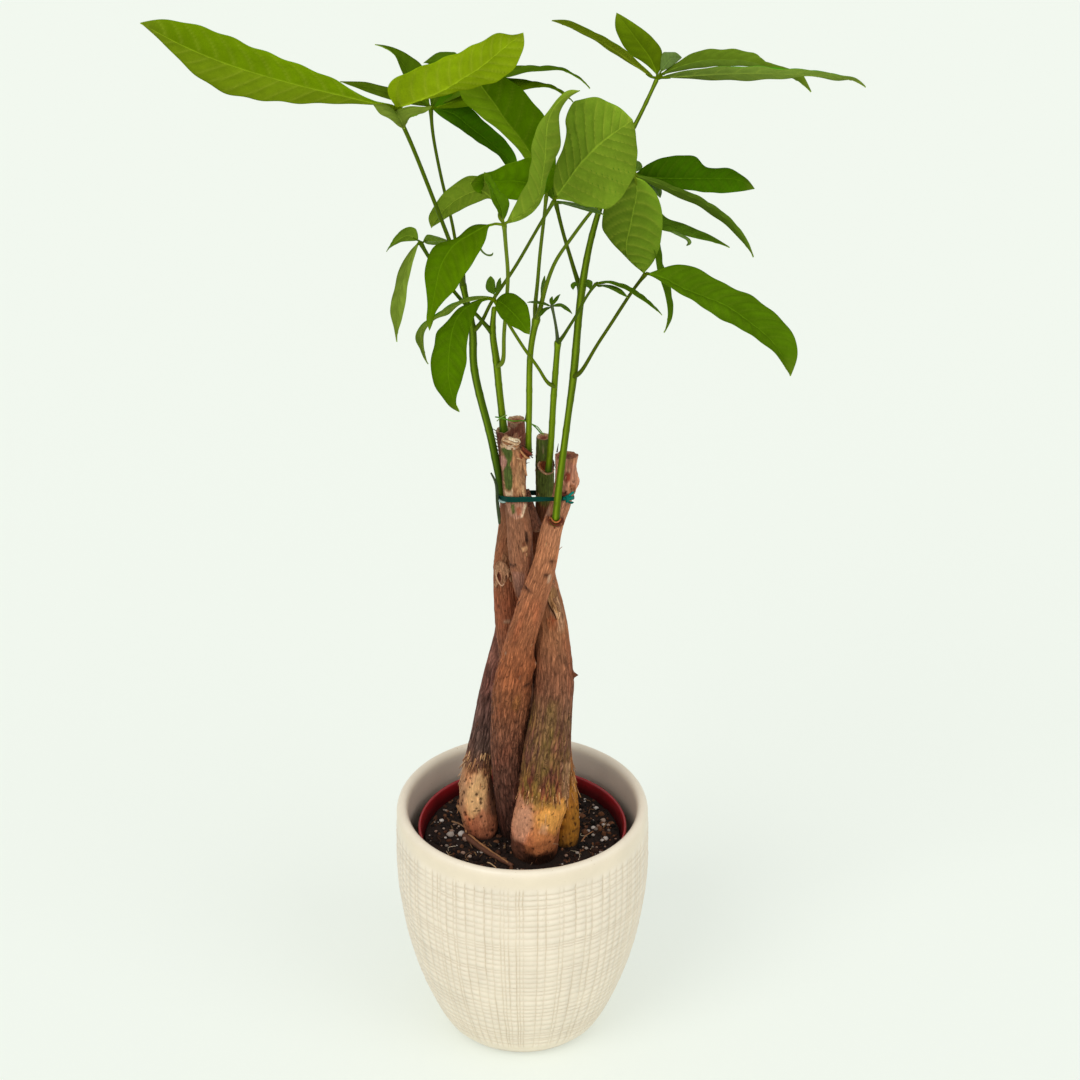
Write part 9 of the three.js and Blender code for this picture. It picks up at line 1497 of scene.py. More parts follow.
def all_trunks():
    mat = bark_mat()
    for k, name in enumerate(('trunk_1', 'trunk_2', 'trunk_3', 'trunk_4', 'trunk_5')):
        s, g = trunk(name, 3 + 5 * k)
        rg = np.random.default_rng(60 + k)
        P, T, U, W, L, R, V, th = (g[x] for x in ('P', 'T', 'U', 'W', 'L', 'R', 'V', 'th'))

        def at(z, ang):
            i = int(np.argmin(np.abs(P[:, 2] - z)))
            j = int(round((ang % (2 * np.pi)) / (2 * np.pi) * len(th))) % len(th)
            o = unit(V[i, j] - P[i])
            return V[i, j], T[i], o

        out_ = V - P[:, None]
        front = ((CAM - V) * out_).sum(-1) > 0
        seen = project(V)

        def on(px, py, lift=0.3):
            d_ = np.where(front, np.hypot(seen[0] - px, seen[1] - py), 1e9)
            i, j = np.unravel_index(np.argmin(d_), d_.shape)
            return ray(px, py, V[i, j, 1]) + unit(CAM - V[i, j]) * lift
        # torn bark: hanging slivers above the swollen base
        if name in BULB:
            for q in range(70):
                p, t, o = at(BULB[name] + rg.uniform(-6, 12), rg.uniform(0, 2 * np.pi))
                flap(s, p - o * 0.15, -t + o * rg.uniform(-.05, .16), o, rg.uniform(2.5, 8.0), rg.uniform(0.22, 0.55),
                     rg.uniform(0.0, 0.22), ['#c08a5c', '#e0b07c', '#8a5a3c', '#d9a26a'][q % 4], q)
            if name == 'trunk_5':
                for q in range(16):
                    p, t, o = at(rg.uniform(150, 178), rg.uniform(-1.9, -0.9))
                    flap(s, p - o * 0.2, -t + o * rg.uniform(.05, .3), o, rg.uniform(4, 10), rg.uniform(0.3, 0.7),
                         rg.uniform(0.05, 0.35), ['#b98660', '#8a5a40', '#d8b088'][q % 3], q + 200)
            if name == 'trunk_2':
                for q in range(26):
                    p, t, o = at(rg.uniform(126, 150), rg.uniform(-1.3, 1.3))
                    flap(s, p - o * 0.1, (rg.uniform(-1, 1), 0.2, rg.uniform(-1, .4)), o, rg.uniform(1.5, 4.0), 0.16,
                         rg.uniform(0.0, 0.3), ['#6b4028', '#caa07c', '#3a2014'][q % 3], q + 300)
        # small loose flakes along the trunk
        for q in range({'trunk_1': 16, 'trunk_2': 20, 'trunk_3': 26, 'trunk_4': 18, 'trunk_5': 16}[name]):
            p, t, o = at(rg.uniform(190, P[-1, 2] - 6), rg.uniform(0, 2 * np.pi))
            sg = 1 if rg.random() < 0.5 else -1
            flap(s, p - o * 0.1, t * sg + o * 0.1, o, rg.uniform(1.5, 4.2), rg.uniform(0.3, 0.7), rg.uniform(0.05, 0.4),
                 ['#8a573c', '#b07a55', '#6b4330', '#c69468'][q % 4], q + 50)
        if name == 'trunk_3':
            # curled pale lip of bark round the cut
            bp = lambda x, y, lift=0.4: hit(480 + x / 10, 400 + y / 10, 'trunk_3', lift)
            strand(s, [bp(222, 405), bp(240, 378), bp(262, 366), bp(285, 374)], 0.75, '#c79a72')
            strand(s, [bp(232, 402, .8), bp(265, 408, .8), bp(305, 424, .9), bp(345, 441, .9), bp(378, 440, .8), bp(396, 422, .5)], 0.75, '#dcb890')
            strand(s, [bp(262, 372, .2), bp(300, 380, .2), bp(340, 392, .2), bp(375, 396, .2), bp(396, 412, .3), bp(398, 428, .4)], 0.62, '#e8d0ac')
            strand(s, [bp(285, 392, .4), bp(318, 402, .5), bp(352, 414, .5), bp(382, 418, .4)], 0.5, '#f0dfc2')
            strand(s, [bp(225, 412, .5), bp(255, 432, .8), bp(300, 448, .9), bp(350, 462, .9), bp(395, 452, .6)], 0.6, '#a8744e')
            strand(s, [bp(420, 470, 2), bp(455, 505, 3), bp(490, 530, 4), bp(520, 548, 4.5)], 0.8, '#7a3522')
            strand(s, [bp(400, 500, 1), bp(430, 540, 2), bp(460, 572, 3), bp(500, 580, 4)], 0.6, '#c48a5c')
            strand(s, [bp(365, 580, .6), bp(400, 588, .9), bp(440, 600, .8)], 0.5, '#d8aa7c')
            for x0, y0, x1, y1 in ((500, 530, 528, 520), (505, 560, 530, 580)):
                strand(s, [bp(x0, y0, 3), bp((x0 + x1) / 2, (y0 + y1) / 2, 4), bp(x1, y1, 5)], 0.35, '#3c2216', 6)
            for ang, ln, w, cu, hx in ((-0.75, 5.0, 2.2, .55, '#d6b08c'), (-0.15, 6.0, 2.4, .65, '#dfc0a0'),
                                       (0.45, 5.5, 2.0, .5, '#c99a74'), (0.95, 7.0, 2.2, .35, '#b98564'),
                                       (2.6, 5.0, 2.5, .3, '#a8775a'), (3.6, 4.0, 2.4, .35, '#a8775a')):
                p, t, o = at(P[-1, 2] - 2.5, ang)
                flap(s, p - o * 0.5, t + o * 0.15, o, ln, w, cu, hx, 7 * ang, 0.5)
            # peeling strip at the right of the green patch
            for ang, z0, ln, w, hx in ((0.55, 388, 9, 1.3, '#d8a576'), (0.95, 384, 12, 1.5, '#c58d62'), (0.75, 366, 9, 1.2, '#dcae80'),
                                       (-0.85, 384, 8, 1.0, '#bf8b76')):
                p, t, o = at(z0, ang)
                flap(s, p - o * 0.2, -t + o * 0.05, o, ln, w, 0.10, hx, 9 * ang, 0.35)
            for ang in (1.3, 1.6, 1.9):
                for z0 in (352, 357, 377, 381, 386):
                    p, t, o = at(z0 + rg.uniform(-2, 2), ang)
                    flap(s, p - o * .1, t * .4 + o, o, rg.uniform(1.6, 3.0), 0.35, .3, '#5a2f20', z0 + ang, 0.3)
        if name == 'trunk_4':
            for q in range(9):
                p, t, o = at(376 + 2.2 * q, -1.35 + rg.uniform(-.3, .3))
                flap(s, p - o * .1, t + o * .7, o, rg.uniform(1.4, 2.8), 0.5, .3, '#5c3326', q, 0.3)
            # raised rim of the torn flap, and edges of the knot
            bq = lambda x, y, lift=0.3: on(x, y, lift)
            strand(s, [bq(495.9, 569.5), bq(496.2, 574.5), bq(497.4, 579.6), bq(499.6, 583.6), bq(502.2, 585.6), bq(504.2, 583.4)], 0.42, '#d9ab88', taper=0.7)
            strand(s, [bq(498.8, 570.6), bq(500.9, 573.6), bq(501.8, 578.2), bq(501.0, 582.4)], 0.34, '#c08a68', taper=0.7)
            strand(s, [bq(496.4, 564.2), bq(500.2, 561.2), bq(504.6, 563.0), bq(507.9, 567.0)], 0.36, '#9a6c4e', taper=0.6)
            strand(s, [bq(504.0, 554.4), bq(506.4, 557.0), bq(505.4, 561.4)], 0.36, '#8e5f42', taper=0.6)
            for ang, z0, ln in ((-0.45, 309, 6), (0.25, 308, 5), (0.5, 301, 4), (-0.6, 297, 4)):
                p, t, o = at(z0, ang)
                flap(s, p - o * .2, -t + o * .15, o, ln, 1.2, .25, '#a87c5c', ang * 5, 0.5)
        if name == 'trunk_2':
            # rim of torn bark hanging under the base of the middle shoot
            bp = lambda x, y, lift=0.4: hit(480 + x / 10, 400 + y / 10, 'trunk_2', lift)
            strand(s, [bp(600, 615), bp(583, 640), bp(590, 675), bp(620, 712), bp(665, 738), bp(712, 728), bp(740, 690)], 0.62, '#cfa078', taper=0.6)
            strand(s, [bp(612, 622, .2), bp(600, 650, .2), bp(618, 690, .2), bp(655, 712, .2)], 0.4, '#b5683c')
            # long peeled piece beside the crossing, its pale curled edge, and a dark strand as painted shadow in the
            # gap under it
            bq = lambda x, y, lift=0.35: on(x, y, lift)
            strand(s, [bq(553.6, 587.6), bq(556.8, 592.6), bq(556.9, 598.0), bq(559.2, 605.0), bq(559.7, 612.2), bq(558.2, 619.2)], 0.45, '#dcae82', taper=0.6)
            # dark strand as painted shadow in the gap under the peeled piece
            strand(s, [bq(549.2, 590.6), bq(547.2, 597.4), bq(548.4, 603.2), bq(551.4, 609.2), bq(554.6, 614.8), bq(556.4, 619.6)], 0.4, '#43210f', taper=0.6)
            strand(s, [bq(551.0, 592.0), bq(551.6, 600.0), bq(554.6, 606.0), bq(556.8, 613.0)], 0.75, '#c2905f', taper=0.6)
            for ang, z0, ln, w in ((0.75, 291, 9, 1.5), (0.55, 284, 9, 1.7)):
                p, t, o = at(z0, ang)
                flap(s, p - o * .15, -t + o * .12, o, ln, w, .12, ['#a87c5a', '#c49a74', '#b58a64', '#946c50'][int(z0) % 4], z0, 0.5)
        if name == 'trunk_5':
            # short cut-back side branch with a rounded, knobbed end
            pts = spline([(1.5, 4.0, 353, 2.9), (3.6, 1.4, 346, 3.1), (6.0, -0.8, 339, 3.2), (8.2, -2.6, 333.2, 3.3), (8.9, -3.3, 331.0, 2.9)], n=26)
            thk = np.linspace(0, 2 * np.pi, 36, endpoint=False)
            RR = pts[:, 3][:, None] * (1 + 0.08 * noise(np.stack([np.cos(thk)[None] * 2 + 0 * pts[:, :1], np.sin(thk)[None] * 2 + 0 * pts[:, :1], pts[:, 2:3] * .2 + 0 * thk[None]], -1)))
            RR[-2] *= 0.86; RR[-1] *= 0.5
            v, qd, t3 = tube(pts[:, :3], RR, 36)
            cc = lin('#8a5a44') * (1 + 0.4 * noise(v * np.array([.7, .7, .25])))[:, None]
            zz = v[:, 2]
            cc = cc + (lin('#b0805c') - cc) * (smooth(335, 331.5, zz) * 0.6)[:, None]
            gr = np.stack([v[:, 0], v[:, 1], v[:, 2] * 0.15], -1) * MM
            s.add(v, qd, t3, cc, grain=gr, age=np.full(len(v), 0.7))
        if name == 'trunk_1':
            # bark collar round the base of the long shoot
            bp = lambda x, y, lift=0.5: hit(480 + x / 10, 400 + y / 10, 'trunk_1', lift)
            strand(s, [bp(688, 1178), bp(695, 1212), bp(722, 1240), bp(760, 1254), bp(798, 1240), bp(822, 1205), bp(828, 1180)], 0.75, '#6e3420', taper=0.6)
            strand(s, [bp(700, 1165, .8), bp(708, 1200, 1), bp(735, 1226, 1.2), bp(765, 1236, 1.2), bp(795, 1222, 1)], 0.45, '#b87240', taper=0.6)
            strand(s, [ray(px_, py_, y_) for px_, py_, y_ in ((550.3, 518.6, -17.5), (551.6, 522.3, -18.6), (555.2, 524.9, -19.4), (559.0, 524.0, -19.2), (561.2, 520.6, -18.2), (561.8, 518.0, -17.2))], 0.8, '#5f2a16', taper=0.6)
            strand(s, [ray(px_, py_, y_) for px_, py_, y_ in ((551.2, 517.6, -18.2), (552.8, 520.6, -19.2), (556.0, 522.3, -19.9), (559.0, 521.2, -19.6), (560.8, 518.4, -18.6))], 0.45, '#b4683a', taper=0.6)
            strand(s, [bp(745, 1262, .5), bp(748, 1290, .4)], 0.4, '#8a4a30')
            strand(s, [bp(905, 862, 2), bp(935, 855, 2.2), bp(948, 885, 2.2), bp(940, 930, 1.8), bp(915, 958, 1)], 0.6, '#a86a4a')
            for q in range(9):
                a = np.pi * (0.08 + 0.105 * q)
                c = np.array([18.9, -14.0, 343.6])
                p = c + np.array([-3.7 * math.cos(a), 0.6, -3.4 * math.sin(a)])
                flap(s, p, (0.55 * math.cos(a), -0.45, 0.9 * math.sin(a)), (-math.cos(a), -0.6, -math.sin(a)), 1.8, 0.9, 0.25, ['#9a4c2a', '#c07a50', '#7a3a22'][q % 3], q, 0.4)
        ob = s.obj(name + "_bark", mat)
        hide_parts(name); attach(ob, "root")


# ------------------------------------------------------------------ tie and twine
BAND = [(-12.92,-5.4),(-11.45,-8.99),(-9.7,-12.48),(-7.35,-15.53),(-3.7,-16.75),(0.14,-16.1),(3.95,-15.24),(7.77,-14.38),(11.58,-13.52),(15.39,-12.67),(19.2,-11.81),(23.02,-10.95),(26.56,-9.43),(28.35,-6.06),(27.48,-2.33),(25.55,1.07),(23.63,4.47),(21.7,7.87),(19.77,11.27),(17.84,14.66),(14.93,17.16),(11.09,17.77),(7.2,18.18),(3.31,18.59),(-0.57,19),(-4.46,19.2),(-7.79,17.31),(-9.31,13.76),(-10.24,9.96),(-11.17,6.17),(-12.09,2.37),(-12.54,-1.51)]


def tie_band():
    s = Soup()
    p = np.array(BAND, float)
    n = 200
    q = np.vstack([p, p[:1]])
    L = np.r_[0, np.cumsum(np.linalg.norm(np.diff(q, axis=0), axis=1))]
    t = np.linspace(0, L[-1], n, endpoint=False)
    x, y = np.interp(t, L, q[:, 0]), np.interp(t, L, q[:, 1])
    for _ in range(2):
        x = (np.roll(x, 1) + 2 * x + np.roll(x, -1)) / 4
        y = (np.roll(y, 1) + 2 * y + np.roll(y, -1)) / 4
    nx, ny = np.roll(y, -1) - np.roll(y, 1), -(np.roll(x, -1) - np.roll(x, 1))
    l = np.hypot(nx, ny); nx, ny = nx / l, ny / l
    th = np.arctan2(y, x)
    zc = 358.2 - 0.45 * (y + 15) + 0.35 * noise(np.stack([np.cos(th) * 2.3, np.sin(th) * 2.3, 0 * th + 4], -1))
    hgt = 1.62 + 0.22 * noise(np.stack([np.cos(th) * 4, np.sin(th) * 4, 0 * th + 9], -1))
    hgt = hgt * (1 - 0.22 * smooth(2, 16, x) * (y < 2))
    m = 16
    a = np.linspace(0, 2 * np.pi, m, endpoint=False)
    cx, cz = np.cos(a), np.sin(a)
    ex = np.sign(cx) * np.abs(cx) ** 0.6; ez = np.sign(cz) * np.abs(cz) ** 0.75
    fold = 0.10 * noise(np.stack([np.cos(th)[:, None] * 9 + 0 * a, np.sin(th)[:, None] * 9 + 0 * a, np.sin(a)[None] * 1.6 + 0 * th[:, None]], -1))
    off = 0.45 + 0.42 * ex[None] + fold
    V = np.stack([x[:, None] + nx[:, None] * off, y[:, None] + ny[:, None] * off, zc[:, None] + hgt[:, None] * ez[None]], -1)
    i, j = np.meshgrid(np.arange(n), np.arange(m), indexing='ij')
    A = i * m + j; B = i * m + (j + 1) % m; C = ((i + 1) % n) * m + (j + 1) % m; D = ((i + 1) % n) * m + j
    quads = np.stack([A, D, C, B], -1).reshape(-1, 4)
    v = V.reshape(-1, 3)
    c = lin('#03382f') * (1 + 0.25 * noise(v * np.array([.3, .3, 1.4])))[:, None]
    # painted highlight along the upper and lower edges of the band
    c = c + (lin('#0e5548') - c) * (smooth(0.55, 1.0, np.abs(v[:, 2] - np.repeat(zc, m)) / 1.6) * 0.22)[:, None]
    s.add(v, quads, None, c)
    # knot and short tails at the right, and the pale end peeping out at the left
    for pts, r, colr in (([(22.8, -13.0, 357.6), (25.6, -12.6, 357.4), (28.2, -10.4, 356.6)], 1.15, '#0c7263'),
                         ([(24.6, -13.6, 359.6), (25.2, -13.9, 357.5), (24.6, -13.3, 355.3)], 0.95, '#0a6658'),
                         ([(25.4, -13.2, 358.8), (27.3, -12.6, 360.2), (28.8, -11.0, 360.4)], 0.7, '#0d7a6a'),
                         ([(25.2, -13.4, 356.0), (26.8, -12.6, 354.6), (28.4, -11.2, 353.9)], 0.7, '#085a4e'),
                         ([(-13.6, -7.8, 356.4), (-12.6, -10.2, 355.2), (-10.4, -12.3, 355.0), (-8.6, -14.5, 356.2)], 0.75, '#8fa6a0')):
        P = spline([(*p_, r) for p_ in pts], n=14)
        rr = P[:, 3] * np.r_[np.linspace(.7, 1, 4), np.ones(6), np.linspace(1, .55, 4)]
        v, qd, tr = tube(P[:, :3], rr, 10)
        s.add(v, qd, tr, lin(colr) * (1 + 0.2 * noise(v * .7))[:, None])
    ob = s.obj("tie_band_wrap", mat_col("stretch_tie", 0.5, (0.9, 1.1), 500, 900, 0.15, 0.0003, spec=0.06))
    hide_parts("tie_band"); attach(ob, "root")


def twine():
    s = Soup()
    main = [(495.5, 417, -1.6), (499.5, 417.6, -4.9), (505, 419, -5.2), (513, 421, -3.2), (525, 421, 1.0), (533, 425, 2.5),
            (541, 433.5, 4.2)]
    P = spline([(*ray(*p), 0.38) for p in main], n=60)
    v, q, t = tube(P[:, :3], P[:, 3] * (1 + 0.12 * noise(P[:, :3] * 0.8)), 9)
    c = lin('#568a22') * (1 + 0.3 * noise(v * 0.35))[:, None]
    s.add(v, q, t, c)
    other = [(533, 424.5, 3.4), (537, 426.5, 3.8), (540.5, 430.5, 4.6), (543.5, 434.5, 5.2)]
    P = spline([(*ray(*p), 0.3) for p in other], n=24)
    v, q, t = tube(P[:, :3], P[:, 3], 8)
    s.add(v, q, t, lin('#749e38') * (1 + 0.3 * noise(v * 0.35))[:, None])
    third = [(497, 421, -4.2), (500, 418.4, -5.2), (503.5, 416.2, -5.0), (507, 415.2, -4.6)]
    P = spline([(*ray(*p), 0.28) for p in third], n=20)
    v, q, t = tube(P[:, :3], P[:, 3], 8)
    s.add(v, q, t, lin('#84a64c') * (1 + 0.3 * noise(v * 0.35))[:, None])
    ob = s.obj("twine_strand", mat_col("green_twine", 0.6, (0.85, 1.15), 900, 1500, 0.3, 0.0002, spec=0.05))
    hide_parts("plant_twine"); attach(ob, "root")


def dead_bits():
    """Dry twig beside the base of the left shoot, and short dark spikes on the cut tops."""
    s = Soup()
    for rows, colr in (([(-16.5, -11, 372.2, 0.45), (-14.3, -11, 367.2, 0.7), (-13.2, -10.8, 356.0, 0.9), (-12.3, -10.5, 345.6, 1.0),
                         (-12.0, -10.0, 340.0, .7)], '#2a3a14'),):
        P = spline(rows, n=40)
        v, q, t = tube(P[:, :3], P[:, 3], 10)
        c = lin(colr) * (1 + 0.6 * noise(v * np.array([.5, .5, .15])))[:, None]
        s.add(v, q, t, c)
    for y_, pts_, rad_, hx_ in ((-60.6, ((480.0, 246.5), (481.6, 250.5), (484.5, 253.5), (488, 255.2), (492, 254.6), (493, 252.6)), 0.55, '#4c6412'),
                                (-16.1, ((671, 231.5), (677, 233.5), (683, 236.5), (688, 239.5), (689.5, 242.5), (686.5, 245.5)), 1.0, '#56721a')):
        P = spline([(*ray(px_, py_, y_), 0) for px_, py_ in pts_], n=26)[:, :3]
        v, q, t = tube(P, rad_ * np.interp(np.linspace(0, 1, 26), [0, .2, .6, .85, 1], [.5, 1, .9, 1.1, .3]), 8)
        s.add(v, q, t, lin(hx_) * (1 + 0.3 * noise(v * 0.4))[:, None])
    for a, b, r in (((525.5, 420, -2), (527.0, 408.5, -3), .5), ((557.0, 452, 2), (558.4, 443.5, 1), .45), ((553, 462, -1), (555.5, 468, -3), .4)):
        P = np.linspace(ray(*a), ray(*b), 8)
        v, q, t = tube(P, np.linspace(r, 0.12, 8), 8)
        s.add(v, q, t, lin('#3a2a18'))
    ob = s.obj("dry_twig", mat_col("dry_twig", 0.8, (0.7, 1.25), 600, 1200, 0.4, 0.0004))
    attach(ob, "root")


# ------------------------------------------------------------------ leaves
UP, DOWN = '#3c7a10', '#7f9f2a'
# veins a side, strength of the quilting
LEAF_VEINS = {'d1': (10, 1.5), 'e1': (9, 1.0), 'a2': (11, 1.0), 'a1': (13, 0.7), 'c1': (11, 0.7), 'i4': (9, 0.9), 'k1': (9, 0.9),
              'g1': (13, 0.9), 'f1': (12, 0.8), 'b1': (9, 0.35), 'm4': (12, 0.7), 'a7': (12, 0.7), 'b3': (8, 0.7)}


# painted light and shade on the two halves of leaflets folded along the midrib
LEAF_HALF_SHADE = {'b1': ((0.78, 0.86, 0.6), (1.55, 1.4, 3.4)), 'a1': ((0.86, 0.90, 0.6), (1.22, 1.14, 2.0)),
             'm4': ((0.95, 0.95, 0.8), (1.1, 1.1, 1.4)), 'i4': ((1.0, 1.0, 1.0), (1.1, 1.06, 1.0))}


def blade(s, name, hub_rows):
    parent, face, M, A, B = LEAVES[name]
    rows = np.hstack([np.array(M, float), np.array(A, float), np.array(B, float)])
    length = np.linalg.norm(np.diff(rows[:, :3], axis=0), axis=1).sum()
    ns = int(np.clip(length * 0.80, 26, 100))
    S = spline(rows, n=ns)
    M, A, B = S[:, :3], S[:, 3:6], S[:, 6:9]
    s0 = np.r_[0, np.cumsum(np.linalg.norm(np.diff(M, axis=0), axis=1))]
    f = s0 / s0[-1]
    wide = max(np.linalg.norm(A - B, axis=1).max(), 1)
    big = float(np.clip((length - 20) / 60, 0, 1))
    T = unit(np.gradient(M, axis=0))
    chord = B - A
    N = np.cross(T, chord)
    ok = np.linalg.norm(chord, axis=1) > 0.22 * wide
    N = unit(N)
    ref = N[len(N) // 2]
    sgn = np.sign((N * ref).sum(1)); sgn[sgn == 0] = 1
    N = N * sgn[:, None]
    idx = np.where(ok)[0]
    if len(idx):
        N[:idx[0]] = N[idx[0]]; N[idx[-1] + 1:] = N[idx[-1]]
    for _ in range(3):
        N = unit(np.vstack([N[:1], (N[:-2] + 2 * N[1:-1] + N[2:]) / 4, N[-1:]]))
    if (N * unit(CAM - M)).sum(1).mean() < 0: N = -N
    Nu = N if face == 'up' else -N
    vs = np.array([0, .03, .065, .12, .2, .3, .4, .5, .6, .7, .8, .89, .96, 1.0])
    if length < 40: vs = np.array([0, .05, .12, .25, .4, .6, .8, .93, 1.0])
    v = np.r_[-vs[::-1][:-1], vs]
    E = np.where(v[None, :, None] < 0, (A - M)[:, None], (B - M)[:, None])
    av = np.abs(v)[None]
    w = np.linalg.norm(E, axis=-1)
    X = av * w                                                  # mm out from the midrib
    base = M[:, None] + av[..., None] * E
    seed = sum(ord(ch) * (k + 3) for k, ch in enumerate(name)) % 97
    nv_, q_ = LEAF_VEINS.get(name, (max(6, int(length / 11)), 0.7))
    q_ = q_ * (0.35 + 0.65 * big)
    delta = length / (nv_ + 1.0)
    # lateral veins leave the midrib forward and arch towards the tip near the margin
    sweep = 0.42 * X + 0.35 * X * X / np.maximum(w, 1)
    side = np.where(v[None] < 0, 0.5, 0.0)
    phase = (s0[:, None] - sweep) / delta + side + 0.10 * noise(np.stack([s0[:, None] * .08 + 0 * X, np.sign(v)[None] * 3.0 + 0 * X, 0 * X + seed], -1))
    frac = phase - np.floor(phase)
    dist = np.minimum(frac, 1 - frac) * delta
    edge = 1 - smooth(0.82, 1.0, av)
    root = smooth(0.0, 0.10, av)
    vein = np.exp(-(dist / 0.9) ** 2) * edge * (0.35 + 0.65 * root)
    quilt = (0.5 - 0.5 * np.cos(2 * np.pi * frac)) * np.sin(np.pi * np.clip(av, 0, 1)) ** 0.7
    camber = 0.075 * w * np.sin(np.pi * np.clip(av, 0, 1)) ** 1.0
    grow = np.sin(np.pi * np.clip(f, 0, 1))[:, None] ** 0.5
    wav = np.sin(2 * np.pi * (s0[:, None] / (delta * 1.9)) + seed + np.where(v[None] < 0, 1.3, 0))
    margin = 0.030 * w * wav * av ** 3 * big + 0.035 * w * noise(np.stack([s0[:, None] * .035 + 0 * X, v[None] * 1.2 + 0 * X, 0 * X + seed], -1)) * av
    hgt = (camber * 0.9 + q_ * 0.85 * quilt + margin) * grow - q_ * 0.40 * vein * grow
    rib = (0.85 - 0.65 * f[:, None]) * (0.45 + 0.55 * big)       # midrib half width, mm
    cut = np.exp(-(X / (rib * 1.25)) ** 2)
    up = hgt - 0.40 * rib * cut + 0.22 * rib * np.exp(-(X / (rib * 0.45)) ** 2)
    thick = (0.42 - 0.22 * smooth(0.75, 1.0, av)) * (0.6 + 0.4 * big)
    low = hgt - thick - 0.95 * rib * np.exp(-(X / (rib * 0.85)) ** 2) - 0.28 * q_ * vein
    # surface normals of the bare blade
    gs = np.gradient(base, axis=0); gv = np.gradient(base, axis=1)
    G = np.cross(gs, gv)
    ln = np.linalg.norm(G, axis=-1, keepdims=True)
    G = np.where(ln > 1e-6, G / np.maximum(ln, 1e-6), Nu[:, None])
    G = G * np.where((G * Nu[:, None]).sum(-1, keepdims=True) < 0, -1, 1)
    K = unit(0.55 * G + 0.45 * Nu[:, None])
    UPV, LOV = base + K * up[..., None], base + K * low[..., None]
    m = len(v)
    n = ns
    V = np.vstack([UPV.reshape(-1, 3), LOV.reshape(-1, 3)])
    i, j = np.meshgrid(np.arange(n - 1), np.arange(m - 1), indexing='ij')
    a = (i * m + j).ravel()
    o = n * m
    # which way round the upper sheet runs
    k = (n // 2) * m + m // 4
    fn = np.cross(UPV[n // 2 + 1, m // 4] - UPV[n // 2, m // 4], UPV[n // 2, m // 4 + 1] - UPV[n // 2, m // 4])
    flip = (fn @ Nu[n // 2]) < 0
    qa = np.stack([a, a + m, a + m + 1, a + 1], -1)
    qb = qa[:, ::-1] + o
    k = np.arange(n - 1)
    e1 = np.stack([k * m, k * m + o, (k + 1) * m + o, (k + 1) * m], -1)
    e2 = np.stack([k * m + m - 1, (k + 1) * m + m - 1, (k + 1) * m + m - 1 + o, k * m + m - 1 + o], -1)
    k = np.arange(m - 1)
    e3 = np.stack([k, k + 1, k + 1 + o, k + o], -1)
    kk = k + (n - 1) * m
    e4 = np.stack([kk, kk + o, kk + 1 + o, kk + 1], -1)
    quads = np.vstack([qa, qb, e1, e2, e3, e4])
    if flip: quads = quads[:, ::-1]
    cols = LEAF_COL.get(name, {})
    cu, cd = lin(cols.get('up', UP)), lin(cols.get('down', DOWN))
    out = []
    for side_, base_c in (('up', cu), ('down', cd)):
        patch = noise(np.stack([s0[:, None] * .03 + 0 * X, v[None] * 1.1 + 0 * X, 0 * X + seed + 7], -1))
        fine = noise(np.stack([s0[:, None] * .16 + 0 * X, X * .22, 0 * X + seed + 19], -1))
        l0, l1, l2, l3 = LEAF_SHADE_LEAN.get(name, (0, 0, 0, 0))
        ff = f[:, None] - 0.5
        # painted light and shade across the leaflet
        shade = np.exp(np.clip(l0 * ff + l1 * v[None] + l2 * ff * v[None] + l3 * (ff * ff * 4 - 0.33), -1.1, 1.1))
        c = base_c * (shade * (1 + 0.20 * patch + 0.12 * fine))[..., None]
        # painted light and shade on the two halves
        if name in LEAF_HALF_SHADE:
            ha, hb = LEAF_HALF_SHADE[name]
            c = c * np.where(v[None, :, None] < 0, np.array(ha), np.array(hb))
        # painted shade and highlight on the quilted bulges between the veins
        c = c * (1 + (0.20 if side_ == 'up' else 0.10) * (quilt * grow - 0.4))[..., None]
        # younger, yellower towards the tip
        tip = smooth(0.86, 1.0, f)[:, None] * np.ones_like(X)
        c = c + (lin('#9a9a3a') * 0.9 - c) * (0.15 * tip)[..., None]
        mid_c = lin('#7fa024') if side_ == 'up' else lin('#a9b83c')
        c = c + (mid_c - c) * ((0.10 if side_ == 'up' else 0.22) * vein * min(q_, 1.0))[..., None]
        ribm = np.exp(-(X / (rib * 0.52)) ** 2)
        c = c + (base_c * 1.35 + (0.16 if side_ == 'up' else 0.26) * mid_c - c) * ((0.72 if side_ == 'up' else 0.8) * ribm)[..., None]
        out.append(c.reshape(-1, 3))
    C = np.vstack(out)
    uv = np.stack([phase, X * 0.1, 0 * X + q_], -1).reshape(-1, 3)
    s.add(V, quads, None, C, vein=np.vstack([uv, uv]), grain=np.vstack([np.stack([s0[:, None] + 0 * X, v[None] * w, 0 * X + seed], -1).reshape(-1, 3) * MM] * 2))
    # petiolule from the stalk's end to the blade, running on under the midrib
    H = hub_rows[np.argmin(((hub_rows[:, :3] - M[0]) ** 2).sum(1)), :3]
    rp = 0.5 + 0.30 * big
    if length < 14: rp = 0.35
    P0 = np.vstack([H, H + (M[0] - H) * 0.5, M[0] + K[0, m // 2] * low[0, m // 2] * 0.6, M[3] + K[3, m // 2] * (low[3, m // 2] + 0.1)])
    P = spline([(*p_, 0) for p_ in P0], n=14)[:, :3]
    rr = rp * np.interp(np.linspace(0, 1, 14), [0, .3, .7, 1], [1.25, 1.0, 0.9, 0.55])
    vv, qd, tr = tube(P, rr, 12)
    cc = lin(STEM_HUE.get(parent, '#84a62c')) * 1.15 * (1 + 0.2 * noise(vv * .3))[:, None]
    s.add(vv, qd, tr, cc, vein=np.tile([0.5, 0.3, 0.0], (len(vv), 1)), grain=vv * MM)


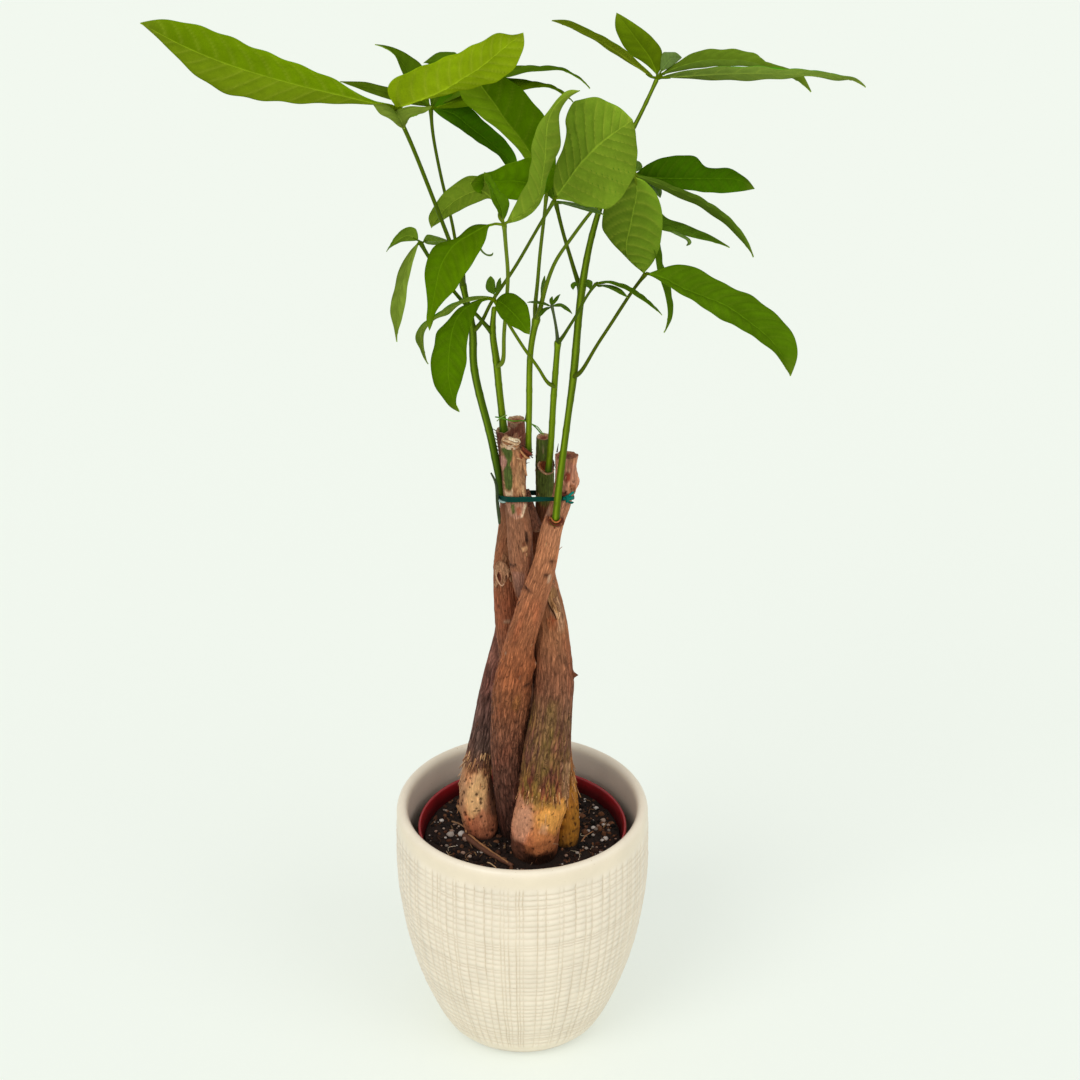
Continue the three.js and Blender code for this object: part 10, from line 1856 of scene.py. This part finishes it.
def leaf_mat():
    m, nt, b = new_mat("leaf_blade")
    c = attr(nt, "Col")
    g = attr(nt, "grain", "Vector")
    vn = attr(nt, "vein", "Vector")
    sep = node(nt, "ShaderNodeSeparateXYZ"); nt.links.new(vn, sep.inputs[0])
    pp = node(nt, "ShaderNodeMath", operation='PINGPONG', in_1=0.5)
    nt.links.new(sep.outputs[0], pp.inputs[0])
    line = maprange(nt, pp.outputs[0], 0.012, 0.055, 1.0, 0.0)
    st = node(nt, "ShaderNodeMath", operation='MULTIPLY')
    nt.links.new(line, st.inputs[0]); nt.links.new(sep.outputs[2], st.inputs[1])
    st2 = node(nt, "ShaderNodeMath", operation='MULTIPLY', in_1=0.20)
    nt.links.new(st.outputs[0], st2.inputs[0])
    st2.use_clamp = True
    # fine net of small veins and mottling
    vo = node(nt, "ShaderNodeTexVoronoi", feature='DISTANCE_TO_EDGE')
    vo.inputs["Scale"].default_value = 520
    nt.links.new(g, vo.inputs["Vector"])
    net = maprange(nt, vo.outputs["Distance"], 0.0, 0.12, 1.0, 0.0)
    n1 = tex_noise(nt, g, 110, 4, 0.6)
    k = maprange(nt, n1, 0.3, 0.7, 0.90, 1.10)
    cmb = node(nt, "ShaderNodeCombineXYZ")
    for i in range(3): nt.links.new(k, cmb.inputs[i])
    c1 = mix(nt, c, cmb.outputs[0], 1.0, 'MULTIPLY')
    lighter = mix(nt, c1, (1.55, 1.35, 1.6), 1.0, 'MULTIPLY')
    c2 = mix(nt, c1, lighter, st2.outputs[0])
    nf = node(nt, "ShaderNodeMath", operation='MULTIPLY', in_1=0.16)
    nt.links.new(net, nf.inputs[0])
    c3 = mix(nt, c2, lighter, nf.outputs[0])
    nt.links.new(c3, b.inputs["Base Color"])
    nt.links.new(maprange(nt, n1, 0.3, 0.7, 0.36, 0.46), b.inputs["Roughness"])
    b.inputs["Specular IOR Level"].default_value = 0.0
    ch = bump(nt, b, net, 0.10, 0.0003)
    bump(nt, b, line, 0.25, 0.0004, ch)
    return m


def stem_shell(s, name, rows, colr, base_dark=0.0, tip=1.0):
    P4 = spline(rows, step=1.1)
    # ease out small wobbles of the measured line, ends kept
    E4 = P4.copy()
    for _ in range(90 if name.startswith('shoot') else 30):
        E4[1:-1] = (E4[:-2] + 2 * E4[1:-1] + E4[2:]) / 4
    P4 = E4
    P, R = P4[:, :3], P4[:, 3].copy()
    L = np.r_[0, np.cumsum(np.linalg.norm(np.diff(P, axis=0), axis=1))]
    fr = L / L[-1]
    R = R * (1 + 0.02 * noise(np.stack([L * .12, 0 * L, 0 * L + len(name)], -1)))
    woody = name.startswith('shoot')
    if woody:
        # joints where leaves once grew
        rg = np.random.default_rng(len(name) * 31 + ord(name[-1]))
        l = 14.0
        while l < L[-1] - 8:
            R = R + 0.13 * np.exp(-((L - l) / 1.3) ** 2)
            l += rg.uniform(12, 24)
    else:
        R = R * (1 + 0.28 * np.exp(-(L / 2.6) ** 2) + 0.10 * np.exp(-((L - 5) / 4) ** 2))
    end = L[-1] - L
    R = R * (1 + 0.22 * np.exp(-(end / 2.8) ** 2))
    # rounded end
    cap = np.array([0.95, 0.8, 0.5])
    Pe = P[-1] + unit(P[-1] - P[-2])[None] * (R[-1] * np.array([0.35, 0.65, 0.85]))[:, None]
    P = np.vstack([P, Pe]); R = np.r_[R, R[-1] * cap]
    Ls = np.r_[L, L[-1] + R[-4] * np.array([.35, .65, .85])]
    m = 20
    th = np.linspace(0, 2 * np.pi, m, endpoint=False)
    RR = R[:, None] * (1 + 0.035 * noise(np.stack([np.cos(th)[None] * 2.2 + 0 * R[:, None], np.sin(th)[None] * 2.2 + 0 * R[:, None], Ls[:, None] * .03 + 0 * th[None]], -1)))
    v, q, t = tube(P, RR, m)
    ring = np.r_[np.repeat(Ls, m), 0, Ls[-1]]
    ang = np.r_[np.tile(th, len(P)), 0, 0]
    c = lin(colr) * (1 + 0.16 * noise(np.stack([np.cos(ang) * 2.4, np.sin(ang) * 2.4, ring * 0.05], -1)) +
                     0.10 * noise(np.stack([np.cos(ang) * 6, np.sin(ang) * 6, ring * 0.10 + 5], -1)))[:, None]
    # rounder look: paler towards the light, deeper at the sides
    c = c * (1 + 0.24 * np.cos(ang + 0.5) * (0.5 + 0.5 * np.cos(ang)) - 0.10 * np.abs(np.sin(ang)))[:, None]
    if woody:
        # a painted highlight streak running up the front
        dd = (ang + 0.22 + 0.25 * noise(np.stack([ring * .012, 0 * ring, 0 * ring + 4], -1)) + np.pi) % (2 * np.pi) - np.pi
        c = c + (lin('#a9cc2e') - c) * (0.34 * np.exp(-(dd / 0.26) ** 2))[:, None]
        # darker, browner freckles low on the shoot
        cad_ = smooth(0.25, 0.5, noise(np.stack([np.cos(ang) * 5, np.sin(ang) * 5, ring * 0.5 + 9], -1)))
        c = c + (lin('#4a5a1c') - c) * (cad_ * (0.18 + 0.35 * (1 - smooth(0, 60, ring))))[:, None]
    if base_dark:
        k = (1 - smooth(0, base_dark, ring))[:, None]
        c = c + (lin('#2c4a10') - c) * (k * 0.85)
    nod = np.exp(-((ring - 0) / 2.5) ** 2)[:, None]
    if not woody: c = c * (1 - 0.2 * nod)
    endc = np.exp(-((ring - Ls[-1]) / 4) ** 2)[:, None]
    c = c * (1 + 0.15 * endc)
    s.add(v, q, t, c, vein=np.tile([0.5, 0.3, 0.0], (len(v), 1)), grain=np.stack([np.cos(ang) * 3, np.sin(ang) * 3, ring * 0.3], -1) * MM)
    return np.hstack([P, R[:, None]])


STEM_COL = {'shoot_1': ('#5f8a1c', 70), 'shoot_2': ('#7fa62a', 14), 'shoot_3': ('#82a82a', 10), 'shoot_4': ('#7da626', 8),
            'shoot_5': ('#729c1e', 0), 'stalk_a': ('#6f9426', 0), 'stalk_b': ('#5c7a22', 0), 'stalk_d': ('#6a8f26', 0),
            'stalk_i': ('#7fa62c', 0), 'stalk_j': ('#648a22', 0), 'stalk_k': ('#6a9024', 0), 'stalk_h': ('#5f8424', 0),
            'stalk_g': ('#5f8a1e', 0), 'stalk_sl': ('#6a9424', 0), 'stalk_sr': ('#6c9626', 0), 'stalk_l': ('#587a26', 0),
            'stalk_n': ('#4f7a1c', 0)}
SMALL = {'d2': 'stalk_d', 'f5': 'stalk_sr', 'f6': 'stalk_sr', 's3b': 'stalk_sr', 'h2': 'stalk_h', 'i1': 'stalk_i', 'j3': 'stalk_j',
         'k4': 'stalk_k', 'k5': 'stalk_k', 'l1': 'stalk_l', 'l2': 'stalk_l', 'l3': 'stalk_l', 'l4': 'stalk_l', 'l5': 'stalk_l',
         'm3': 'shoot_5', 'n2': 'shoot_5', 'n3': 'shoot_5'}


GROWS_ON = {'stalk_a': 'shoot_1', 'stalk_b': 'shoot_1', 'stalk_d': 'shoot_1', 'stalk_i': 'shoot_2',
            'stalk_j': 'shoot_2', 'stalk_k': 'shoot_4', 'stalk_h': 'shoot_4', 'stalk_l': 'shoot_4',
            'stalk_g': 'shoot_5', 'stalk_n': 'shoot_5', 'stalk_sl': 'shoot_3', 'stalk_sr': 'shoot_3'}


def greenery():
    mat = leaf_mat()
    smat = mat_col("green_stem", 0.42, (0.88, 1.12), 420, 900, 0.2, 0.0003, spec=0.04, vec_attr="grain")
    lines = {}
    for name, rows in STEMS.items():
        s = Soup()
        colr, dark = STEM_COL[name]
        colr = STEM_HUE.get(name, colr)
        rows = [list(map(float, r)) for r in rows]
        if name.startswith('stalk'):
            # carried back to the centre line of the shoot it grows from
            foot = np.array(rows[0][:3])
            d = unit(foot - np.array(rows[1][:3]))
            on = np.array(STEMS[GROWS_ON[name]], float)
            t = np.linspace(0, len(on) - 1, 60 * (len(on) - 1) + 1)
            line = np.stack([np.interp(t, np.arange(len(on)), on[:, k]) for k in range(3)], -1)
            q = line[np.argmin(np.linalg.norm(line - (foot + d * 3.0), axis=1))]
            rows = [[*q, rows[0][3] * 1.12]] + rows
        elif name != 'shoot_5':
            d = unit(np.array(rows[0][:3]) - np.array(rows[1][:3]))
            rows = [[*(np.array(rows[0][:3]) + d * 2.5), rows[0][3] * 1.15]] + rows
        lines[name] = stem_shell(s, name, rows, colr, dark)
        if name == 'shoot_5':
            # rounded heel on the trunk
            p = np.array([18.6, -16.4, 345.0])
            v = ICO_V * np.array([3.3, 2.9, 3.0]) + p
            s.add(v, None, ICO_F, lin(STEM_HUE.get('shoot_5', '#6d9420')) * (0.9 + .1 * noise(v * .4))[:, None], grain=v * MM)
        for lf, par in SMALL.items():
            if par == name: blade(s, lf, lines[name])
        ob = s.obj(name + "_green", smat)
        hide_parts(name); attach(ob, "root")
    for name in LEAVES:
        if name in SMALL: continue
        s = Soup()
        blade(s, name, lines[LEAVES[name][0]])
        ob = s.obj("leaf_" + name, mat)
        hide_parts("leaflet_" + name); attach(ob, "root")


# ------------------------------------------------------------------ set
def studio():
    sc = bpy.context.scene
    sc.view_settings.view_transform = 'Standard'
    cam = bpy.data.cameras.new("cam")
    cam.lens = 127.453; cam.sensor_width = 36.0; cam.sensor_fit = 'HORIZONTAL'
    cam.clip_start = 0.05; cam.clip_end = 50
    co = bpy.data.objects.new("cam", cam)
    co.location = (0.01018412, -1.83002662, 1.38030112)
    co.rotation_euler = (math.radians(60), 0, 0)
    sc.collection.objects.link(co)
    sc.camera = co
    v = [(-9000, -6000, 0), (9000, -6000, 0), (9000, 12000, 0), (-9000, 12000, 0)]
    m, nt, b = new_mat("paper_floor")
    b.inputs["Base Color"].default_value = (*lin(FLOOR), 1)
    b.inputs["Roughness"].default_value = 1.0
    b.inputs["Specular IOR Level"].default_value = 0.0
    b.inputs["Emission Color"].default_value = (*lin(FLOOR), 1)
    b.inputs["Emission Strength"].default_value = GLOW
    fl = make("floor", v, [np.array([[0, 1, 2, 3]])], m)
    w = bpy.data.worlds.new("studio")
    sc.world = w
    w.use_nodes = True
    bg = w.node_tree.nodes["Background"]
    bg.inputs[0].default_value = (*WORLD[0], 1)
    bg.inputs[1].default_value = WORLD[1]
    for nm, rot, energy, angle, colr in SUNS:
        l = bpy.data.lights.new(nm, 'SUN')
        l.energy = energy; l.angle = math.radians(angle); l.color = colr
        o = bpy.data.objects.new(nm, l)
        o.rotation_euler = [math.radians(a) for a in rot]
        sc.collection.objects.link(o)


FLOOR = '#bfc4bd'
GLOW = 0.72
WORLD = ((1.0, 1.0, 1.0), 0.66)
SUNS = [("key", (46, 0, -38), 0.85, 32, (1, 0.99, 0.97)),
        ("fill", (52, 0, 50), 0.5, 40, (1, 1, 1)),
        ("front", (70, 0, 4), 0.35, 50, (1, 1, 1))]

cover_pot()
nursery_pot()
soil()
all_trunks()
tie_band()
twine()
dead_bits()
greenery()
studio()

bpy.context.view_layer.update()
